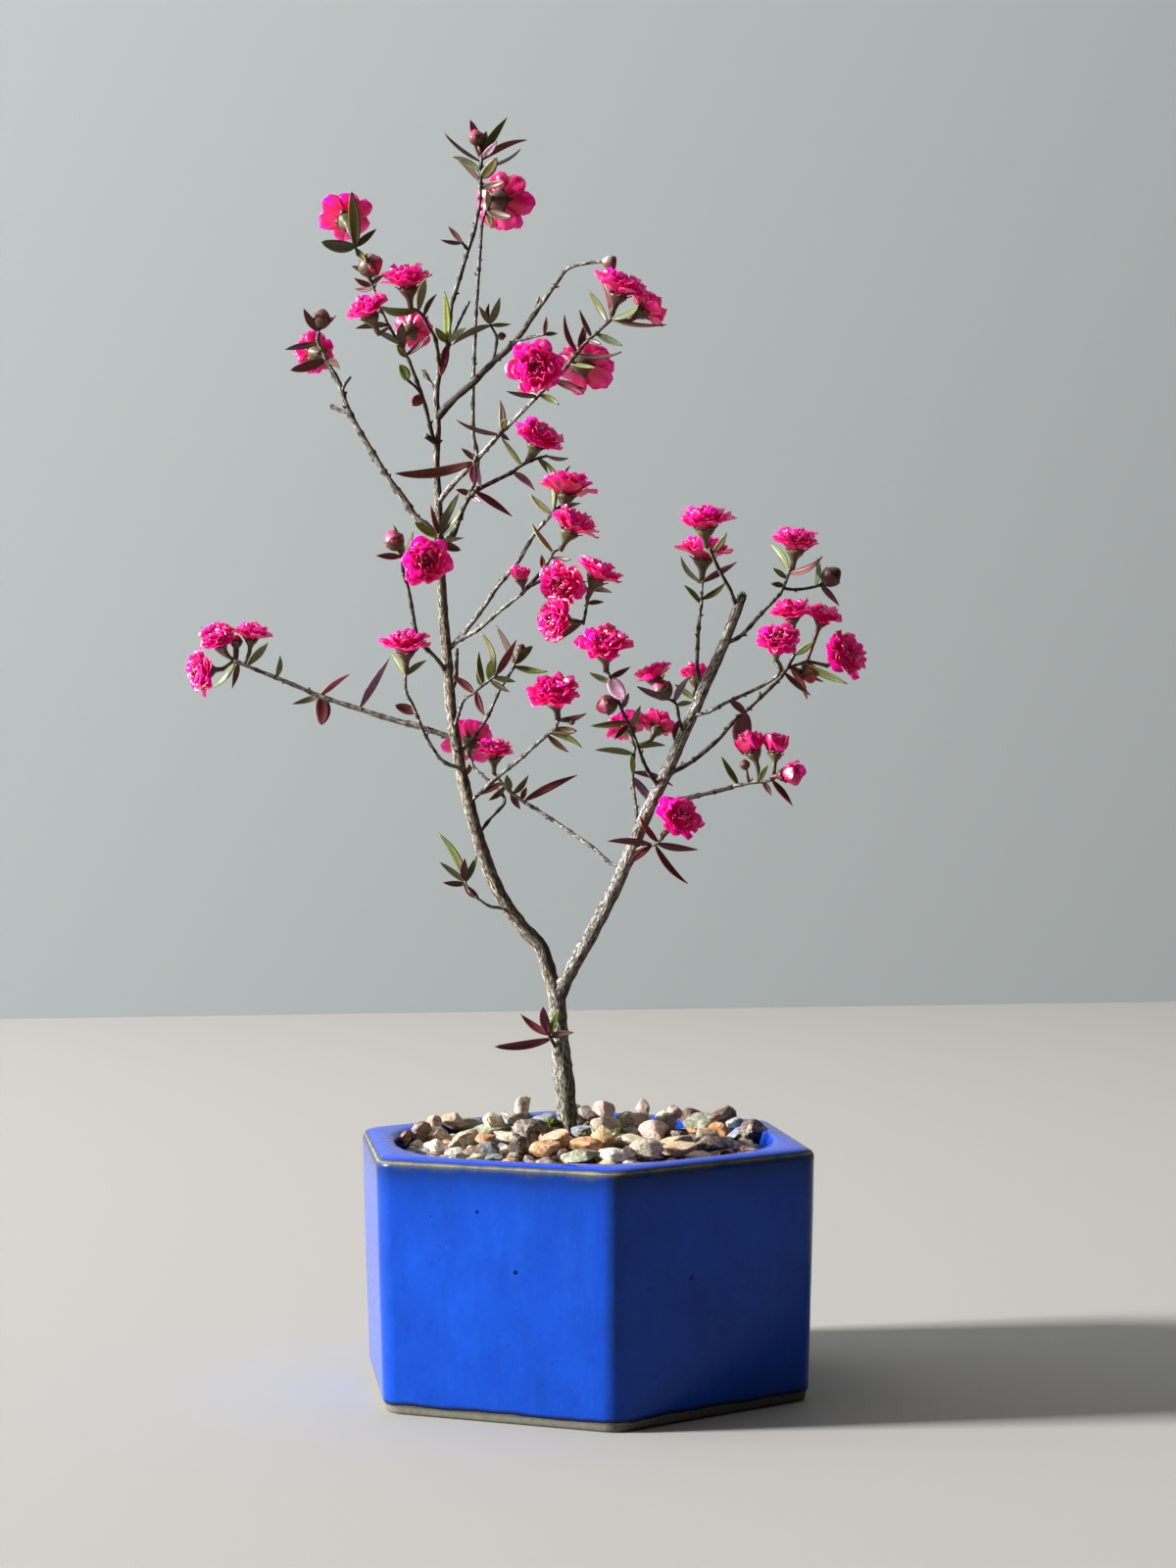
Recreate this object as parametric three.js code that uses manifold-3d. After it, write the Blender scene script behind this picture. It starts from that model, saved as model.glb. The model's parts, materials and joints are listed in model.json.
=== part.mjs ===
// A burgundy queen tea tree grown as a bonsai in a blue hexagonal pot.
// Millimetres, +Z up. The origin is the centre of the pot's underside and -Y is the pot's front corner.

import * as THREE from 'three';
import { mergeVertices } from 'three/addons/utils/BufferGeometryUtils.js';
import Module from 'manifold-3d';

const wasm = await Module();
wasm.setup();

// Driving dimensions of the pot.
const POT_HEIGHT = 76;
const POT_CORNER = 76;
const POT_TAPER = 2.5;
const WALL_CORNER_ROUND = 5;
const LIP_ROUNDING = 2.2;
const LIP_FALL = 3.4;
const MOUTH_CORNER = 66.4;
const MOUTH_ROUND = 30;
const MOUTH_EASE = 2.5;
const CORNER_STEPS = 3;
const POT_FLOOR = 8;
const FOOT_HEIGHT = 2.6;
const FOOT_INSET = 0.9;
const FOOT_CHAMFER = 0.7;
const DRAIN_RADIUS = 7;
const DRAIN_OFFSET = 24;

// Clearance left between neighbouring pieces.
const GAP = 0.35;

// Heights of the filling: soil, then the pebble bed, both mounded round the trunk.
const SOIL_EDGE_HEIGHT = 64;
const SOIL_MIDDLE_HEIGHT = 71;
const BED_EDGE_HEIGHT = 69;
const BED_MIDDLE_HEIGHT = 77;
const PEBBLE_COUNT = 58;
const PEBBLE_SEED = 7;
// Each range is a smallest value and how much a draw may add. Girths are shares of the length.
const PEBBLE_LENGTH = [5, 1.6];
const PEBBLE_WIDTH = [0.72, 0.28];
const PEBBLE_HEIGHT = [0.55, 0.25];
const PEBBLE_TILT = [-0.45, 0.9];
const PEBBLE_RISE = 0.32;
const PEBBLE_RIM_GAP = 1;

// The tree was measured from one viewpoint. Its points are given as across, up and depth:
// across and up are read on the upright plane through the pot's axis that faces the viewer,
// and depth carries the point away from the viewer along the line of sight.
const VIEW_TURN = THREE.MathUtils.degToRad(-7.4);
const VIEW_DISTANCE = 950;
const VIEW_HEIGHT = 182;

const LEAF_SEED = 11;
const TWIG_SIDES = 4;

function seen(across, up, depth) {
  const scale = 1 + depth / VIEW_DISTANCE;
  return new THREE.Vector3(across * scale, depth, VIEW_HEIGHT + (up - VIEW_HEIGHT) * scale);
}

function randomFrom(seed) {
  let state = seed;
  return () => {
    state = (state + 0x6d2b79f5) | 0;
    let mixed = Math.imul(state ^ (state >>> 15), 1 | state);
    mixed = (mixed + Math.imul(mixed ^ (mixed >>> 7), 61 | mixed)) ^ mixed;
    return ((mixed ^ (mixed >>> 14)) >>> 0) / 4294967296;
  };
}

// Solids.

function toSolid(geometry) {
  const bare = geometry.clone();
  bare.deleteAttribute('normal');
  bare.deleteAttribute('uv');
  const merged = mergeVertices(bare, 1e-4);
  return new wasm.Manifold(new wasm.Mesh({
    numProp: 3,
    vertProperties: new Float32Array(merged.attributes.position.array),
    triVerts: new Uint32Array(merged.index.array),
  }));
}

function join(solids) {
  return solids.reduce((whole, solid) => whole.add(solid));
}

function toGeometry(solid) {
  const mesh = solid.getMesh();
  const geometry = new THREE.BufferGeometry();
  geometry.setAttribute('position', new THREE.BufferAttribute(new Float32Array(mesh.vertProperties), 3));
  geometry.setIndex(new THREE.BufferAttribute(new Uint32Array(mesh.triVerts), 1));
  return geometry;
}

// Moves every vertex of a geometry to where the given function sends it.
function reshape(geometry, place) {
  const positions = geometry.attributes.position;
  const vertex = new THREE.Vector3();
  for (let i = 0; i < positions.count; i += 1) {
    vertex.fromBufferAttribute(positions, i);
    const moved = place(vertex, i);
    positions.setXYZ(i, moved.x, moved.y, moved.z);
  }
  return geometry;
}

// A closed tube along the points, with its own radius at each of them.
function tube(points, radii, sides) {
  const last = points.length - 1;
  const tangents = points.map((point, i) => {
    const before = points[Math.max(i - 1, 0)];
    const after = points[Math.min(i + 1, last)];
    return after.clone().sub(before).normalize();
  });
  const start = Math.abs(tangents[0].y) < 0.8 ? new THREE.Vector3(0, 1, 0) : new THREE.Vector3(1, 0, 0);
  let normal = start.cross(tangents[0]).normalize();
  const frames = tangents.map((tangent) => {
    normal = normal.clone().addScaledVector(tangent, -normal.dot(tangent)).normalize();
    return { normal, side: normal.clone().cross(tangent) };
  });
  const cylinder = new THREE.CylinderGeometry(1, 1, 1, sides, last);
  return reshape(cylinder, (vertex) => {
    const i = Math.round((vertex.y + 0.5) * last);
    return points[i].clone()
      .addScaledVector(frames[i].normal, vertex.x * radii[i])
      .addScaledVector(frames[i].side, vertex.z * radii[i]);
  });
}

// A solid with a rounded hexagon at each height. Profile rows are corner distance, height, corner radius.
function hexagonal(profile) {
  const perCorner = CORNER_STEPS + 1;
  const outline = profile.map(([corner, z]) => new THREE.Vector2(corner, z));
  const lathe = new THREE.LatheGeometry(outline, 6 * perCorner);
  return reshape(lathe, (vertex, i) => {
    const [corner, z, round] = profile[i % profile.length];
    if (corner === 0) return new THREE.Vector3(0, 0, z);
    const step = Math.floor(i / profile.length);
    const along = Math.floor(step / perCorner) * Math.PI / 3;
    const turn = along + ((step % perCorner) / CORNER_STEPS - 0.5) * Math.PI / 3;
    const centre = corner - round / Math.cos(Math.PI / 6);
    return new THREE.Vector3(
      centre * Math.sin(along) + round * Math.sin(turn),
      -centre * Math.cos(along) - round * Math.cos(turn),
      z,
    );
  });
}

// Pot, screen, soil and pebbles.

function potSolid() {
  const foot = POT_CORNER - POT_TAPER;
  const shell = toSolid(hexagonal([
    [0, 0, 0],
    [foot - FOOT_INSET - FOOT_CHAMFER, 0, WALL_CORNER_ROUND],
    [foot - FOOT_INSET, FOOT_HEIGHT - 0.4, WALL_CORNER_ROUND],
    [foot, FOOT_HEIGHT, WALL_CORNER_ROUND],
    [POT_CORNER, POT_HEIGHT - LIP_FALL, WALL_CORNER_ROUND],
    [POT_CORNER - 0.4, POT_HEIGHT - LIP_FALL / 2, WALL_CORNER_ROUND],
    [POT_CORNER - LIP_ROUNDING, POT_HEIGHT - 0.7, WALL_CORNER_ROUND],
    [MOUTH_CORNER + LIP_ROUNDING, POT_HEIGHT, MOUTH_ROUND],
    [MOUTH_CORNER + 0.5, POT_HEIGHT - 0.8, MOUTH_ROUND],
    [MOUTH_CORNER, POT_HEIGHT - MOUTH_EASE, MOUTH_ROUND],
    [MOUTH_CORNER - POT_TAPER, POT_FLOOR, MOUTH_ROUND],
    [0, POT_FLOOR, 0],
  ]));
  const drains = [-DRAIN_OFFSET, DRAIN_OFFSET].map((x) => {
    const hole = new THREE.CylinderGeometry(DRAIN_RADIUS, DRAIN_RADIUS, 3 * POT_FLOOR, 12);
    return toSolid(hole.rotateX(Math.PI / 2).translate(x, 0, POT_FLOOR / 2));
  });
  return shell.subtract(join(drains));
}

const SCREEN = { width: 68, depth: 20, thickness: 0.8 };

function screenSolid() {
  const plate = new THREE.BoxGeometry(SCREEN.width, SCREEN.depth, SCREEN.thickness);
  return toSolid(plate.translate(0, 0, POT_FLOOR + GAP + SCREEN.thickness / 2));
}

// Corner distance of the pot's inner face at a height, less the clearance.
function fillingCorner(z) {
  const top = POT_HEIGHT - MOUTH_EASE;
  const share = (top - z) / (top - POT_FLOOR);
  return MOUTH_CORNER - POT_TAPER * Math.max(share, 0) - GAP / Math.cos(Math.PI / 6);
}

function soilSolid(trunkHole) {
  const bottom = POT_FLOOR + GAP;
  const mound = (SOIL_EDGE_HEIGHT + SOIL_MIDDLE_HEIGHT * 2) / 3;
  const heap = toSolid(hexagonal([
    [0, bottom, 0],
    [fillingCorner(bottom), bottom, MOUTH_ROUND],
    [fillingCorner(SOIL_EDGE_HEIGHT), SOIL_EDGE_HEIGHT, MOUTH_ROUND],
    [MOUTH_CORNER / 2, mound, MOUTH_ROUND / 2],
    [0, SOIL_MIDDLE_HEIGHT, 0],
  ]));
  const recess = new THREE.BoxGeometry(
    SCREEN.width + 2 * GAP,
    SCREEN.depth + 2 * GAP,
    2 * (SCREEN.thickness + GAP),
  );
  return heap.subtract(toSolid(recess.translate(0, 0, bottom))).subtract(trunkHole);
}

function gravelSolid(trunkHole) {
  const rise = (BED_EDGE_HEIGHT + BED_MIDDLE_HEIGHT * 2) / 3;
  const under = (SOIL_EDGE_HEIGHT + SOIL_MIDDLE_HEIGHT * 2) / 3;
  const bed = toSolid(hexagonal([
    [0, SOIL_MIDDLE_HEIGHT + GAP, 0],
    [MOUTH_CORNER / 2, under + GAP, MOUTH_ROUND / 2],
    [fillingCorner(SOIL_EDGE_HEIGHT), SOIL_EDGE_HEIGHT + GAP, MOUTH_ROUND],
    [fillingCorner(BED_EDGE_HEIGHT), BED_EDGE_HEIGHT, MOUTH_ROUND],
    [MOUTH_CORNER / 2, rise, MOUTH_ROUND / 2],
    [0, BED_MIDDLE_HEIGHT, 0],
  ]));
  const random = randomFrom(PEBBLE_SEED);
  const draw = ([smallest, spread]) => smallest + spread * random();
  const reach = MOUTH_CORNER * Math.cos(Math.PI / 6);
  const pebbles = [];
  for (let i = 0; i < PEBBLE_COUNT; i += 1) {
    // Sunflower spacing fills the mouth evenly.
    const share = Math.sqrt((i + 0.5) / PEBBLE_COUNT);
    const turn = i * Math.PI * (3 - Math.sqrt(5));
    const length = draw(PEBBLE_LENGTH);
    const distance = Math.min(share * reach, reach - length - PEBBLE_RIM_GAP);
    const height = THREE.MathUtils.lerp(BED_MIDDLE_HEIGHT, BED_EDGE_HEIGHT, distance / reach);
    const stone = new THREE.IcosahedronGeometry(1, 0)
      .rotateX(random() * Math.PI)
      .scale(length * draw(PEBBLE_WIDTH), length, length * draw(PEBBLE_HEIGHT))
      .rotateX(draw(PEBBLE_TILT))
      .rotateZ(random() * Math.PI * 2)
      .translate(distance * Math.sin(turn), distance * Math.cos(turn), height + length * PEBBLE_RISE);
    pebbles.push(toSolid(stone));
  }
  return bed.add(join(pebbles)).subtract(trunkHole);
}

// Stems. Each line keeps its flat course (across, up, depth), its points in space and its radii.

const lines = new Map();

function nearestOnCourse(course, across, up) {
  const target = new THREE.Vector3(across, up, 0);
  const found = new THREE.Vector3();
  let best = { gap: Infinity };
  for (let i = 0; i + 1 < course.length; i += 1) {
    const [a, b] = [course[i], course[i + 1]];
    const flat = new THREE.Line3(new THREE.Vector3(a[0], a[1], 0), new THREE.Vector3(b[0], b[1], 0));
    const share = flat.closestPointToPointParameter(target, true);
    const gap = flat.at(share, found).distanceTo(target);
    if (gap < best.gap) {
      best = { gap, point: [0, 1, 2].map((k) => THREE.MathUtils.lerp(a[k], b[k], share)) };
    }
  }
  return best.point;
}

// Lays out a stem that starts on its parent's centre line.
function layStem(name, owner, { from, path, depth, radius }) {
  const parent = lines.get(from);
  const start = parent ? nearestOnCourse(parent.course, ...path[0]) : [...path[0], depth];
  const steps = path.map(([across, up], i) => {
    const before = path[Math.max(i - 1, 0)];
    return Math.hypot(across - before[0], up - before[1]);
  });
  const total = steps.reduce((sum, step) => sum + step, 0);
  let run = 0;
  const shares = steps.map((step) => {
    run += step;
    return run / total;
  });
  const deep = (share) => THREE.MathUtils.lerp(start[2], depth, share);
  const course = path.map(([across, up], i) => [across, up, deep(shares[i])]);
  course[0] = start;
  const points = course.map((place) => seen(...place));
  const radii = shares.map((share) => THREE.MathUtils.lerp(radius[0], radius[1], share));
  lines.set(name, { owner, course, points, radii });
}

// Distance from a place to a line's surface, and the nearest point of its centre line.
function toLine(place, { points, radii }) {
  let best = { gap: Infinity };
  for (let i = 0; i + 1 < points.length; i += 1) {
    const segment = new THREE.Line3(points[i], points[i + 1]);
    const share = segment.closestPointToPointParameter(place, true);
    const point = segment.at(share, new THREE.Vector3());
    const gap = point.distanceTo(place) - THREE.MathUtils.lerp(radii[i], radii[i + 1], share);
    if (gap < best.gap) best = { gap, point };
  }
  return best;
}

const START_GIRTH = 0.7;
const START_STEP = 0.1;
const SHORTEST_START = 0.4;

// Shortens the start of a line until it stands clear of the wood that bears it.
function clearStart(line, parent, continues) {
  const needed = continues ? GAP : GAP + line.radii[0] * START_GIRTH;
  const start = line.points[0].clone();
  const heading = line.points[1].clone().sub(start);
  const length = heading.length();
  heading.normalize();
  let moved = 0;
  while (moved < length - SHORTEST_START) {
    const here = start.clone().addScaledVector(heading, moved);
    const gap = continues ? here.distanceTo(start) : toLine(here, parent).gap;
    if (gap >= needed) break;
    moved += START_STEP;
  }
  return [start.addScaledVector(heading, moved), ...line.points.slice(1)];
}

// Wood: each stem names the stem that bears it. Depth is where it ends.

const WOOD = {
  trunk: {
    path: [[-4.8, 46], [-4.8, 84], [-6.2, 98], [-7.2, 110], [-8, 122]],
    depth: 0, radius: [3.4, 2.7], sides: 8,
  },
  left_low: {
    from: 'trunk',
    path: [[-7.8, 118], [-9.8, 126], [-12.8, 135], [-17.5, 140], [-24.6, 150], [-30.8, 165],
      [-34.9, 180], [-38.2, 195], [-40.2, 210], [-41.3, 225], [-42.5, 240], [-43.2, 252]],
    depth: 9, radius: [2.3, 1.4], sides: 6,
  },
  left_high: {
    from: 'left_low',
    path: [[-43.2, 251], [-43.6, 270], [-44.3, 283], [-43.8, 296], [-44.2, 305], [-43.2, 313]],
    depth: 5, radius: [1.4, 0.85], sides: 6,
  },
  right_limb: {
    from: 'trunk',
    path: [[-7.8, 118], [-4.8, 125], [-2, 130], [3.6, 140], [8.9, 150], [13.6, 160], [19.7, 175],
      [24.6, 185], [31.5, 200], [38.2, 215], [44.8, 230], [49.8, 243]],
    depth: -20, radius: [2.3, 1.5], sides: 6,
  },
  arch: {
    from: 'left_high',
    path: [[-43.8, 298], [-41, 301.5], [-37, 305.5], [-33, 308.8], [-28, 314], [-20, 321.5], [-14, 330],
      [-8, 338.5], [-3.5, 344.3], [3, 346], [7, 346.3]],
    depth: -24, radius: [1.25, 0.5],
  },
  up_left: {
    from: 'left_high',
    path: [[-43.4, 260], [-47, 264.5], [-50.5, 267], [-54.5, 273], [-59, 279], [-63, 285.5],
      [-67.5, 293], [-71.5, 300.5], [-74, 308], [-77, 313.5]],
    depth: 26, radius: [1.15, 0.8],
  },
  leader: {
    from: 'left_high',
    path: [[-43.3, 311], [-42, 315.5], [-40.5, 320.5], [-40.2, 326], [-39.5, 332.5], [-37.8, 338],
      [-36, 344], [-34.3, 349.5], [-32, 357], [-30.5, 365]],
    depth: 15, radius: [0.8, 0.6],
  },
  crook: {
    from: 'left_high',
    path: [[-43.2, 312.5], [-43.9, 319], [-44.6, 323], [-46.5, 326]],
    depth: -6, radius: [0.7, 0.55],
  },
  left_twig: {
    from: 'left_high',
    path: [[-44.2, 288], [-46, 294.5], [-47.3, 300], [-48.7, 305], [-51, 311.5], [-52.7, 316]],
    depth: -6, radius: [0.8, 0.55],
  },
  lower_rise: {
    from: 'left_high',
    path: [[-43.8, 272], [-41, 275.5], [-38, 279], [-34.5, 282.5], [-29, 288.5], [-23.5, 294.5],
      [-18.5, 299.5], [-13.5, 304.5]],
    depth: -20, radius: [0.95, 0.6],
  },
  middle_rise: {
    from: 'left_high',
    path: [[-43.4, 257], [-39.5, 261.5], [-37, 268], [-34.5, 273], [-32, 275.5], [-25, 279], [-21.5, 280.7]],
    depth: 19, radius: [1, 0.65],
  },
  long_rise: {
    from: 'middle_rise',
    path: [[-34.5, 273], [-32.5, 278.5], [-31.5, 285], [-32.8, 292], [-33, 302], [-32.7, 312],
      [-32.2, 324], [-31.5, 336], [-30.5, 350], [-29.9, 357.5], [-28.6, 361.5]],
    depth: 30, radius: [0.7, 0.5],
  },
  bloom_stalk: {
    from: 'left_low',
    path: [[-41.2, 219], [-45.5, 225], [-50, 229.5], [-51.6, 237], [-53, 245], [-54.7, 251]],
    depth: -12, radius: [0.7, 0.55],
  },
  right_reach: {
    from: 'left_low',
    path: [[-41.6, 226], [-37, 230.5], [-30, 239.5], [-25.5, 246], [-19, 254], [-14.5, 261.5], [-9, 268]],
    depth: 6, radius: [0.8, 0.55],
  },
  right_reach_low: {
    from: 'right_reach',
    path: [[-38.5, 229], [-32, 232.6], [-25, 238.5], [-18, 244]],
    depth: -6, radius: [0.75, 0.6],
  },
  inner_short: {
    from: 'left_low',
    path: [[-39.3, 202], [-36.5, 210.5], [-33.5, 213]],
    depth: -4, radius: [0.6, 0.5],
  },
  inner_long: {
    from: 'left_low',
    path: [[-38.4, 194], [-33.5, 199], [-29, 205.5], [-25, 214], [-20.5, 221]],
    depth: 16, radius: [0.6, 0.45],
  },
  low_cross: {
    from: 'left_low',
    path: [[-34.7, 179], [-28, 185.5], [-20, 192], [-11, 200]],
    depth: -14, radius: [0.65, 0.55],
  },
  from_right: {
    from: 'right_limb',
    path: [[13, 159], [9, 160.5], [4, 165], [-6, 172], [-13, 176.6], [-17, 179]],
    depth: 9, radius: [0.65, 0.55],
  },
  hooked: {
    from: 'left_low',
    path: [[-32.3, 169], [-28, 174.5], [-23.7, 179.5], [-26, 183.5], [-33, 190], [-34, 193]],
    depth: 19, radius: [0.55, 0.5],
  },
  long_left: {
    from: 'left_low',
    path: [[-39, 199], [-50, 202.8], [-60, 205.5], [-67, 207.8]],
    depth: 15, radius: [0.95, 0.8],
  },
  beside_left: {
    from: 'left_low',
    path: [[-37.4, 190], [-43, 192.5], [-48.5, 201], [-50.2, 205.5]],
    depth: -9, radius: [0.65, 0.55],
  },
  gnarl: {
    from: 'left_low',
    path: [[-40.6, 214], [-38.8, 217.5], [-38.2, 227]],
    depth: 4, radius: [0.9, 0.5],
  },
  before_right: {
    from: 'right_limb',
    path: [[24, 184], [20, 190.5], [17.5, 197]],
    depth: -22, radius: [0.65, 0.55],
  },
  behind_right: {
    from: 'right_limb',
    path: [[17.8, 170], [16.5, 181], [15.8, 186]],
    depth: 3, radius: [0.55, 0.5],
  },
  upright: {
    from: 'right_limb',
    path: [[37.8, 214], [36, 220], [36.3, 232], [37.4, 242]],
    depth: -6, radius: [0.65, 0.5],
  },
  end_twig: {
    from: 'right_limb',
    path: [[47.8, 239], [46.5, 244.5], [43, 251], [40.2, 257]],
    depth: -29, radius: [0.6, 0.5],
  },
  end_fork: {
    from: 'right_limb',
    path: [[44.2, 228.5], [49.5, 231], [57, 239], [61.5, 243.5]],
    depth: -10, radius: [0.7, 0.55],
  },
  right_front: {
    from: 'right_limb',
    path: [[34.3, 206], [40, 207.8], [44, 210]],
    depth: -24, radius: [0.65, 0.55],
  },
  right_long: {
    from: 'right_limb',
    path: [[26, 187.5], [34, 192], [42, 198.5], [48, 205.5]],
    depth: 0, radius: [0.85, 0.65],
  },
  right_low: {
    from: 'right_limb',
    path: [[22.3, 180], [30, 180.3], [42, 183], [47, 184.4]],
    depth: -20, radius: [0.75, 0.6],
  },
  behind_stalk: {
    from: 'right_limb',
    path: [[33.8, 205], [34.5, 209.5], [35, 212]],
    depth: -6, radius: [0.5, 0.45],
  },
};

// Dry stubs and spurs on the wood.
const STUBS = {
  stub_up_left: {
    from: 'up_left', depth: 22, radius: [0.5, 0.55],
    path: [[-73.3, 306], [-72.2, 308.5], [-70.7, 310.5]],
  },
  stub_pink: {
    from: 'up_left', depth: 26, radius: [0.5, 0.7],
    path: [[-71, 299.5], [-74, 300.2], [-76.8, 301.5]],
  },
  stub_arch: {
    from: 'arch', depth: -18, radius: [0.55, 0.45],
    path: [[-20, 321.5], [-15, 323], [-10.8, 324]],
  },
  stub_arch_mid: { from: 'arch', path: [[-13.6, 330.5], [-12.5, 335.3]], depth: -10, radius: [0.5, 0.4] },
  dry_twig: {
    from: 'leader', depth: 2, radius: [0.5, 0.4],
    path: [[-40.4, 321], [-37.6, 326.5], [-35.6, 330.5], [-34, 334]],
  },
  knot_left: {
    from: 'left_high', depth: 2, radius: [0.8, 0.9],
    path: [[-44.2, 290], [-46.2, 291.6], [-47.6, 292.6]],
  },
  dry_bud: {
    from: 'left_high', depth: 9, radius: [0.5, 0.9],
    path: [[-44.1, 306.5], [-46.3, 309], [-48.2, 312.4]],
  },
  seed_cup: { from: 'arch', path: [[6.6, 346.2], [8, 346.3], [11.8, 347]], depth: -24, radius: [0.6, 2.5] },
};

// Leaf rows are: across and up of the base, across and up of the tip, width, then, where it matters,
// how far the tip leans away from the viewer. Buds are across, up and thickness. Flowers are a place
// (across, up), the way the flower faces (across, up, away) and the diameter; its stem gives its depth.

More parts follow.
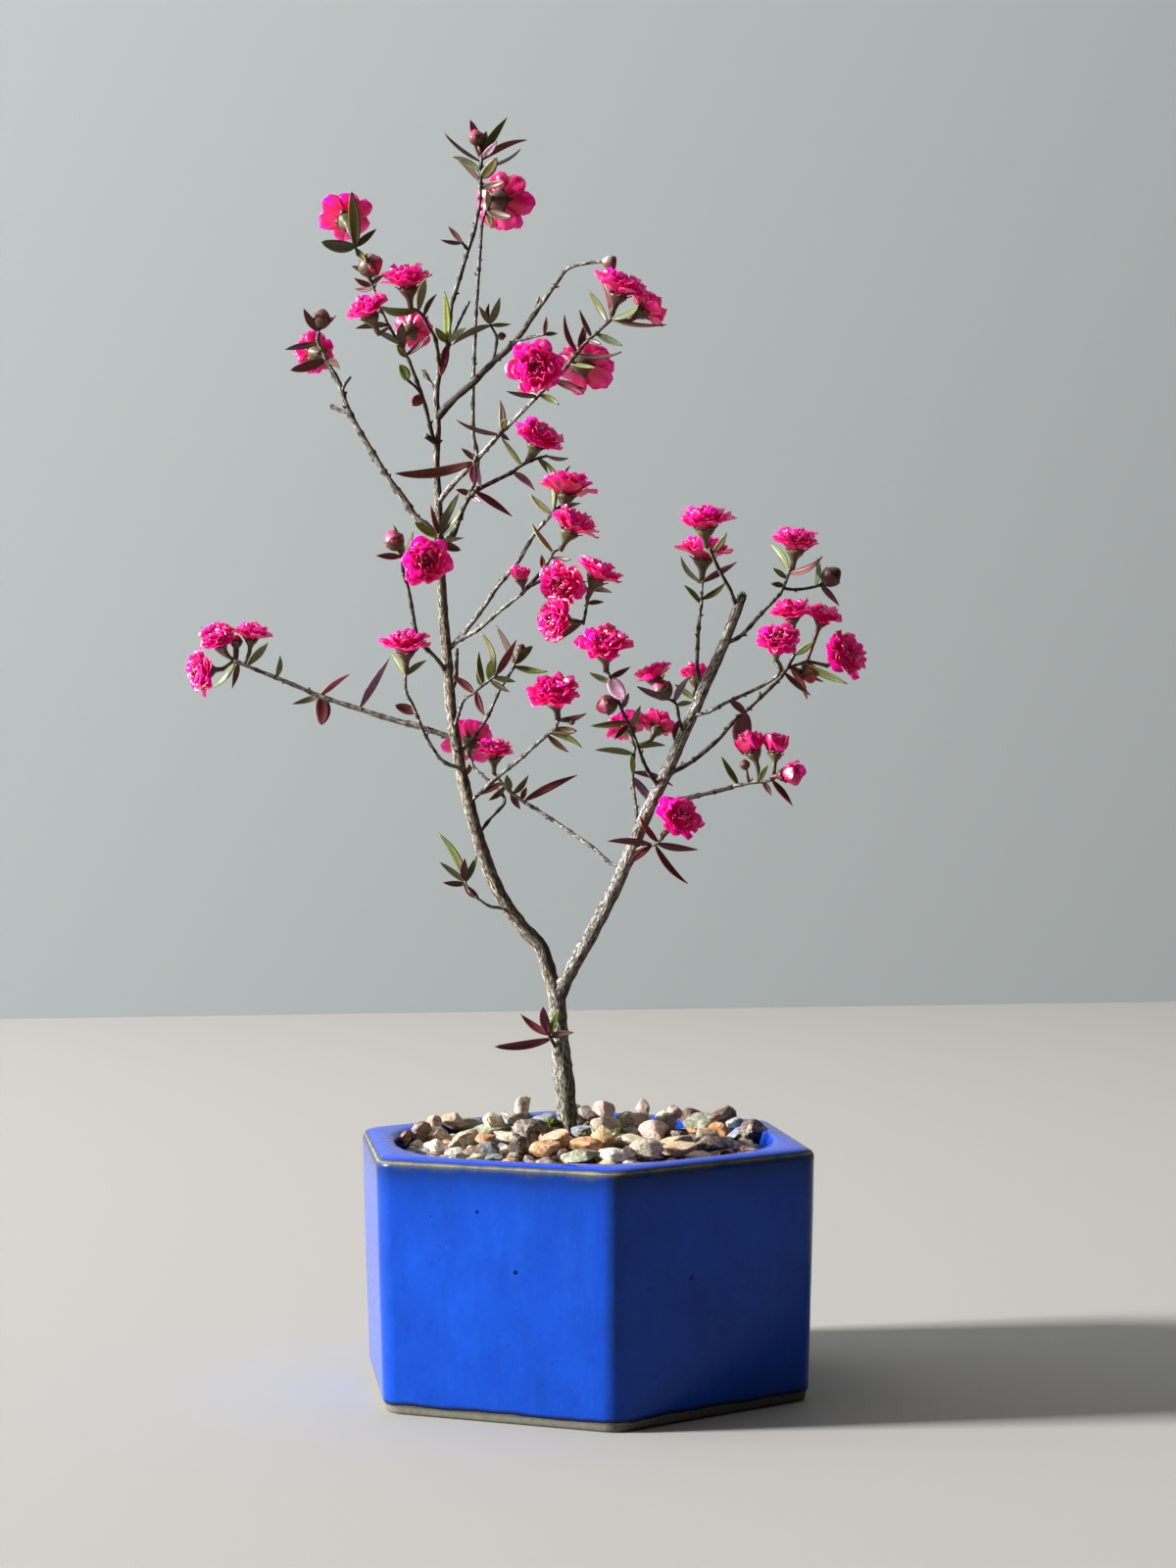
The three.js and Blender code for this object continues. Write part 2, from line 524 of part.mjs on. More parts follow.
const SHOOTS = {
  top: {
    stems: [{
      from: 'leader', depth: 17, radius: [0.6, 0.5],
      path: [[-30.5, 365], [-30.3, 370], [-30.2, 374], [-30, 378.5]],
    }],
    leaves: [
      [-30.2, 377.5, -33.5, 389.5, 2.6], [-30.4, 376.5, -41.5, 385.5, 1.1],
      [-30.2, 373.5, -39.5, 378.3, 1.2, -3], [-30.3, 370.5, -37.5, 377.5, 1.1, 3],
      [-30, 377, -28.5, 386, 2.4, 3], [-29.6, 378, -25.3, 383, 1.9, -5], [-29.6, 378.5, -22, 390.2, 2.1, 4],
      [-29.6, 377, -16, 383.2, 1.3], [-30, 371.5, -25.3, 377.8, 3, -4], [-30, 375, -18, 380.4, 1.1, 4],
      [-30.2, 368.5, -22.8, 370.6, 2, -5],
    ],
    buds: [[-31.6, 384, 3.2]],
  },
  long_rise_tip: {
    fused: true,
    stems: [{ from: 'long_rise', path: [[-28.6, 361.5], [-28, 362.3]], depth: 29, radius: [0.5, 0.5] }],
    leaves: [
      [-28.4, 361.5, -20.5, 359.5, 2.4, -5], [-28.6, 360.5, -27.3, 356, 1.8, -4],
      [-28.6, 362, -28.6, 368, 1.6, -4],
    ],
    flowers: { top: { at: [-24.8, 364.2], facing: [0.33, 0.1, 0.94], size: 18.5 } },
  },
  leader_twig: {
    fused: true,
    stems: [{ from: 'leader', path: [[-34.3, 349.5], [-36.3, 352.2]], depth: 7, radius: [0.45, 0.4] }],
    leaves: [[-36.3, 352, -40.4, 357, 1.4], [-36.3, 351.5, -42.6, 352.8, 1.1]],
  },
  leader_low: {
    fused: true,
    stems: [{ from: 'leader', path: [[-40.5, 320], [-41, 321.8]], depth: 3, radius: [0.6, 0.5] }],
    leaves: [
      [-40.8, 321.2, -41.6, 337, 1.9, -3], [-41, 321.2, -44.6, 326, 2, -3],
      [-40.6, 321.5, -35.1, 325.8, 2, -5], [-40.9, 320.5, -42.8, 311, 2.3, -4],
    ],
  },
  arch_low: {
    fused: true,
    stems: [{
      from: 'arch', depth: -8, radius: [0.5, 0.4],
      path: [[-26.8, 315.2], [-26, 319], [-25.6, 323], [-27.6, 327]],
    }],
    leaves: [
      [-27.6, 326.6, -21.2, 327, 1.1], [-27.6, 327, -24.5, 335.2, 1.9], [-27.8, 327, -30.9, 332.6, 1.4, -3],
      [-27.5, 327, -27.8, 333.3, 1.1, 3], [-27.6, 326.5, -39.3, 320.6, 1.3, -4],
    ],
    buds: [[-24, 323.3, 1.9]],
  },
  arch_stub: {
    fused: true,
    stems: [{ from: 'stub_arch', path: [[-11.5, 323.9], [-10.6, 324.1]], depth: -18, radius: [0.45, 0.4] }],
    leaves: [[-11, 324, -10.2, 329.4, 1.1], [-11, 324, -6.8, 324.2, 1.1]],
  },
  left_tip: {
    stems: [{
      from: 'up_left', depth: 30, radius: [0.8, 0.5],
      path: [[-77, 313.5], [-79, 317.5], [-80.7, 321.5], [-80.2, 325]],
    }],
    leaves: [
      [-80.4, 324.3, -85, 331.6, 2.1], [-80.2, 324.8, -75, 329.2, 1.4, -3],
      [-80.2, 321, -90.7, 319, 1.9, -5], [-78.6, 315.5, -89.2, 312.6, 2.7, -5],
      [-78, 315, -74, 313, 1.6, -3],
    ],
    buds: [[-79.5, 328.2, 6.2]],
    flowers: { left_high: { at: [-80.6, 318.5], facing: [-0.25, 0.1, 0.96], size: 16 } },
  },
  high: {
    stems: [
      {
        from: 'left_twig',
        path: [[-52.7, 316], [-55, 320], [-57, 323.5], [-59.5, 328], [-61.5, 332.5], [-63, 337], [-64.5, 341],
          [-67, 345.5], [-69, 351]],
        depth: -12, radius: [0.55, 0.45],
      },
    ],
    leaves: [
      [-69.3, 352, -70.1, 368.1, 3, -3], [-69.2, 352, -62.4, 356.5, 1.8],
      [-69, 351.2, -79.6, 352.6, 3.2, -3], [-68.6, 350.5, -65.6, 346.4, 1.8, -4],
      [-65.5, 343, -70.2, 345.1, 1.4], [-64, 339, -69.4, 341.4, 1.5], [-63.8, 339.5, -60, 342.4, 1.3],
      [-67.5, 347, -63.3, 348.9, 1.1, -5], [-63.4, 338.4, -69.2, 338, 1.2, 4],
      [-59.5, 326.5, -69.2, 325.8, 1.5, -4], [-55.5, 320.8, -63.5, 324.8, 1.4, -3],
      [-54.5, 319, -54.7, 327.6, 2.5, -5], [-53.6, 317.5, -46.4, 323.6, 1.5, -5],
      [-53, 317, -56.4, 320.8, 1.8, -4],
    ],
    buds: [[-64.3, 345.2, 6.4]],
    flowers: {
      left_top: { at: [-72, 361], facing: [-0.15, 0.6, 0.78], size: 17 },
      left_upper: { at: [-64.3, 331.8], facing: [-0.4, 0.85, -0.35], size: 15.5, before: 8 },
      left_inner: { at: [-51.5, 325.3], facing: [0.3, 0.35, 0.88], size: 14 },
    },
  },
  crook_tip: {
    stems: [{
      from: 'crook', depth: -10, radius: [0.55, 0.45],
      path: [[-46.5, 326], [-48.5, 330], [-50.3, 331.5]],
    }],
    leaves: [
      [-49.6, 331, -47.5, 341.2, 2, -4], [-48, 329.3, -44, 336.2, 1.1], [-50, 331.4, -61.2, 333, 2.2, -12],
    ],
    flowers: { left_middle: { at: [-52, 341.3], facing: [-0.1, 0.97, -0.2], size: 17 } },
  },
  twig_leaf: {
    fused: true,
    stems: [{
      from: 'left_twig', depth: -6, radius: [0.5, 0.45],
      path: [[-48.7, 305], [-50.5, 307.6], [-53, 309.8]],
    }],
    leaves: [[-53, 309.8, -55.6, 314.7, 2.7], [-47.5, 300, -51.6, 302, 2.8, -3]],
  },
  rise_middle: {
    fused: true,
    stems: [{ from: 'lower_rise', path: [[-24.8, 293], [-24, 295]], depth: -13, radius: [0.6, 0.5] }],
    leaves: [
      [-24.8, 293, -38, 297.6, 1.2, -4], [-24.3, 294.3, -24.6, 303.6, 1.7],
      [-24, 295, -22.6, 297.8, 1.8, -3], [-24.6, 293.6, -21.7, 291.3, 1.2],
    ],
  },
  rise_low: {
    fused: true,
    stems: [{ from: 'lower_rise', path: [[-32.7, 284.4], [-32, 286]], depth: -9, radius: [0.6, 0.5] }],
    leaves: [
      [-32.7, 284.6, -57.2, 281.2, 2.6, -5], [-32.4, 285, -36.7, 288.8, 1.4],
      [-32.5, 284.4, -32.6, 277.4, 2.1, -4], [-32, 284.6, -30.5, 276.4, 1.6],
    ],
  },
  rise_tip: {
    stems: [
      {
        from: 'lower_rise',
        path: [[-13.5, 304.5], [-9, 309], [-4.5, 313.5], [-1, 318], [2, 321.5], [7, 326], [10, 328.8]],
        depth: -22, radius: [0.6, 0.5],
      },
    ],
    leaves: [
      [-13, 305, -22.6, 306.6, 1.3, -3], [-12.4, 305.6, -16.6, 308.4, 1.2, 3],
      [-12.8, 305, -19.9, 307, 1.7], [-12.4, 305.2, -6.4, 302.4, 1.6], [-8, 309.6, 1.4, 305.6, 1.8, -4],
      [-7.5, 310, 1.4, 307.2, 1.3, 4], [-1, 318, 13, 318.6, 1.2, -3], [-3, 315, 5.2, 313.8, 1.1, -5],
      [-0.8, 318.4, -4.6, 330, 1.4], [-0.2, 319.2, 1.6, 327.6, 1.9, 3], [3.8, 323, 0, 331.6, 1.3],
      [2.6, 322, 6.6, 321, 1.5, -3], [5, 324.2, 13.3, 320.5, 1.8], [8.6, 327.6, 2.4, 337.6, 1.5],
      [9.8, 328.6, 5.4, 342.6, 1.8, 6], [9.8, 328.6, 18.2, 333.2, 2.2, -6],
      [9.8, 328.4, 26.7, 327, 1.2, -5],
    ],
    flowers: {
      facing_left: { at: [-12.6, 314], facing: [-0.18, 0.05, -0.98], size: 16.5 },
      facing_back: { at: [0.8, 315], facing: [0.3, 0.1, 0.95], size: 17 },
      right_crown: { at: [13.2, 338.6], facing: [0.32, 0.93, -0.2], size: 16.5 },
      right_crown_low: { at: [21, 332.2], facing: [0.75, 0.6, 0.28], size: 13.5 },
    },
  },
  middle_tip: {
    stems: [{
      from: 'middle_rise', depth: 22, radius: [0.65, 0.45],
      path: [[-21.5, 280.7], [-17.2, 283.6], [-13, 285.3], [-10, 286]],
    }],
    leaves: [
      [-18, 283, -24.2, 291.6, 1.2], [-16.4, 284, -11.6, 287.8, 1.7, -4], [-10.4, 285.9, -3.6, 285.1, 1.2],
      [-20.8, 281, -14, 275.4, 1.9], [-13, 285.2, -6, 278.8, 1.8, -3], [-12.6, 285, -8.6, 278.6, 1.4, 3],
    ],
    flowers: { middle_right: { at: [-12.6, 291.9], facing: [0.42, 0.82, -0.38], size: 16.5 } },
  },
  middle_low: {
    fused: true,
    stems: [{ from: 'middle_rise', path: [[-33.5, 274], [-31.8, 276.6]], depth: 6, radius: [0.6, 0.5] }],
    leaves: [
      [-32.6, 275.4, -21, 267.6, 1.9], [-34, 273.6, -30.4, 271.8, 1.4, -3], [-34, 274, -38.4, 275.8, 1.6],
    ],
  },
  stalk_tip: {
    stems: [{ from: 'bloom_stalk', path: [[-54.7, 251], [-55.3, 256]], depth: -15, radius: [0.55, 0.5] }],
    leaves: [
      [-55.2, 255, -57.6, 265.4, 2, 6], [-55.2, 255.6, -63, 256, 1.7], [-55, 254.6, -51.6, 263, 1.6, 8],
    ],
    buds: [[-57.4, 260.6, 5.4]],
    flowers: { left_front: { at: [-47.4, 254.6], facing: [0.12, 0, -0.99], size: 16 } },
  },
  left_rosette: {
    fused: true,
    stems: [{ from: 'left_high', path: [[-43.4, 259.5], [-43.5, 262]], depth: 2, radius: [0.7, 0.5] }],
    leaves: [
      [-43.5, 261.5, -46.1, 271.2, 1.3], [-43.6, 261.2, -51.2, 266, 2.2, -2],
      [-43.4, 261.5, -37.4, 274.8, 2.2, -3], [-43.4, 261.2, -36.4, 269.7, 1.4, -4],
      [-43.4, 260, -36, 260.9, 1.2], [-43.4, 259.4, -36.9, 257.2, 2.2],
    ],
  },
  reach_tip: {
    fused: true,
    stems: [{ from: 'right_reach', path: [[-9, 268], [-7.4, 270.2]], depth: 7, radius: [0.55, 0.5] }],
    leaves: [
      [-8.4, 269, -10.2, 283.2, 1.3, 4], [-8, 269.6, -3, 283, 1.6, 6], [-7.6, 270, 0.2, 271.6, 1.5, -4],
      [-8.2, 269, 3.6, 267.4, 1.6, 4], [-8.8, 268.4, -15.6, 274.6, 1.7],
    ],
    flowers: { middle_low: { at: [-3.6, 276.6], facing: [0.28, 0.72, -0.63], size: 16 } },
  },
  spray: {
    stems: [
      {
        from: 'right_reach_low',
        path: [[-18, 244], [-13, 249.5], [-9.5, 254.5], [-8, 257], [-5.6, 258.2]],
        depth: -9, radius: [0.6, 0.45],
      },
      {
        from: 'spray',
        path: [[-16.4, 245.8], [-12, 248], [-6, 251], [-1, 249.4], [1.5, 246], [2.4, 243.5], [0.8, 234.5]],
        depth: -17, radius: [0.5, 0.45],
      },
    ],
    leaves: [
      [-8.4, 256.4, -15.2, 265.8, 1.3], [-9.2, 255, -2.8, 254.6, 1.3, -4], [-11.6, 251.6, -12, 256, 1.5],
      [1.6, 245.6, 9.7, 244.3, 1.5, -3], [1.8, 241, 7.2, 241.4, 1.2], [1, 236, -7.8, 228.8, 1.6, 4],
    ],
    flowers: {
      centre_high: { at: [-2.4, 266], facing: [0.38, 0.86, -0.3], size: 17 },
      centre_half: { at: [-18.3, 249.3], facing: [-0.15, 0.97, -0.15], size: 8.5 },
      centre_right: { at: [5.6, 251], facing: [0.35, 0.3, -0.88], size: 15.5 },
      centre_left: { at: [-4.4, 247.6], facing: [-0.3, 0, -0.95], size: 15 },
      centre_low: { at: [-6.8, 237.2], facing: [-0.55, 0.05, -0.45], size: 15.5 },
    },
  },
  short_tip: {
    stems: [{
      from: 'inner_short', depth: -12, radius: [0.5, 0.4],
      path: [[-33.5, 213], [-30.5, 215.5], [-26, 219]],
    }],
    leaves: [
      [-33, 213.4, -39.8, 218.7, 2], [-32.4, 214, -29.8, 206.6, 2, -3], [-30.5, 215.5, -32.1, 220.8, 1.6],
      [-30, 216, -31.4, 226.2, 1.5, 3], [-28.2, 217.4, -27.8, 223.4, 2.3, -3],
      [-26.8, 218.4, -31, 232.2, 1.3, 3], [-26.2, 219, -19.8, 229.8, 1.9],
      [-27, 218, -20.2, 216.9, 1.5, -3], [-28.2, 217.2, -22.2, 213.8, 1.5, -4],
    ],
  },
  inner_tip: {
    fused: true,
    stems: [{ from: 'inner_long', path: [[-21.5, 219.4], [-20.3, 222.2]], depth: 16, radius: [0.45, 0.4] }],
    leaves: [
      [-20.3, 222, -14.8, 227.4, 2.4], [-20.6, 221.2, -10.2, 219.6, 1.6],
      [-20.4, 222, -26.2, 233.8, 1.5, 3],
    ],
    buds: [[-18.4, 226.6, 2.2]],
  },
  cross_tip: {
    stems: [{
      from: 'low_cross', depth: -16, radius: [0.55, 0.45],
      path: [[-11, 200], [-7.6, 203], [-7, 205.6]],
    }],
    leaves: [
      [-7.2, 205, 1.7, 207.1, 1.5], [-9, 201.6, -1.3, 201.7, 2.2], [-9.6, 201, 0.2, 196.6, 1.5],
      [-10.4, 200.4, -3.8, 195.2, 1.5, -3],
    ],
    buds: [[-2.8, 204.4, 1.7]],
    flowers: { low_centre: { at: [-7.8, 212.9], facing: [-0.1, 0.82, -0.56], size: 18 } },
  },
  right_cross_tip: {
    stems: [{
      from: 'from_right', depth: 11, radius: [0.55, 0.45],
      path: [[-17, 179], [-22.4, 183], [-26.2, 187.6]],
    }],
    leaves: [
      [-17.8, 179.6, -1.2, 187.7, 2, 2], [-18.4, 180.2, -16.8, 184, 1.5], [-22, 182.6, -23, 187.8, 2, -3],
      [-21, 182, -16.2, 187.8, 1.6, 3], [-23.4, 184.2, -28.6, 180, 1.6],
      [-24.4, 185.4, -32.4, 181.6, 1.6, -4], [-21.6, 182.4, -18.8, 177.2, 1.8],
    ],
    flowers: { low_left: { at: [-26.8, 195.4], facing: [0.02, 0.97, -0.24], size: 13.5 } },
  },
  hooked_tip: {
    fused: true,
    stems: [{ from: 'hooked', path: [[-33.6, 191.6], [-34, 193]], depth: 19, radius: [0.5, 0.45] }],
    leaves: [[-33.6, 191, -36.4, 186.8, 1.5]],
    flowers: { behind_limb: { at: [-35, 198.3], facing: [-0.05, 0.5, 0.86], size: 17.5 } },
  },
  far_left: {
    stems: [
      {
        from: 'long_left',
        path: [[-67, 207.8], [-80, 212], [-87, 215], [-93, 217.5], [-100, 220.3], [-107, 223.2]],
        depth: 24, radius: [0.8, 0.55],
      },
    ],
    leaves: [
      [-80.5, 212.2, -71.4, 218.9, 1.3], [-80.5, 212.4, -89, 209.8, 1.5], [-80, 212, -80, 203.4, 4.2, -3],
      [-68.4, 208.4, -58.8, 224.2, 2, 3], [-94, 218, -92.8, 224.6, 1.5], [-103, 221.6, -96.6, 228.8, 1.8],
      [-105.6, 222.6, -107.6, 214.6, 1.6], [-106.5, 223, -113.4, 214.8, 1.5, 5],
      [-106, 223, -105, 230.4, 1.5, 6], [-106.8, 223.2, -117, 233.6, 1.4, 6],
    ],
    buds: [[-106.2, 229, 2.4]],
    flowers: {
      far_left_up: { at: [-101.4, 231.6], facing: [0.15, 0.97, -0.15], size: 11.5 },
      far_left_top: { at: [-110.8, 230.4], facing: [-0.35, 0.75, -0.56], size: 13.5 },
      far_left_low: { at: [-114.6, 220.4], facing: [-0.8, -0.1, -0.6], size: 14 },
    },
  },
  beside_tip: {
    stems: [{
      from: 'beside_left', depth: -16, radius: [0.55, 0.45],
      path: [[-50.2, 205.5], [-52, 210], [-54, 214], [-54, 219.6]],
    }],
    leaves: [[-54, 219, -58.6, 226, 1.5], [-54, 219, -47.6, 223.6, 1.5], [-51, 207.5, -57.4, 209.7, 2.6]],
    flowers: { left_small: { at: [-54, 229], facing: [0, 0.97, -0.24], size: 16 } },
  },
  low_left: {
    stems: [{
      from: 'left_low', depth: -7, radius: [0.5, 0.4],
      path: [[-22, 146.4], [-26, 147], [-29, 147.7], [-34.5, 152], [-36, 155.5]],
    }],
    leaves: [
      [-31.8, 149.8, -36.4, 154.4, 1.9, -3], [-36, 155, -44.3, 170.3, 2, 2],
      [-35.8, 155, -43.8, 161.2, 1.5], [-35.6, 154.4, -42.8, 154.9, 1.5], [-36, 155.2, -36.1, 162.4, 2, -3],
      [-35.9, 155, -32.2, 163.4, 1.6],
    ],
  },
  trunk_sprig: {
    fused: true,
    stems: [{
      from: 'trunk', depth: -4.5, radius: [0.6, 0.4],
      path: [[-6.6, 101], [-8.4, 104], [-10.3, 107.8]],
    }],
    leaves: [
      [-9.6, 106.4, -27.2, 104.1, 2, -3], [-10.2, 107.6, -19, 114.1, 1.6],
      [-10.2, 107.6, -12.1, 116.3, 2.2, -2], [-10, 107.4, -7, 115.8, 1.4, -2],
      [-9.8, 107, -2.6, 108.3, 1.6, -4],
    ],
  },
  front_right: {
    stems: [{
      from: 'before_right', depth: -26, radius: [0.55, 0.45],
      path: [[17.5, 197], [15.5, 202.5], [13, 207.5], [9.6, 216.5], [8.6, 219.6]],
    }],
    leaves: [
      [9, 218.4, 15.4, 221.6, 1.5, 3], [9, 218.2, 13.4, 211.4, 4, -4], [9.6, 216.8, 2.4, 219.9, 1.5],
      [14.4, 204.6, 2.8, 203.4, 1.5], [15, 203.6, 10.3, 199.1, 1.5, -3],
      [12.6, 208.6, 14.8, 213.4, 1.4, -3], [15.4, 202.8, 18.4, 209.6, 1.6],
    ],
    buds: [[8, 209.8, 3.6]],
    flowers: { front: { at: [7.4, 228.2], facing: [-0.05, 0.86, -0.5], size: 17.5 } },
  },
  back_right: {
    stems: [{
      from: 'behind_right', depth: 9, radius: [0.5, 0.45],
      path: [[15.8, 186], [16.2, 192], [16.6, 196.5]],
    }],
    leaves: [
      [15.9, 187, 22.7, 178, 2.2, -3], [16, 188.6, 28.3, 184.2, 1.5, 4], [15.9, 188, 15.4, 194.4, 1.5, -3],
      [16.3, 194, 4, 195.4, 1.5, -2], [16.5, 196, 26, 196.6, 1.5, 4],
    ],
    flowers: {
      behind_right: { at: [14, 203.6], facing: [-0.3, 0.75, 0.6], size: 13 },
      behind_right_far: { at: [23.8, 203.8], facing: [0.4, 0.75, 0.5], size: 12.5 },
    },
  },
  right_spur: {
    stems: [{
      from: 'right_limb', depth: -26, radius: [0.5, 0.45],
      path: [[31.4, 200.2], [30.2, 206], [29.4, 210], [27, 211.6]],
    }],
    leaves: [
      [28.6, 210.4, 33.4, 218.4, 1.7, -4], [27.4, 211.4, 17.3, 215.6, 1.5, -5],
      [30.4, 205, 28.8, 198.6, 1.5, -3], [29.4, 209.6, 34.4, 210.4, 1.3, -3],
    ],
    buds: [[25, 214.6, 4.4]],
    flowers: { right_spur: { at: [22.4, 219.4], facing: [-0.35, 0.9, 0.1], size: 12.5 } },
  },
  behind_stalk_tip: {
    fused: true,
    stems: [{ from: 'behind_stalk', path: [[34.8, 211.4], [35, 212]], depth: -5, radius: [0.45, 0.4] }],
    leaves: [[34.6, 210.4, 28.8, 216, 1.5, 5]],
    flowers: { behind_spur: { at: [35.6, 219], facing: [0.08, 0.93, 0.3], size: 11.5 } },
  },
  upright_tip: {
    fused: true,
    stems: [{ from: 'upright', path: [[37.2, 240], [37.6, 247.6]], depth: -3, radius: [0.5, 0.45] }],
    leaves: [
      [37.5, 246.6, 31, 255, 1.6], [37.6, 247.2, 48.2, 253.5, 1.6], [37.4, 242, 44.7, 247.2, 1.5, 3],
      [37.2, 240.6, 31.8, 246.6, 1.4],
    ],
    flowers: { right_upright: { at: [38, 257.4], facing: [0.03, 0.98, -0.1], size: 18 } },
  },
  end_twig_tip: {
    fused: true,
    stems: [{ from: 'end_twig', path: [[40.4, 256.4], [40, 258]], depth: -30, radius: [0.5, 0.45] }],
    leaves: [[40.6, 256, 45.2, 263, 1.5, -3]],
    flowers: { right_high: { at: [38.4, 267], facing: [-0.1, 0.94, 0.3], size: 17 } },
  },
  fork_tip: {
    stems: [
      {
        from: 'end_fork', depth: -12, radius: [0.55, 0.45],
        path: [[61.5, 243.5], [63.4, 247.5], [64.6, 251]],
      },
      {
        from: 'fork_tip', depth: -6, radius: [0.5, 0.45],
        path: [[62.4, 245.4], [67, 245], [73, 246], [75.4, 247.2]],
      },
    ],
    leaves: [
      [64.4, 250.4, 58.3, 259.3, 1.5], [64.4, 250, 74.7, 255.4, 1.5, -3], [63.8, 248.4, 59.3, 251.7, 1.4],
      [62.8, 246.2, 58.8, 246.8, 1.4], [74, 246.4, 79.8, 239.8, 1.5], [72.6, 246, 73, 254.8, 1.2, 3],
    ],
    buds: [[77.4, 248.9, 5.2]],
    flowers: { right_tip: { at: [66.4, 260], facing: [0.12, 0.97, -0.2], size: 16 } },
  },
  front_tip: {
    stems: [{
      from: 'right_front', depth: -32, radius: [0.55, 0.45],
      path: [[44, 210], [50, 212.7], [56, 215.6], [60.6, 218.6], [61.6, 220.6]],
    }],
    leaves: [[46, 211, 51.6, 206.1, 1.9]],
    flowers: { right_front: { at: [61, 229.6], facing: [-0.05, 0.95, -0.28], size: 15 } },
  },
  long_tip: {
    stems: [
      {
        from: 'right_long', depth: 10, radius: [0.65, 0.5],
        path: [[48, 205.5], [51, 207.5], [57, 213], [62, 218], [66, 224.5]],
      },
      { from: 'long_tip', path: [[63.4, 220.4], [70, 222.6]], depth: 12, radius: [0.5, 0.45] },
    ],
    leaves: [
      [66, 224.4, 72.2, 229.2, 1.8, -4], [50.4, 207.2, 50, 193.8, 5, -3],
      [67.6, 221.8, 82.3, 215.6, 1.8, -3], [64.6, 221, 69.8, 210.8, 1.6, 3],
      [62.8, 219.2, 70.9, 212.2, 1.4, -3], [64, 221, 74.9, 216.2, 1.4, 4], [62.6, 218.8, 58.6, 226, 1.4, 5],
    ],
    buds: [[70.4, 218.8, 5]],
    flowers: {
      right_pair: { at: [65.2, 238], facing: [-0.1, 0.97, -0.1], size: 13 },
      right_pair_far: { at: [75, 236.8], facing: [0.3, 0.93, 0.1], size: 12.5 },
      right_most: { at: [80.6, 225], facing: [0.93, 0.2, -0.28], size: 14 },
    },
  },
  low_right: {
    stems: [
      {
        from: 'right_low', depth: -26, radius: [0.6, 0.45],
        path: [[47, 184.4], [52, 185.5], [57, 186], [59.6, 186.8]],
      },
    ],
    leaves: [
      [48.6, 184.8, 43.4, 193.7, 1.6], [58.8, 186.4, 65.3, 178.6, 1.6], [56, 186, 58.7, 181.8, 1.4],
      [55, 185.8, 57.8, 191.2, 1.4, -5],
    ],
    buds: [[50.6, 191.2, 2]],
    flowers: {
      low_right_left: { at: [52.8, 196.6], facing: [-0.25, 0.94, 0.2], size: 12 },
      low_right_middle: { at: [61.6, 196.2], facing: [0.1, 0.95, 0.28], size: 11 },
      low_right_far: { at: [66.4, 187.8], facing: [0.9, 0.15, -0.4], size: 10.5 },
    },
  },
  front_spur: {
    stems: [{
      from: 'right_limb', depth: -18, radius: [0.55, 0.45],
      path: [[15.6, 164], [19, 165.6], [22.5, 166.5], [25, 168.3]],
    }],
    leaves: [
      [22, 166.4, 8.1, 167.6, 1.7, -3], [21.8, 166.4, 14.6, 160.5, 1.6, -3],
      [22.6, 166.6, 32.8, 154.4, 1.6], [23, 167, 36, 164.8, 1.8], [23.6, 167.4, 18.1, 175.4, 1.5, -4],
    ],
    flowers: { low_front: { at: [29.4, 174.6], facing: [0.5, 0.6, -0.62], size: 16.5 } },
  },
};

// Flowers that touch are one node.
const BUNCHES = {
  bloom_right_crown: ['right_crown', 'right_crown_low'],
  bloom_right_pair: ['right_pair', 'right_pair_far'],
  bloom_low_right: ['low_right_left', 'low_right_middle'],
  bloom_centre: ['centre_left', 'centre_low', 'centre_right'],
  bloom_far_left: ['far_left_up', 'far_left_top', 'far_left_low'],
  bloom_behind_right: ['behind_right', 'behind_right_far'],
};

const CUP_SINK = 0.22;
const CUP_LENGTH = 0.3;
const CUP_RADIUS = 0.2;
const CUP_FOOT_RADIUS = 0.06;
const CUP_SIDES = 4;
const CUP_STALK_FROM = 0.6;
const STALK_RADIUS = 0.45;
// Rows are a place along the bud and its radius there, as shares of its thickness.
const BUD_PROFILE = [[-0.5, 0.16], [-0.25, 0.44], [0.2, 0.46], [0.5, 0.14]];

// Turns across, up, away into a direction in the viewer's frame.
function direction([across, up, away]) {
  return new THREE.Vector3(across, away, up).normalize();
}

// The place on a shoot's stems that looks nearest to a point seen at across and up.
function nearestSeen(stemNames, across, up) {
  const places = stemNames.map((name) => nearestOnCourse(lines.get(name).course, across, up));
  const distance = (place) => Math.hypot(place[0] - across, place[1] - up);
  return places.reduce((best, place) => (distance(place) < distance(best) ? place : best));
}

// Seats a flower on its stem: its cup's foot is as deep as the stem, or stands before it by the given length.
function seatFlower(flower, stemNames) {
  const axis = direction(flower.facing);
  const stalk = (CUP_SINK + CUP_LENGTH) * flower.size + GAP;
  const [across, up] = flower.at;
  const root = nearestSeen(stemNames, across - axis.x * stalk, up - axis.z * stalk);
  const depth = root[2] + axis.y * stalk - (flower.before ?? 0);
  const centre = seen(across, up, depth);
  const rim = centre.clone().addScaledVector(axis, -(CUP_SINK * flower.size + GAP));
  const foot = centre.clone().addScaledVector(axis, -stalk);
  return { ...flower, axis, centre, rim, foot };
}

function nearestStem(place, names) {
  let best = { gap: Infinity };
  for (const name of names) {
    const found = toLine(place, lines.get(name));
    if (found.gap < best.gap) best = found;
  }
  return best.point;
}

function cupSolid({ rim, foot, size }, names) {
  const root = nearestStem(foot, names);
  const points = [foot, rim];
  const radii = [CUP_FOOT_RADIUS * size, CUP_RADIUS * size];
  if (root.distanceTo(foot) > CUP_STALK_FROM) {
    points.unshift(root);
    radii.unshift(STALK_RADIUS);
  }
  return toSolid(tube(points, radii, CUP_SIDES));
}

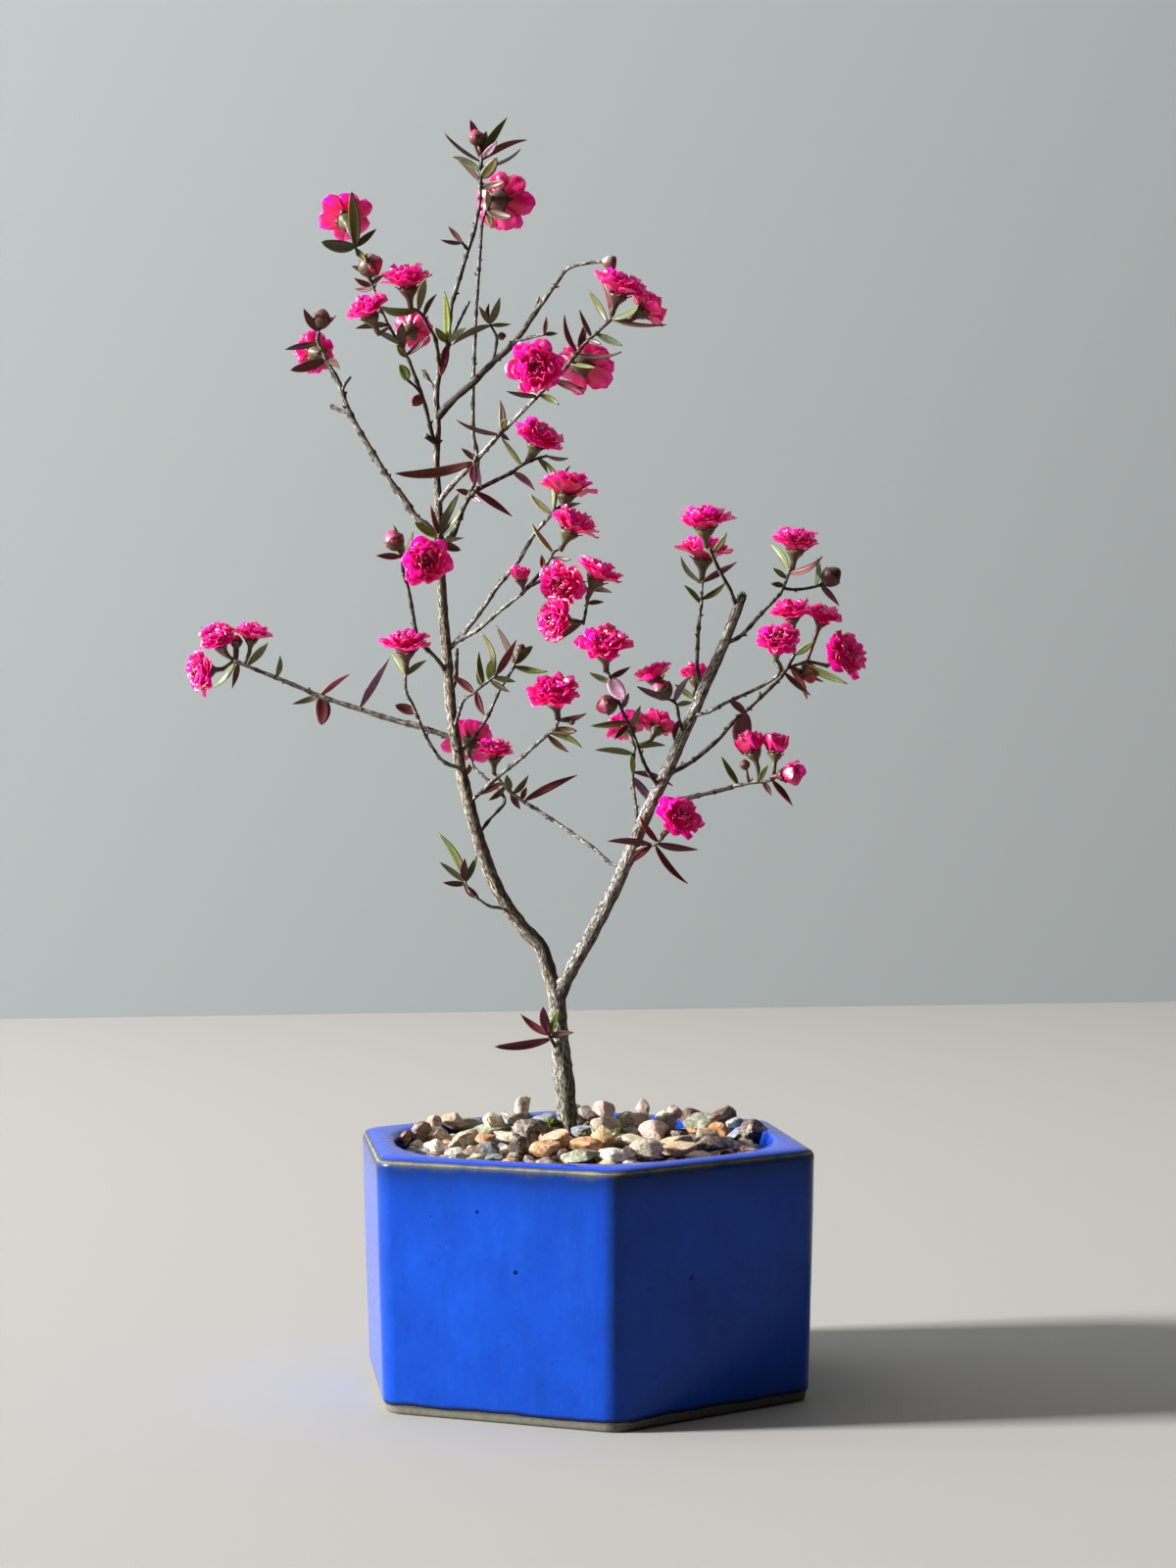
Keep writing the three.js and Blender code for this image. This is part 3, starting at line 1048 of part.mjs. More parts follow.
function budSolid([across, up, size], names) {
  const middle = seen(across, up, nearestSeen(names, across, up)[2]);
  const root = nearestStem(middle, names);
  const heading = middle.clone().sub(root).normalize();
  const points = BUD_PROFILE.map(([along]) => middle.clone().addScaledVector(heading, along * size));
  const radii = BUD_PROFILE.map(([, radius]) => radius * size);
  if (root.distanceTo(middle) > size / 2 + GAP) {
    points.unshift(root);
    radii.unshift(STALK_RADIUS);
  }
  return toSolid(tube(points, radii, TWIG_SIDES));
}

// A double flower is turned on its axis: the profile runs from its foot over three whorls of petals to
// its heart, and each whorl's edge is cut into petals.
// Rows are radius, height and whorl, as shares of the diameter.
const PETALS = 5;
const FLOWER_PROFILE = [
  [0, -0.22, 'foot'],
  [0.5, -0.05, 'outer'],
  [0.16, -0.08, 'throat'],
  [0.37, 0.06, 'middle'],
  [0.21, 0.2, 'inner'],
  [0, 0.02, 'heart'],
];
// For each of the three points that draw a petal: how far out it lies, and its turn within the petal.
const WHORL_EDGE = {
  outer: { reach: [0.52, 1, 1], turn: [0, 0.21, 0.79] },
  middle: { reach: [1, 0.66, 0.66], turn: [0, 0.37, 0.63] },
  inner: { reach: [0.6, 1, 1], turn: [0, 0.25, 0.75] },
  throat: { reach: [1, 1, 1], turn: [0, 0.33, 0.67] },
};
// A half-open flower stands up from its cup.
const HALF_OPEN_SIZE = 9;
const HALF_OPEN_RISE = 0.3;

function flowerSolid(flower) {
  const { size, axis, centre } = flower;
  const outline = FLOWER_PROFILE.map(([radius, z]) => new THREE.Vector2(radius, z));
  const lathe = new THREE.LatheGeometry(outline, 3 * PETALS);
  const rise = size < HALF_OPEN_SIZE ? HALF_OPEN_RISE : 0;
  const turned = reshape(lathe, (vertex, i) => {
    const [radius, height, whorl] = FLOWER_PROFILE[i % FLOWER_PROFILE.length];
    if (radius === 0) return new THREE.Vector3(0, height, 0);
    const step = Math.floor(i / FLOWER_PROFILE.length);
    const { reach, turn } = WHORL_EDGE[whorl];
    const angle = (Math.floor(step / 3) + turn[step % 3]) * Math.PI * 2 / PETALS;
    const out = radius * reach[step % 3];
    return new THREE.Vector3(out * Math.sin(angle), height + rise * out, out * Math.cos(angle));
  });
  const facingTurn = new THREE.Quaternion().setFromUnitVectors(new THREE.Vector3(0, 1, 0), axis);
  const matrix = new THREE.Matrix4().compose(centre, facingTurn, new THREE.Vector3(size, size, size));
  return toSolid(turned.applyMatrix4(matrix));
}

// Leaves.

const LEAF_THICKNESS = 0.75;
const LEAF_SETBACK = 0.2;
const LONG_LEAF = 11;
// Rows are a place along the leaf and the share of its width there.
const SHORT_LEAF_RINGS = [[0.5, 1]];
const LONG_LEAF_RINGS = [[0.25, 0.8], [0.66, 0.95]];

function leafAxis(base, tip) {
  const along = tip.clone().sub(base).normalize();
  const sight = new THREE.Vector3(0, 1, 0);
  const side = sight.addScaledVector(along, -sight.dot(along)).normalize().cross(along);
  return { along, side, back: along.clone().cross(side) };
}

function leafSolid({ base, tip, width }) {
  const { along, side, back } = leafAxis(base, tip);
  const length = tip.distanceTo(base);
  const rings = length > LONG_LEAF ? LONG_LEAF_RINGS : SHORT_LEAF_RINGS;
  const root = base.clone().addScaledVector(along, -LEAF_SETBACK);
  const lens = new THREE.SphereGeometry(1, 3, rings.length + 1);
  return toSolid(reshape(lens, (vertex) => {
    const ring = Math.round(Math.acos(THREE.MathUtils.clamp(vertex.y, -1, 1)) / Math.PI * (rings.length + 1));
    if (ring === 0) return tip.clone();
    if (ring > rings.length) return root.clone();
    const [share, full] = rings[rings.length - ring];
    const radius = Math.hypot(vertex.x, vertex.z);
    return base.clone().lerp(tip, share)
      .addScaledVector(side, (vertex.z / radius / Math.sin(Math.PI / 3)) * full * width / 2)
      .addScaledVector(back, (vertex.x / radius) * LEAF_THICKNESS / 1.5);
  }));
}

// Distance between two centre lines given as points.
function apart(a0, a1, b0, b1) {
  const steps = 8;
  const segment = new THREE.Line3(b0, b1);
  const here = new THREE.Vector3();
  const there = new THREE.Vector3();
  let best = Infinity;
  for (let i = 0; i <= steps; i += 1) {
    here.lerpVectors(a0, a1, i / steps);
    segment.closestPointToPoint(here, true, there);
    best = Math.min(best, here.distanceTo(there));
  }
  return best;
}

const LEAF_SPREAD = 0.8;
const FREE_FROM = 0.22;
const LEAF_ROOM = 0.4;
const LEAF_GIRTH = 0.4;
const FLOWER_RISE = 0.27;
// How far the tip is moved in depth, in turn, until the leaf is clear.
const SWINGS = [0, 2, -2, 4, -4, 6, -6, 8, -8, 11, -11, 14, -14];

// How clear a leaf is of flowers, stems and leaves of other shoots. Below zero it touches.
function clearance(leaf, owner) {
  const { base, tip, width } = leaf;
  const from = base.clone().lerp(tip, FREE_FROM);
  const girth = width * LEAF_GIRTH + LEAF_ROOM;
  let room = Infinity;
  for (const flower of flowers) {
    for (let i = 0; i <= 6; i += 1) {
      const offset = from.clone().lerp(tip, i / 6).sub(flower.centre);
      const axial = offset.dot(flower.axis);
      const radial = Math.sqrt(Math.max(offset.lengthSq() - axial * axial, 0));
      const outside = Math.max(radial - flower.size / 2, Math.abs(axial) - flower.size * FLOWER_RISE);
      room = Math.min(room, outside - girth);
    }
  }
  for (const line of lines.values()) {
    if (line.owner === owner) continue;
    for (let i = 0; i + 1 < line.points.length; i += 1) {
      const gap = apart(from, tip, line.points[i], line.points[i + 1]);
      room = Math.min(room, gap - line.radii[i] - girth);
    }
  }
  for (const other of placed) {
    if (other.owner === owner) continue;
    room = Math.min(room, apart(from, tip, other.base, other.tip) - other.width * LEAF_GIRTH - girth);
  }
  for (const cup of flowers) {
    if (cup.owner === owner) continue;
    room = Math.min(room, apart(from, tip, cup.foot, cup.rim) - cup.size * CUP_RADIUS - girth);
  }
  return room;
}

// A leaf swings toward or away from the viewer until it is clear of everything that isn't its own shoot.
function placeLeaf(row, owner, stemNames) {
  const [baseAcross, baseUp, tipAcross, tipUp, width, lean] = row;
  const root = nearestSeen(stemNames, baseAcross, baseUp);
  const base = seen(...root);
  const reach = Math.hypot(tipAcross - root[0], tipUp - root[1]);
  const swing = (drawLeaf() - 0.5) * LEAF_SPREAD * reach;
  const first = lean ?? swing;
  const sense = first < 0 ? -1 : 1;
  let best = { room: -Infinity };
  for (const extra of SWINGS) {
    const tip = seen(tipAcross, tipUp, root[2] + first + sense * extra);
    const leaf = { base, tip, width, owner };
    const room = clearance(leaf, owner);
    if (room > best.room) best = { room, leaf };
    if (room > 0) break;
  }
  placed.push(best.leaf);
  return best.leaf;
}

// The whole tree.

for (const [name, stem] of Object.entries({ ...WOOD, ...STUBS })) layStem(name, 'wood', stem);

const shoots = Object.entries(SHOOTS).map(([name, shoot]) => {
  const owner = shoot.fused ? 'wood' : name;
  const stemNames = shoot.stems.map((stem, i) => {
    const stemName = i === 0 ? name : `${name}_${i}`;
    layStem(stemName, owner, stem);
    return stemName;
  });
  return { name, owner, stemNames, ...shoot };
});

const flowers = shoots.flatMap(({ owner, stemNames, flowers: own = {} }) => Object.entries(own)
  .map(([name, flower]) => ({ name, owner, stemNames, ...seatFlower(flower, stemNames) })));

const drawLeaf = randomFrom(LEAF_SEED);
const placed = [];

function shootSolid({ owner, stemNames, stems, leaves = [], buds = [] }) {
  const pieces = stemNames.map((name, i) => {
    const line = lines.get(name);
    if (owner === 'wood' || i > 0) return toSolid(tube(line.points, line.radii, TWIG_SIDES));
    const parent = lines.get(stems[0].from);
    const continues = line.points[0].distanceTo(parent.points.at(-1)) < 0.5;
    return toSolid(tube(clearStart(line, parent, continues), line.radii, TWIG_SIDES));
  });
  for (const row of leaves) pieces.push(leafSolid(placeLeaf(row, owner, stemNames)));
  for (const bud of buds) pieces.push(budSolid(bud, stemNames));
  for (const flower of flowers) {
    if (flower.stemNames === stemNames) pieces.push(cupSolid(flower, stemNames));
  }
  return join(pieces);
}

const woodPieces = Object.entries({ ...WOOD, ...STUBS }).map(([name, { sides = TWIG_SIDES }]) => {
  const line = lines.get(name);
  return toSolid(tube(line.points, line.radii, sides));
});

const trunkLine = lines.get('trunk');
const holeRadii = trunkLine.radii.map((radius) => radius + GAP);
const holePoints = trunkLine.points.slice(0, 3).map((point) => point.clone());
holePoints[0].z -= GAP;
const viewToPart = new THREE.Matrix4().makeRotationZ(VIEW_TURN);
const trunkHole = toSolid(tube(holePoints, holeRadii.slice(0, 3), 8)).transform(viewToPart.elements);

// Nodes.

const MATERIALS = {
  glaze: { color: 0x1f49c8, roughness: 0.22, metalness: 0 },
  screen: { color: 0x2b2b2b, roughness: 0.7, metalness: 0 },
  soil: { color: 0x3a2c20, roughness: 1, metalness: 0 },
  stone: { color: 0xb49a7c, roughness: 0.7, metalness: 0 },
  bark: { color: 0x6f6152, roughness: 0.85, metalness: 0 },
  leaf: { color: 0x46502c, roughness: 0.45, metalness: 0 },
  petal: { color: 0xe0187a, roughness: 0.55, metalness: 0 },
};

function node(name, solid, material) {
  const mesh = new THREE.Mesh(toGeometry(solid), new THREE.MeshStandardMaterial(MATERIALS[material]));
  mesh.name = name;
  return mesh;
}

const tree = new THREE.Group();
tree.rotation.z = VIEW_TURN;
const fusedPieces = [];
for (const shoot of shoots) {
  const solid = shootSolid(shoot);
  if (shoot.owner === 'wood') fusedPieces.push(solid);
  else tree.add(node(`shoot_${shoot.name}`, solid, 'leaf'));
}
tree.add(node('trunk_and_branches', join([...woodPieces, ...fusedPieces]), 'bark'));

const bunched = new Set(Object.values(BUNCHES).flat());
for (const flower of flowers) {
  if (!bunched.has(flower.name)) tree.add(node(`bloom_${flower.name}`, flowerSolid(flower), 'petal'));
}
for (const [name, members] of Object.entries(BUNCHES)) {
  const solids = flowers.filter((flower) => members.includes(flower.name)).map(flowerSolid);
  tree.add(node(name, join(solids), 'petal'));
}

const bonsai = new THREE.Group();
bonsai.add(node('pot', potSolid(), 'glaze'));
bonsai.add(node('drain_screen', screenSolid(), 'screen'));
bonsai.add(node('soil', soilSolid(trunkHole), 'soil'));
bonsai.add(node('gravel', gravelSolid(trunkHole), 'stone'));
bonsai.add(tree);

export default bonsai;
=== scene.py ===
import json
import math
from collections import namedtuple
from itertools import accumulate

import bmesh
import bpy
import numpy as np
from mathutils import Matrix, Vector, noise

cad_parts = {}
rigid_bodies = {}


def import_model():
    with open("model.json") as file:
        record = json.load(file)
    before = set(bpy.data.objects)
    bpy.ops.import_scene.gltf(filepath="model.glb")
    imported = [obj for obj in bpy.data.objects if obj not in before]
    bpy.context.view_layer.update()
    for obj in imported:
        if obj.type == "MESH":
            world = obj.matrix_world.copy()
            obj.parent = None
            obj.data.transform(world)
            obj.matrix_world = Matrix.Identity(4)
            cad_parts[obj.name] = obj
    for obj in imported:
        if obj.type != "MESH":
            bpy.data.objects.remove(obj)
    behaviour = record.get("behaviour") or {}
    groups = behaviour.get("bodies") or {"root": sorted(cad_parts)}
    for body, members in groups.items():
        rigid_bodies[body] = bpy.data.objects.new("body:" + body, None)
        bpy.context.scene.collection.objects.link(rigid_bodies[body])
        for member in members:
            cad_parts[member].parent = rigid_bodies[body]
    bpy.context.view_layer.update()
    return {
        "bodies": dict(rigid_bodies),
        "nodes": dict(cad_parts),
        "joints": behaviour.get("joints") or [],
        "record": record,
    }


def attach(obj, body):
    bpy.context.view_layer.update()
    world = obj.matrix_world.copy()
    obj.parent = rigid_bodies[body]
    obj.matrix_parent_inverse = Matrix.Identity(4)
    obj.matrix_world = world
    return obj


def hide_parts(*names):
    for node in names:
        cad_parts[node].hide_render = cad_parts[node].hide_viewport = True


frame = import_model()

# A burgundy queen tea tree grown as a bonsai in a blue hexagonal pot.
# Shapes are drawn in millimetres and then placed in metres in the part's frame.

MM = 0.001
# The gap that is left between solids that touch.
GAP = 0.35

# Distance of the mouth's corners from the pot's axis, the floor's thickness and the two drain holes.
MOUTH_CORNER = 66.4
POT_FLOOR = 8
DRAIN_RADIUS = 7
DRAIN_OFFSET = 24

# The tree was measured from one viewpoint. Its points are given as across, up and depth:
# across and up are read on the upright plane through the pot's axis that faces the viewer,
# and depth carries the point away from the viewer along the line of sight.
VIEW_TURN = math.radians(-7.4)
VIEW_DISTANCE = 950
VIEW_HEIGHT = 182
POT_PLACE = Matrix.Scale(MM, 4)
TREE_PLACE = Matrix.Rotation(VIEW_TURN, 4, "Z") @ POT_PLACE

# Seeds of the random draws.
LEAF_SEED = 11
WOOD_SEED = 21
SHOOT_SEED = 31
FLOWER_SEED = 41
STONE_SEED = 51


def seen(across, up, depth):
    """The place, before the tree is turned, that the viewer sees at across and up."""
    scale = 1 + depth / VIEW_DISTANCE
    return Vector((across * scale, depth, VIEW_HEIGHT + (up - VIEW_HEIGHT) * scale))


def random_from(seed):
    """A function that draws numbers from 0 to 1, always the same ones for a seed."""
    state = seed

    def draw():
        nonlocal state
        state = (state + 0x6D2B79F5) & 0xFFFFFFFF
        mixed = (state ^ (state >> 15)) * (1 | state) & 0xFFFFFFFF
        mixed = (mixed + ((mixed ^ (mixed >> 7)) * (61 | mixed) & 0xFFFFFFFF)) & 0xFFFFFFFF ^ mixed
        return ((mixed ^ (mixed >> 14)) & 0xFFFFFFFF) / 4294967296

    return draw


def drawn_vector(draw, size):
    return Vector((draw() * size, draw() * size, draw() * size))


def lerp(a, b, share):
    return a + (b - a) * share


def smooth(value):
    value = min(max(value, 0), 1)
    return value * value * (3 - 2 * value)


# Each stem: its parent, its depth at the end, its radius at both ends, then its course as across, up,
# across, up and so on.
WOOD = {
    "trunk": (None, 0, 3.4, 2.7, -4.8, 46, -4.8, 84, -6.2, 98, -7.2, 110, -8, 122),
    "left_low": ("trunk", 9, 2.3, 1.4, -7.8, 118, -9.8, 126, -12.8, 135, -17.5, 140, -24.6, 150, -30.8, 165,
        -34.9, 180, -38.2, 195, -40.2, 210, -41.3, 225, -42.5, 240, -43.2, 252),
    "left_high": ("left_low", 5, 1.4, 0.85, -43.2, 251, -43.6, 270, -44.3, 283, -43.8, 296, -44.2, 305,
        -43.2, 313),
    "right_limb": ("trunk", -20, 2.3, 1.5, -7.8, 118, -4.8, 125, -2, 130, 3.6, 140, 8.9, 150, 13.6, 160,
        19.7, 175, 24.6, 185, 31.5, 200, 38.2, 215, 44.8, 230, 49.8, 243),
    "arch": ("left_high", -24, 1.25, 0.5, -43.8, 298, -41, 301.5, -37, 305.5, -33, 308.8, -28, 314,
        -20, 321.5, -14, 330, -8, 338.5, -3.5, 344.3, 3, 346, 7, 346.3),
    "up_left": ("left_high", 26, 1.15, 0.8, -43.4, 260, -47, 264.5, -50.5, 267, -54.5, 273, -59, 279,
        -63, 285.5, -67.5, 293, -71.5, 300.5, -74, 308, -77, 313.5),
    "leader": ("left_high", 15, 0.8, 0.6, -43.3, 311, -42, 315.5, -40.5, 320.5, -40.2, 326, -39.5, 332.5,
        -37.8, 338, -36, 344, -34.3, 349.5, -32, 357, -30.5, 365),
    "crook": ("left_high", -6, 0.7, 0.55, -43.2, 312.5, -43.9, 319, -44.6, 323, -46.5, 326),
    "left_twig": ("left_high", -6, 0.8, 0.55, -44.2, 288, -46, 294.5, -47.3, 300, -48.7, 305, -51, 311.5,
        -52.7, 316),
    "lower_rise": ("left_high", -20, 0.95, 0.6, -43.8, 272, -41, 275.5, -38, 279, -34.5, 282.5, -29, 288.5,
        -23.5, 294.5, -18.5, 299.5, -13.5, 304.5),
    "middle_rise": ("left_high", 19, 1, 0.65, -43.4, 257, -39.5, 261.5, -37, 268, -34.5, 273, -32, 275.5,
        -25, 279, -21.5, 280.7),
    "long_rise": ("middle_rise", 30, 0.7, 0.5, -34.5, 273, -32.5, 278.5, -31.5, 285, -32.8, 292, -33, 302,
        -32.7, 312, -32.2, 324, -31.5, 336, -30.5, 350, -29.9, 357.5, -28.6, 361.5),
    "bloom_stalk": ("left_low", -12, 0.7, 0.55, -41.2, 219, -45.5, 225, -50, 229.5, -51.6, 237, -53, 245,
        -54.7, 251),
    "right_reach": ("left_low", 6, 0.8, 0.55, -41.6, 226, -37, 230.5, -30, 239.5, -25.5, 246, -19, 254,
        -14.5, 261.5, -9, 268),
    "right_reach_low": ("right_reach", -6, 0.75, 0.6, -38.5, 229, -32, 232.6, -25, 238.5, -18, 244),
    "inner_short": ("left_low", -4, 0.6, 0.5, -39.3, 202, -36.5, 210.5, -33.5, 213),
    "inner_long": ("left_low", 16, 0.6, 0.45, -38.4, 194, -33.5, 199, -29, 205.5, -25, 214, -20.5, 221),
    "low_cross": ("left_low", -14, 0.65, 0.55, -34.7, 179, -28, 185.5, -20, 192, -11, 200),
    "from_right": ("right_limb", 9, 0.65, 0.55, 13, 159, 9, 160.5, 4, 165, -6, 172, -13, 176.6, -17, 179),
    "hooked": ("left_low", 19, 0.55, 0.5, -32.3, 169, -28, 174.5, -23.7, 179.5, -26, 183.5, -33, 190,
        -34, 193),
    "long_left": ("left_low", 15, 0.95, 0.8, -39, 199, -50, 202.8, -60, 205.5, -67, 207.8),
    "beside_left": ("left_low", -9, 0.65, 0.55, -37.4, 190, -43, 192.5, -48.5, 201, -50.2, 205.5),
    "gnarl": ("left_low", 4, 0.9, 0.5, -40.6, 214, -38.8, 217.5, -38.2, 227),
    "before_right": ("right_limb", -22, 0.65, 0.55, 24, 184, 20, 190.5, 17.5, 197),
    "behind_right": ("right_limb", 3, 0.55, 0.5, 17.8, 170, 16.5, 181, 15.8, 186),
    "upright": ("right_limb", -6, 0.65, 0.5, 37.8, 214, 36, 220, 36.3, 232, 37.4, 242),
    "end_twig": ("right_limb", -29, 0.6, 0.5, 47.8, 239, 46.5, 244.5, 43, 251, 40.2, 257),
    "end_fork": ("right_limb", -10, 0.7, 0.55, 44.2, 228.5, 49.5, 231, 57, 239, 61.5, 243.5),
    "right_front": ("right_limb", -24, 0.65, 0.55, 34.3, 206, 40, 207.8, 44, 210),
    "right_long": ("right_limb", 0, 0.85, 0.65, 26, 187.5, 34, 192, 42, 198.5, 48, 205.5),
    "right_low": ("right_limb", -20, 0.75, 0.6, 22.3, 180, 30, 180.3, 42, 183, 47, 184.4),
    "behind_stalk": ("right_limb", -6, 0.5, 0.45, 33.8, 205, 34.5, 209.5, 35, 212),
}

# Old twig ends, in the same way.
STUBS = {
    "stub_up_left": ("up_left", 22, 0.5, 0.55, -73.3, 306, -72.2, 308.5, -70.7, 310.5),
    "stub_pink": ("up_left", 26, 0.5, 0.7, -71, 299.5, -74, 300.2, -76.8, 301.5),
    "stub_arch": ("arch", -18, 0.55, 0.45, -20, 321.5, -15, 323, -10.8, 324),
    "stub_arch_mid": ("arch", -10, 0.5, 0.4, -13.6, 330.5, -12.5, 335.3),
    "dry_twig": ("leader", 2, 0.5, 0.4, -40.4, 321, -37.6, 326.5, -35.6, 330.5, -34, 334),
    "knot_left": ("left_high", 2, 0.8, 0.9, -44.2, 290, -46.2, 291.6, -47.6, 292.6),
    "dry_bud": ("left_high", 9, 0.5, 0.9, -44.1, 306.5, -46.3, 309, -48.2, 312.4),
    "seed_cup": ("arch", -24, 0.6, 2.5, 6.6, 346.2, 8, 346.3, 11.8, 347),
}

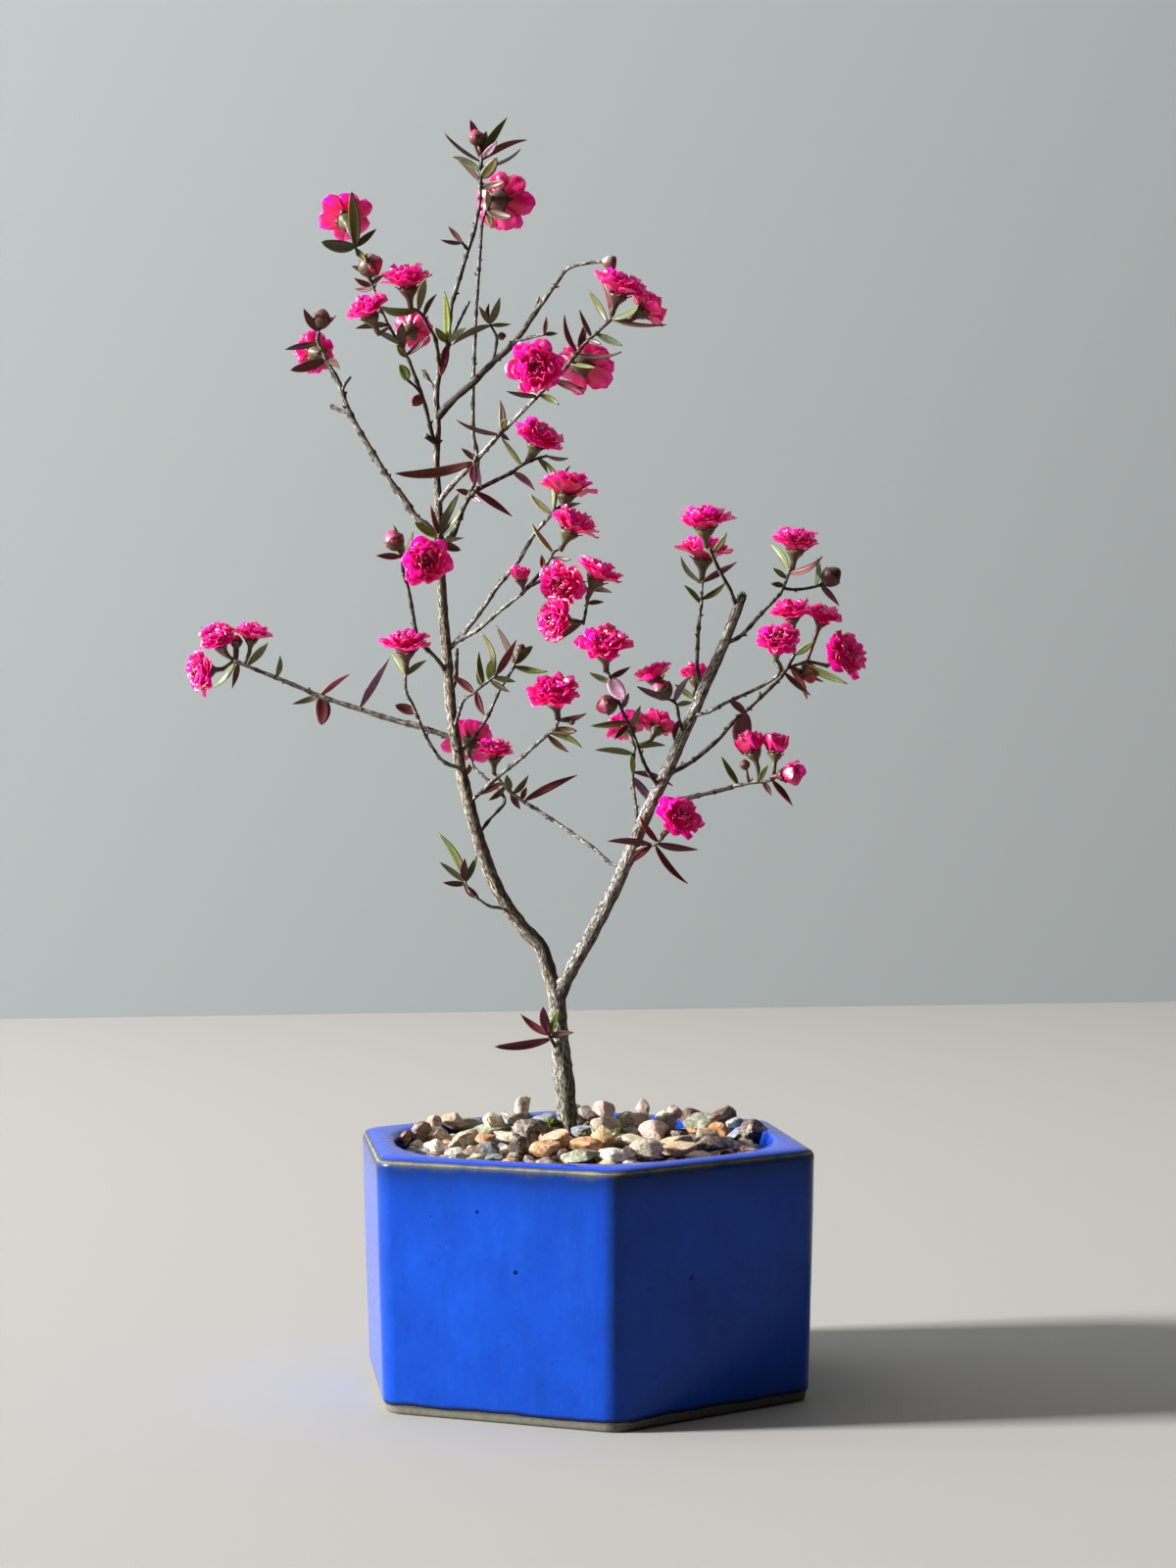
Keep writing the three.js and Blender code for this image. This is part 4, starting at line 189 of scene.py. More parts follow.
# Each shoot: stems in the same way; for each leaf its tint, and its base, its tip, its width and, where
# it is known, how far it swings away; buds as across, up and size; flowers as across, up, the way they
# face (across, up, away), size and, where one hangs before its stem, by how much. A fused shoot is part of
# the wood's solid. Leaves look wider than they are traced by 1.2, or by what broaden says.
SHOOTS = {
    "top": {
        "stems": [("leader", 17, 0.6, 0.5, -30.5, 365, -30.3, 370, -30.2, 374, -30, 378.5)],
        "tints": "burgundy dark pale dark dark lilac green burgundy olive dark dark", "bud_tint": "pink",
        "leaves": [
            (-30.2, 377.5, -33.5, 389.5, 2.6), (-30.4, 376.5, -41.5, 385.5, 1.1),
            (-30.2, 373.5, -39.5, 378.3, 1.2, -3), (-30.3, 370.5, -37.5, 377.5, 1.1, 3),
            (-30, 377, -28.5, 386, 2.4, 3), (-29.6, 378, -25.3, 383, 1.9, -5),
            (-29.6, 378.5, -22, 390.2, 2.1, 4), (-29.6, 377, -16, 383.2, 1.3),
            (-30, 371.5, -25.3, 377.8, 3, -4), (-30, 375, -18, 380.4, 1.1, 4),
            (-30.2, 368.5, -22.8, 370.6, 2, -5),
        ],
        "buds": [(-31.6, 384, 5)],
    },
    "long_rise_tip": {
        "fused": True,
        "stems": [("long_rise", 29, 0.5, 0.5, -28.6, 361.5, -28, 362.3)],
        "tints": "dark olive pale",
        "leaves": [
            (-28.4, 361.5, -20.5, 359.5, 2.4, -5), (-28.6, 360.5, -27.3, 356, 1.8, -4),
            (-28.6, 362, -28.6, 368, 1.6, -4),
        ],
        "flowers": {"top": (-24.8, 364.2, 0.33, 0.1, 0.94, 18.5)},
    },
    "leader_twig": {
        "fused": True,
        "stems": [("leader", 7, 0.45, 0.4, -34.3, 349.5, -36.3, 352.2)],
        "tints": "brown dark",
        "leaves": [(-36.3, 352, -40.4, 357, 1.4), (-36.3, 351.5, -42.6, 352.8, 1.1)],
    },
    "leader_low": {
        "fused": True,
        "stems": [("leader", 3, 0.6, 0.5, -40.5, 320, -41, 321.8)],
        "tints": "yellow yellow pale burgundy",
        "leaves": [
            (-40.8, 321.2, -41.6, 337, 1.9, -3), (-41, 321.2, -44.6, 326, 2, -3),
            (-40.6, 321.5, -35.1, 325.8, 2, -5), (-40.9, 320.5, -42.8, 311, 2.3, -4),
        ],
    },
    "arch_low": {
        "fused": True,
        "stems": [("arch", -8, 0.5, 0.4, -26.8, 315.2, -26, 319, -25.6, 323, -27.6, 327)],
        "tints": "green green olive dark blue", "bud_tint": "burgundy",
        "leaves": [
            (-27.6, 326.6, -21.2, 327, 1.1), (-27.6, 327, -24.5, 335.2, 1.9),
            (-27.8, 327, -30.9, 332.6, 1.4, -3), (-27.5, 327, -27.8, 333.3, 1.1, 3),
            (-27.6, 326.5, -39.3, 320.6, 1.3, -4),
        ],
        "buds": [(-24, 323.3, 2.4)],
    },
    "arch_stub": {
        "fused": True,
        "stems": [("stub_arch", -18, 0.45, 0.4, -11.5, 323.9, -10.6, 324.1)],
        "tints": "brown olive",
        "leaves": [(-11, 324, -10.2, 329.4, 1.1), (-11, 324, -6.8, 324.2, 1.1)],
    },
    "left_tip": {
        "stems": [("up_left", 30, 0.8, 0.5, -77, 313.5, -79, 317.5, -80.7, 321.5, -80.2, 325)],
        "tints": "burgundy purple purple brown dark", "bud_tint": "brown",
        "leaves": [
            (-80.4, 324.3, -85, 331.6, 2.1), (-80.2, 324.8, -75, 329.2, 1.4, -3),
            (-80.2, 321, -90.7, 319, 1.9, -5), (-78.6, 315.5, -89.2, 312.6, 2.7, -5),
            (-78, 315, -74, 313, 1.6, -3),
        ],
        "buds": [(-79.5, 328.2, 6.2)],
        "flowers": {"left_high": (-80.6, 318.5, -0.25, 0.1, 0.96, 16)},
    },
    "high": {
        "stems": [("left_twig", -12, 0.55, 0.45, -52.7, 316, -55, 320, -57, 323.5, -59.5, 328, -61.5, 332.5,
            -63, 337, -64.5, 341, -67, 345.5, -69, 351)],
        "tints": "olive dark blue olive dark brown brown dark burgundy dark blue dark burgundy olive",
        "bud_tint": "pink",
        "leaves": [
            (-69.3, 352, -70.1, 368.1, 3, -3), (-69.2, 352, -62.4, 356.5, 1.8),
            (-69, 351.2, -79.6, 352.6, 3.2, -3), (-68.6, 350.5, -65.6, 346.4, 1.8, -4),
            (-65.5, 343, -70.2, 345.1, 1.4), (-64, 339, -69.4, 341.4, 1.5), (-63.8, 339.5, -60, 342.4, 1.3),
            (-67.5, 347, -63.3, 348.9, 1.1, -5), (-63.4, 338.4, -69.2, 338, 1.2, 4),
            (-59.5, 326.5, -69.2, 325.8, 1.5, -4), (-55.5, 320.8, -63.5, 324.8, 1.4, -3),
            (-54.5, 319, -54.7, 327.6, 2.5, -5), (-53.6, 317.5, -46.4, 323.6, 1.5, -5),
            (-53, 317, -56.4, 320.8, 1.8, -4),
        ],
        "buds": [(-64.3, 345.2, 7.6)],
        "flowers": {
            "left_top": (-72, 361, -0.15, 0.6, 0.78, 17),
            "left_upper": (-64.3, 331.8, -0.4, 0.85, -0.35, 15.5, 8),
            "left_inner": (-51.5, 325.3, 0.3, 0.35, 0.88, 14),
        },
    },
    "crook_tip": {
        "stems": [("crook", -10, 0.55, 0.45, -46.5, 326, -48.5, 330, -50.3, 331.5)],
        "tints": "olive dark yellow",
        "leaves": [
            (-49.6, 331, -47.5, 341.2, 2, -4), (-48, 329.3, -44, 336.2, 1.1),
            (-50, 331.4, -61.2, 333, 2.2, -12),
        ],
        "flowers": {"left_middle": (-52, 341.3, -0.1, 0.97, -0.2, 17)},
    },
    "twig_leaf": {
        "fused": True,
        "stems": [("left_twig", -6, 0.5, 0.45, -48.7, 305, -50.5, 307.6, -53, 309.8)],
        "tints": "green red",
        "leaves": [(-53, 309.8, -55.6, 314.7, 2.7), (-47.5, 300, -51.6, 302, 2.8, -3)],
    },
    "rise_middle": {
        "fused": True,
        "stems": [("lower_rise", -13, 0.6, 0.5, -24.8, 293, -24, 295)],
        "tints": "brown dark olive purple",
        "leaves": [
            (-24.8, 293, -38, 297.6, 1.2, -4), (-24.3, 294.3, -24.6, 303.6, 1.7),
            (-24, 295, -22.6, 297.8, 1.8, -3), (-24.6, 293.6, -21.7, 291.3, 1.2),
        ],
    },
    "rise_low": {
        "fused": True,
        "stems": [("lower_rise", -9, 0.6, 0.5, -32.7, 284.4, -32, 286)],
        "tints": "brown burgundy burgundy lilac",
        "leaves": [
            (-32.7, 284.6, -57.2, 281.2, 2.6, -5), (-32.4, 285, -36.7, 288.8, 1.4),
            (-32.5, 284.4, -32.6, 277.4, 2.1, -4), (-32, 284.6, -30.5, 276.4, 1.6),
        ],
    },
    "rise_tip": {
        "stems": [("lower_rise", -22, 0.6, 0.5, -13.5, 304.5, -9, 309, -4.5, 313.5, -1, 318, 2, 321.5, 7, 326,
            10, 328.8)],
        "tints": "dark burgundy olive green burgundy dark dark pale burgundy burgundy dark dark blue green "
        "burgundy blue dark",
        "leaves": [
            (-13, 305, -22.6, 306.6, 1.3, -3), (-12.4, 305.6, -16.6, 308.4, 1.2, 3),
            (-12.8, 305, -19.9, 307, 1.7), (-12.4, 305.2, -6.4, 302.4, 1.6), (-8, 309.6, 1.4, 305.6, 1.8, -4),
            (-7.5, 310, 1.4, 307.2, 1.3, 4), (-1, 318, 13, 318.6, 1.2, -3), (-3, 315, 5.2, 313.8, 1.1, -5),
            (-0.8, 318.4, -4.6, 330, 1.4), (-0.2, 319.2, 1.6, 327.6, 1.9, 3), (3.8, 323, 0, 331.6, 1.3),
            (2.6, 322, 6.6, 321, 1.5, -3), (5, 324.2, 13.3, 320.5, 1.8), (8.6, 327.6, 2.4, 337.6, 1.5),
            (9.8, 328.6, 5.4, 342.6, 1.8, 6), (9.8, 328.6, 18.2, 333.2, 2.2, -6),
            (9.8, 328.4, 26.7, 327, 1.2, -5),
        ],
        "flowers": {
            "facing_left": (-12.6, 314, -0.18, 0.05, -0.98, 16.5),
            "facing_back": (0.8, 315, 0.3, 0.1, 0.95, 17),
            "right_crown": (13.2, 338.6, 0.32, 0.93, -0.2, 16.5),
            "right_crown_low": (21, 332.2, 0.75, 0.6, 0.28, 13.5),
        },
    },
    "middle_tip": {
        "stems": [("middle_rise", 22, 0.65, 0.45, -21.5, 280.7, -17.2, 283.6, -13, 285.3, -10, 286)],
        "tints": "green green brown lilac green green",
        "leaves": [
            (-18, 283, -24.2, 291.6, 1.2), (-16.4, 284, -11.6, 287.8, 1.7, -4),
            (-10.4, 285.9, -3.6, 285.1, 1.2), (-20.8, 281, -14, 275.4, 1.9), (-13, 285.2, -6, 278.8, 1.8, -3),
            (-12.6, 285, -8.6, 278.6, 1.4, 3),
        ],
        "flowers": {"middle_right": (-12.6, 291.9, 0.42, 0.82, -0.38, 16.5)},
    },
    "middle_low": {
        "fused": True,
        "stems": [("middle_rise", 6, 0.6, 0.5, -33.5, 274, -31.8, 276.6)],
        "tints": "burgundy lilac brown",
        "leaves": [
            (-32.6, 275.4, -21, 267.6, 1.9), (-34, 273.6, -30.4, 271.8, 1.4, -3),
            (-34, 274, -38.4, 275.8, 1.6),
        ],
    },
    "stalk_tip": {
        "stems": [("bloom_stalk", -15, 0.55, 0.5, -54.7, 251, -55.3, 256)],
        "tints": "green dark blue", "bud_tint": "pink",
        "leaves": [
            (-55.2, 255, -57.6, 265.4, 2, 6), (-55.2, 255.6, -63, 256, 1.7), (-55, 254.6, -51.6, 263, 1.6, 8),
        ],
        "buds": [(-57.4, 260.6, 6.4)],
        "flowers": {"left_front": (-47.4, 254.6, 0.12, 0, -0.99, 16)},
    },
    "left_rosette": {
        "fused": True,
        "stems": [("left_high", 2, 0.7, 0.5, -43.4, 259.5, -43.5, 262)],
        "tints": "brown yellow blue green pale dark",
        "leaves": [
            (-43.5, 261.5, -46.1, 271.2, 1.3), (-43.6, 261.2, -51.2, 266, 2.2, -2),
            (-43.4, 261.5, -37.4, 274.8, 2.2, -3), (-43.4, 261.2, -36.4, 269.7, 1.4, -4),
            (-43.4, 260, -36, 260.9, 1.2), (-43.4, 259.4, -36.9, 257.2, 2.2),
        ],
    },
    "reach_tip": {
        "fused": True,
        "stems": [("right_reach", 7, 0.55, 0.5, -9, 268, -7.4, 270.2)],
        "tints": "green dark dark dark pale",
        "leaves": [
            (-8.4, 269, -10.2, 283.2, 1.3, 4), (-8, 269.6, -3, 283, 1.6, 6), (-7.6, 270, 0.2, 271.6, 1.5, -4),
            (-8.2, 269, 3.6, 267.4, 1.6, 4), (-8.8, 268.4, -15.6, 274.6, 1.7),
        ],
        "flowers": {"middle_low": (-3.6, 276.6, 0.28, 0.72, -0.63, 16)},
    },
    "spray": {
        "stems": [
            ("right_reach_low", -9, 0.6, 0.45, -18, 244, -13, 249.5, -9.5, 254.5, -8, 257, -5.6, 258.2),
            ("spray", -17, 0.5, 0.45, -16.4, 245.8, -12, 248, -6, 251, -1, 249.4, 1.5, 246, 2.4, 243.5,
                0.8, 234.5),
        ],
        "tints": "pale dark brown dark dark dark",
        "leaves": [
            (-8.4, 256.4, -15.2, 265.8, 1.3), (-9.2, 255, -2.8, 254.6, 1.3, -4),
            (-11.6, 251.6, -12, 256, 1.5), (1.6, 245.6, 9.7, 244.3, 1.5, -3), (1.8, 241, 7.2, 241.4, 1.2),
            (1, 236, -7.8, 228.8, 1.6, 4),
        ],
        "flowers": {
            "centre_high": (-2.4, 266, 0.38, 0.86, -0.3, 17),
            "centre_half": (-18.3, 249.3, -0.15, 0.97, -0.15, 8.5),
            "centre_right": (5.6, 251, 0.35, 0.3, -0.88, 15.5),
            "centre_left": (-4.4, 247.6, -0.3, 0, -0.95, 15),
            "centre_low": (-6.8, 237.2, -0.55, 0.05, -0.45, 15.5),
        },
    },
    "short_tip": {
        "stems": [("inner_short", -12, 0.5, 0.4, -33.5, 213, -30.5, 215.5, -26, 219)],
        "tints": "burgundy burgundy green green yellow olive brown green dark",
        "leaves": [
            (-33, 213.4, -39.8, 218.7, 2), (-32.4, 214, -29.8, 206.6, 2, -3),
            (-30.5, 215.5, -32.1, 220.8, 1.6), (-30, 216, -31.4, 226.2, 1.5, 3),
            (-28.2, 217.4, -27.8, 223.4, 2.3, -3), (-26.8, 218.4, -31, 232.2, 1.3, 3),
            (-26.2, 219, -19.8, 229.8, 1.9), (-27, 218, -20.2, 216.9, 1.5, -3),
            (-28.2, 217.2, -22.2, 213.8, 1.5, -4),
        ],
    },
    "inner_tip": {
        "fused": True,
        "stems": [("inner_long", 16, 0.45, 0.4, -21.5, 219.4, -20.3, 222.2)],
        "tints": "green green dark", "bud_tint": "burgundy",
        "leaves": [
            (-20.3, 222, -14.8, 227.4, 2.4), (-20.6, 221.2, -10.2, 219.6, 1.6),
            (-20.4, 222, -26.2, 233.8, 1.5, 3),
        ],
        "buds": [(-18.4, 226.6, 3)],
    },
    "cross_tip": {
        "stems": [("low_cross", -16, 0.55, 0.45, -11, 200, -7.6, 203, -7, 205.6)],
        "tints": "dark dark green dark", "bud_tint": "brown",
        "leaves": [
            (-7.2, 205, 1.7, 207.1, 1.5), (-9, 201.6, -1.3, 201.7, 2.2), (-9.6, 201, 0.2, 196.6, 1.5),
            (-10.4, 200.4, -3.8, 195.2, 1.5, -3),
        ],
        "buds": [(-2.8, 204.4, 1.7)],
        "flowers": {"low_centre": (-7.8, 212.9, -0.1, 0.82, -0.56, 18)},
    },
    "right_cross_tip": {
        "stems": [("from_right", 11, 0.55, 0.45, -17, 179, -22.4, 183, -26.2, 187.6)],
        "tints": "burgundy burgundy green green dark brown burgundy",
        "leaves": [
            (-17.8, 179.6, -1.2, 187.7, 2, 2), (-18.4, 180.2, -16.8, 184, 1.5),
            (-22, 182.6, -23, 187.8, 2, -3), (-21, 182, -16.2, 187.8, 1.6, 3),
            (-23.4, 184.2, -28.6, 180, 1.6), (-24.4, 185.4, -32.4, 181.6, 1.6, -4),
            (-21.6, 182.4, -18.8, 177.2, 1.8),
        ],
        "flowers": {"low_left": (-26.8, 195.4, 0.02, 0.97, -0.24, 13.5)},
    },
    "hooked_tip": {
        "fused": True,
        "stems": [("hooked", 19, 0.5, 0.45, -33.6, 191.6, -34, 193)],
        "tints": "dark",
        "leaves": [(-33.6, 191, -36.4, 186.8, 1.5)],
        "flowers": {"behind_limb": (-35, 198.3, -0.05, 0.5, 0.86, 17.5)},
    },
    "far_left": {
        "stems": [("long_left", 24, 0.8, 0.55, -67, 207.8, -80, 212, -87, 215, -93, 217.5, -100, 220.3,
            -107, 223.2)],
        "tints": "pink green burgundy lilac green green burgundy green dark burgundy", "bud_tint": "pink",
        "leaves": [
            (-80.5, 212.2, -71.4, 218.9, 1.3), (-80.5, 212.4, -89, 209.8, 1.5),
            (-80, 212, -80, 203.4, 4.2, -3), (-68.4, 208.4, -58.8, 224.2, 2, 3),
            (-94, 218, -92.8, 224.6, 1.5), (-103, 221.6, -96.6, 228.8, 1.8),
            (-105.6, 222.6, -107.6, 214.6, 1.6), (-106.5, 223, -113.4, 214.8, 1.5, 5),
            (-106, 223, -105, 230.4, 1.5, 6), (-106.8, 223.2, -117, 233.6, 1.4, 6),
        ],
        "buds": [(-106.2, 229, 4)],
        "flowers": {
            "far_left_up": (-101.4, 231.6, 0.15, 0.97, -0.15, 11.5),
            "far_left_top": (-110.8, 230.4, -0.35, 0.75, -0.56, 13.5),
            "far_left_low": (-114.6, 220.4, -0.8, -0.1, -0.6, 14),
        },
    },
    "beside_tip": {
        "stems": [("beside_left", -16, 0.55, 0.45, -50.2, 205.5, -52, 210, -54, 214, -54, 219.6)],
        "tints": "green green burgundy",
        "leaves": [
            (-54, 219, -58.6, 226, 1.5), (-54, 219, -47.6, 223.6, 1.5), (-51, 207.5, -57.4, 209.7, 2.6),
        ],
        "flowers": {"left_small": (-54, 229, 0, 0.97, -0.24, 16)},
    },
    "low_left": {
        "stems": [("left_low", -7, 0.5, 0.4, -22, 146.4, -26, 147, -29, 147.7, -34.5, 152, -36, 155.5)],
        "tints": "red green green dark burgundy green",
        "leaves": [
            (-31.8, 149.8, -36.4, 154.4, 1.9, -3), (-36, 155, -44.3, 170.3, 2, 2),
            (-35.8, 155, -43.8, 161.2, 1.5), (-35.6, 154.4, -42.8, 154.9, 1.5),
            (-36, 155.2, -36.1, 162.4, 2, -3), (-35.9, 155, -32.2, 163.4, 1.6),
        ],
    },
    "trunk_sprig": {
        "fused": True,
        "stems": [("trunk", -4.5, 0.6, 0.4, -6.6, 101, -8.4, 104, -10.3, 107.8)],
        "tints": "purple burgundy purple yellow dark",
        "broaden": 1.35,
        "leaves": [
            (-9.6, 106.4, -27.2, 104.1, 2, -3), (-10.2, 107.6, -19, 114.1, 1.6),
            (-10.2, 107.6, -12.1, 116.3, 2.2, -2), (-10, 107.4, -7, 115.8, 1.4, -2),
            (-9.8, 107, -2.6, 108.3, 1.6, -2),
        ],
    },
    "front_right": {
        "stems": [("before_right", -26, 0.55, 0.45, 17.5, 197, 15.5, 202.5, 13, 207.5, 9.6, 216.5,
            8.6, 219.6)],
        "tints": "dark lilac pale green burgundy burgundy green", "bud_tint": "pink",
        "leaves": [
            (9, 218.4, 15.4, 221.6, 1.5, 3), (9, 218.2, 13.4, 211.4, 4, -4), (9.6, 216.8, 2.4, 219.9, 1.5),
            (14.4, 204.6, 2.8, 203.4, 1.5), (15, 203.6, 10.3, 199.1, 1.5, -3),
            (12.6, 208.6, 14.8, 213.4, 1.4, -3), (15.4, 202.8, 18.4, 209.6, 1.6),
        ],
        "buds": [(8, 209.8, 6.4)],
        "flowers": {"front": (7.4, 228.2, -0.05, 0.86, -0.5, 17.5)},
    },
    "back_right": {
        "stems": [("behind_right", 9, 0.5, 0.45, 15.8, 186, 16.2, 192, 16.6, 196.5)],
        "tints": "lilac burgundy yellow green green",
        "leaves": [
            (15.9, 187, 22.7, 178, 2.2, -3), (16, 188.6, 28.3, 184.2, 1.5, 4),
            (15.9, 188, 15.4, 194.4, 1.5, -3), (16.3, 194, 4, 195.4, 1.5, -2), (16.5, 196, 26, 196.6, 1.5, 4),
        ],
        "flowers": {
            "behind_right": (14, 203.6, -0.3, 0.75, 0.6, 13),
            "behind_right_far": (23.8, 203.8, 0.4, 0.75, 0.5, 12.5),
        },
    },
    "right_spur": {
        "stems": [("right_limb", -26, 0.5, 0.45, 31.4, 200.2, 30.2, 206, 29.4, 210, 27, 211.6)],
        "tints": "lilac dark burgundy green", "bud_tint": "pink",
        "leaves": [
            (28.6, 210.4, 33.4, 218.4, 1.7, -4), (27.4, 211.4, 17.3, 215.6, 1.5, -5),
            (30.4, 205, 28.8, 198.6, 1.5, -3), (29.4, 209.6, 34.4, 210.4, 1.3, -3),
        ],
        "buds": [(25, 214.6, 6.8)],
        "flowers": {"right_spur": (22.4, 219.4, -0.35, 0.9, 0.1, 12.5)},
    },
    "behind_stalk_tip": {
        "fused": True,
        "stems": [("behind_stalk", -5, 0.45, 0.4, 34.8, 211.4, 35, 212)],
        "tints": "green",
        "leaves": [(34.6, 210.4, 28.8, 216, 1.5, 5)],
        "flowers": {"behind_spur": (35.6, 219, 0.08, 0.93, 0.3, 11.5)},
    },
    "upright_tip": {
        "fused": True,
        "stems": [("upright", -3, 0.5, 0.45, 37.2, 240, 37.6, 247.6)],
        "tints": "green burgundy green green",
        "leaves": [
            (37.5, 246.6, 31, 255, 1.6), (37.6, 247.2, 48.2, 253.5, 1.6), (37.4, 242, 44.7, 247.2, 1.5, 3),
            (37.2, 240.6, 31.8, 246.6, 1.4),
        ],
        "flowers": {"right_upright": (38, 257.4, 0.03, 0.98, -0.1, 18)},
    },
    "end_twig_tip": {
        "fused": True,
        "stems": [("end_twig", -30, 0.5, 0.45, 40.4, 256.4, 40, 258)],
        "tints": "green",
        "leaves": [(40.6, 256, 45.2, 263, 1.5, -3)],
        "flowers": {"right_high": (38.4, 267, -0.1, 0.94, 0.3, 17)},
    },
    "fork_tip": {
        "stems": [
            ("end_fork", -12, 0.55, 0.45, 61.5, 243.5, 63.4, 247.5, 64.6, 251),
            ("fork_tip", -6, 0.5, 0.45, 62.4, 245.4, 67, 245, 73, 246, 75.4, 247.2),
        ],
        "tints": "green burgundy green dark burgundy green", "bud_tint": "dark",
        "leaves": [
            (64.4, 250.4, 58.3, 259.3, 1.5), (64.4, 250, 74.7, 255.4, 1.5, -3),
            (63.8, 248.4, 59.3, 251.7, 1.4), (62.8, 246.2, 58.8, 246.8, 1.4), (74, 246.4, 79.8, 239.8, 1.5),
            (72.6, 246, 73, 254.8, 1.2, 3),
        ],
        "buds": [(77.4, 248.9, 6.6)],
        "flowers": {"right_tip": (66.4, 260, 0.12, 0.97, -0.2, 16)},
    },
    "front_tip": {
        "stems": [("right_front", -32, 0.55, 0.45, 44, 210, 50, 212.7, 56, 215.6, 60.6, 218.6, 61.6, 220.6)],
        "tints": "burgundy",
        "leaves": [(46, 211, 51.6, 206.1, 1.9)],
        "flowers": {"right_front": (61, 229.6, -0.05, 0.95, -0.28, 15)},
    },
    "long_tip": {
        "stems": [
            ("right_long", 10, 0.65, 0.5, 48, 205.5, 51, 207.5, 57, 213, 62, 218, 66, 224.5),
            ("long_tip", 12, 0.5, 0.45, 63.4, 220.4, 70, 222.6),
        ],
        "tints": "green burgundy green burgundy dark green green", "bud_tint": "red",
        "leaves": [
            (66, 224.4, 72.2, 229.2, 1.8, -4), (50.4, 207.2, 50, 193.8, 5, -3),
            (67.6, 221.8, 82.3, 215.6, 1.8, -3), (64.6, 221, 69.8, 210.8, 1.6, 3),
            (62.8, 219.2, 70.9, 212.2, 1.4, -3), (64, 221, 74.9, 216.2, 1.4, 4),
            (62.6, 218.8, 58.6, 226, 1.4, 5),
        ],
        "buds": [(70.4, 218.8, 6.2)],
        "flowers": {
            "right_pair": (65.2, 238, -0.1, 0.97, -0.1, 13),
            "right_pair_far": (75, 236.8, 0.3, 0.93, 0.1, 12.5),
            "right_most": (80.6, 225, 0.93, 0.2, -0.28, 14),
        },
    },
    "low_right": {
        "stems": [("right_low", -26, 0.6, 0.45, 47, 184.4, 52, 185.5, 57, 186, 59.6, 186.8)],
        "tints": "green burgundy dark green", "bud_tint": "brown",
        "leaves": [
            (48.6, 184.8, 43.4, 193.7, 1.6), (58.8, 186.4, 65.3, 178.6, 1.6), (56, 186, 58.7, 181.8, 1.4),
            (55, 185.8, 57.8, 191.2, 1.4, -5),
        ],
        "buds": [(50.6, 191.2, 3)],
        "flowers": {
            "low_right_left": (52.8, 196.6, -0.25, 0.94, 0.2, 12),
            "low_right_middle": (61.6, 196.2, 0.1, 0.95, 0.28, 11),
            "low_right_far": (66.4, 187.8, 0.9, 0.15, -0.4, 10.5),
        },
    },
    "front_spur": {
        "stems": [("right_limb", -18, 0.55, 0.45, 15.6, 164, 19, 165.6, 22.5, 166.5, 25, 168.3)],
        "tints": "burgundy burgundy burgundy burgundy burgundy",
        "leaves": [
            (22, 166.4, 8.1, 167.6, 1.7, -3), (21.8, 166.4, 14.6, 160.5, 1.6, -3),
            (22.6, 166.6, 32.8, 154.4, 1.6), (23, 167, 36, 164.8, 1.8), (23.6, 167.4, 18.1, 175.4, 1.5, -4),
        ],
        "flowers": {"low_front": (29.4, 174.6, 0.5, 0.6, -0.62, 16.5)},
    },
}

# Flowers that share one node.
BUNCHES = {
    "bloom_right_crown": ["right_crown", "right_crown_low"],
    "bloom_right_pair": ["right_pair", "right_pair_far"],
    "bloom_low_right": ["low_right_left", "low_right_middle"],
    "bloom_centre": ["centre_left", "centre_low", "centre_right"],
    "bloom_far_left": ["far_left_up", "far_left_top", "far_left_low"],
    "bloom_behind_right": ["behind_right", "behind_right_far"],
}

# Courses of the stems, as in the solids.

# A stem's owner, its flat course (across, up, depth), its points in space and its radii.
Line = namedtuple("Line", "owner course points radii")
lines = {}


def nearest_on_course(course, across, up):
    """The place on a course that is nearest to across and up, as the viewer sees it."""
    best = None
    for a, b in zip(course, course[1:]):
        run = (b[0] - a[0], b[1] - a[1])
        length = run[0] ** 2 + run[1] ** 2
        share = ((across - a[0]) * run[0] + (up - a[1]) * run[1]) / length if length else 0
        share = min(max(share, 0), 1)
        point = [lerp(a[k], b[k], share) for k in range(3)]
        gap = math.hypot(point[0] - across, point[1] - up)
        if best is None or gap < best[0]:
            best = (gap, point)
    return best[1]


def lay_stem(name, owner, row):
    """Adds a stem. It starts on its parent's course and its depth changes evenly toward its end."""
    parent, depth, first_radius, last_radius, *flat = row
    path = list(zip(flat[::2], flat[1::2]))
    start = nearest_on_course(lines[parent].course, *path[0]) if parent else [*path[0], depth]
    steps = [0] + [math.dist(a, b) for a, b in zip(path, path[1:])]
    shares = np.cumsum(steps) / sum(steps)
    course = [[*place, lerp(start[2], depth, share)] for place, share in zip(path, shares)]
    course[0] = start
    radii = [lerp(first_radius, last_radius, share) for share in shares]
    lines[name] = Line(owner, course, [seen(*place) for place in course], radii)


def to_line(place, line):
    """Distance from a place to a line's surface, and the nearest point of its centre line."""
    best = None
    for i, (a, b) in enumerate(zip(line.points, line.points[1:])):
        run = b - a
        share = min(max((place - a).dot(run) / run.length_squared, 0), 1) if run.length else 0
        point = a + run * share
        gap = (point - place).length - lerp(line.radii[i], line.radii[i + 1], share)
        if best is None or gap < best[0]:
            best = (gap, point)
    return best


def nearest_seen(stem_names, across, up):
    """The place on the stems' courses that the viewer sees nearest to across and up."""
    places = [nearest_on_course(lines[name].course, across, up) for name in stem_names]
    return min(places, key=lambda place: math.hypot(place[0] - across, place[1] - up))


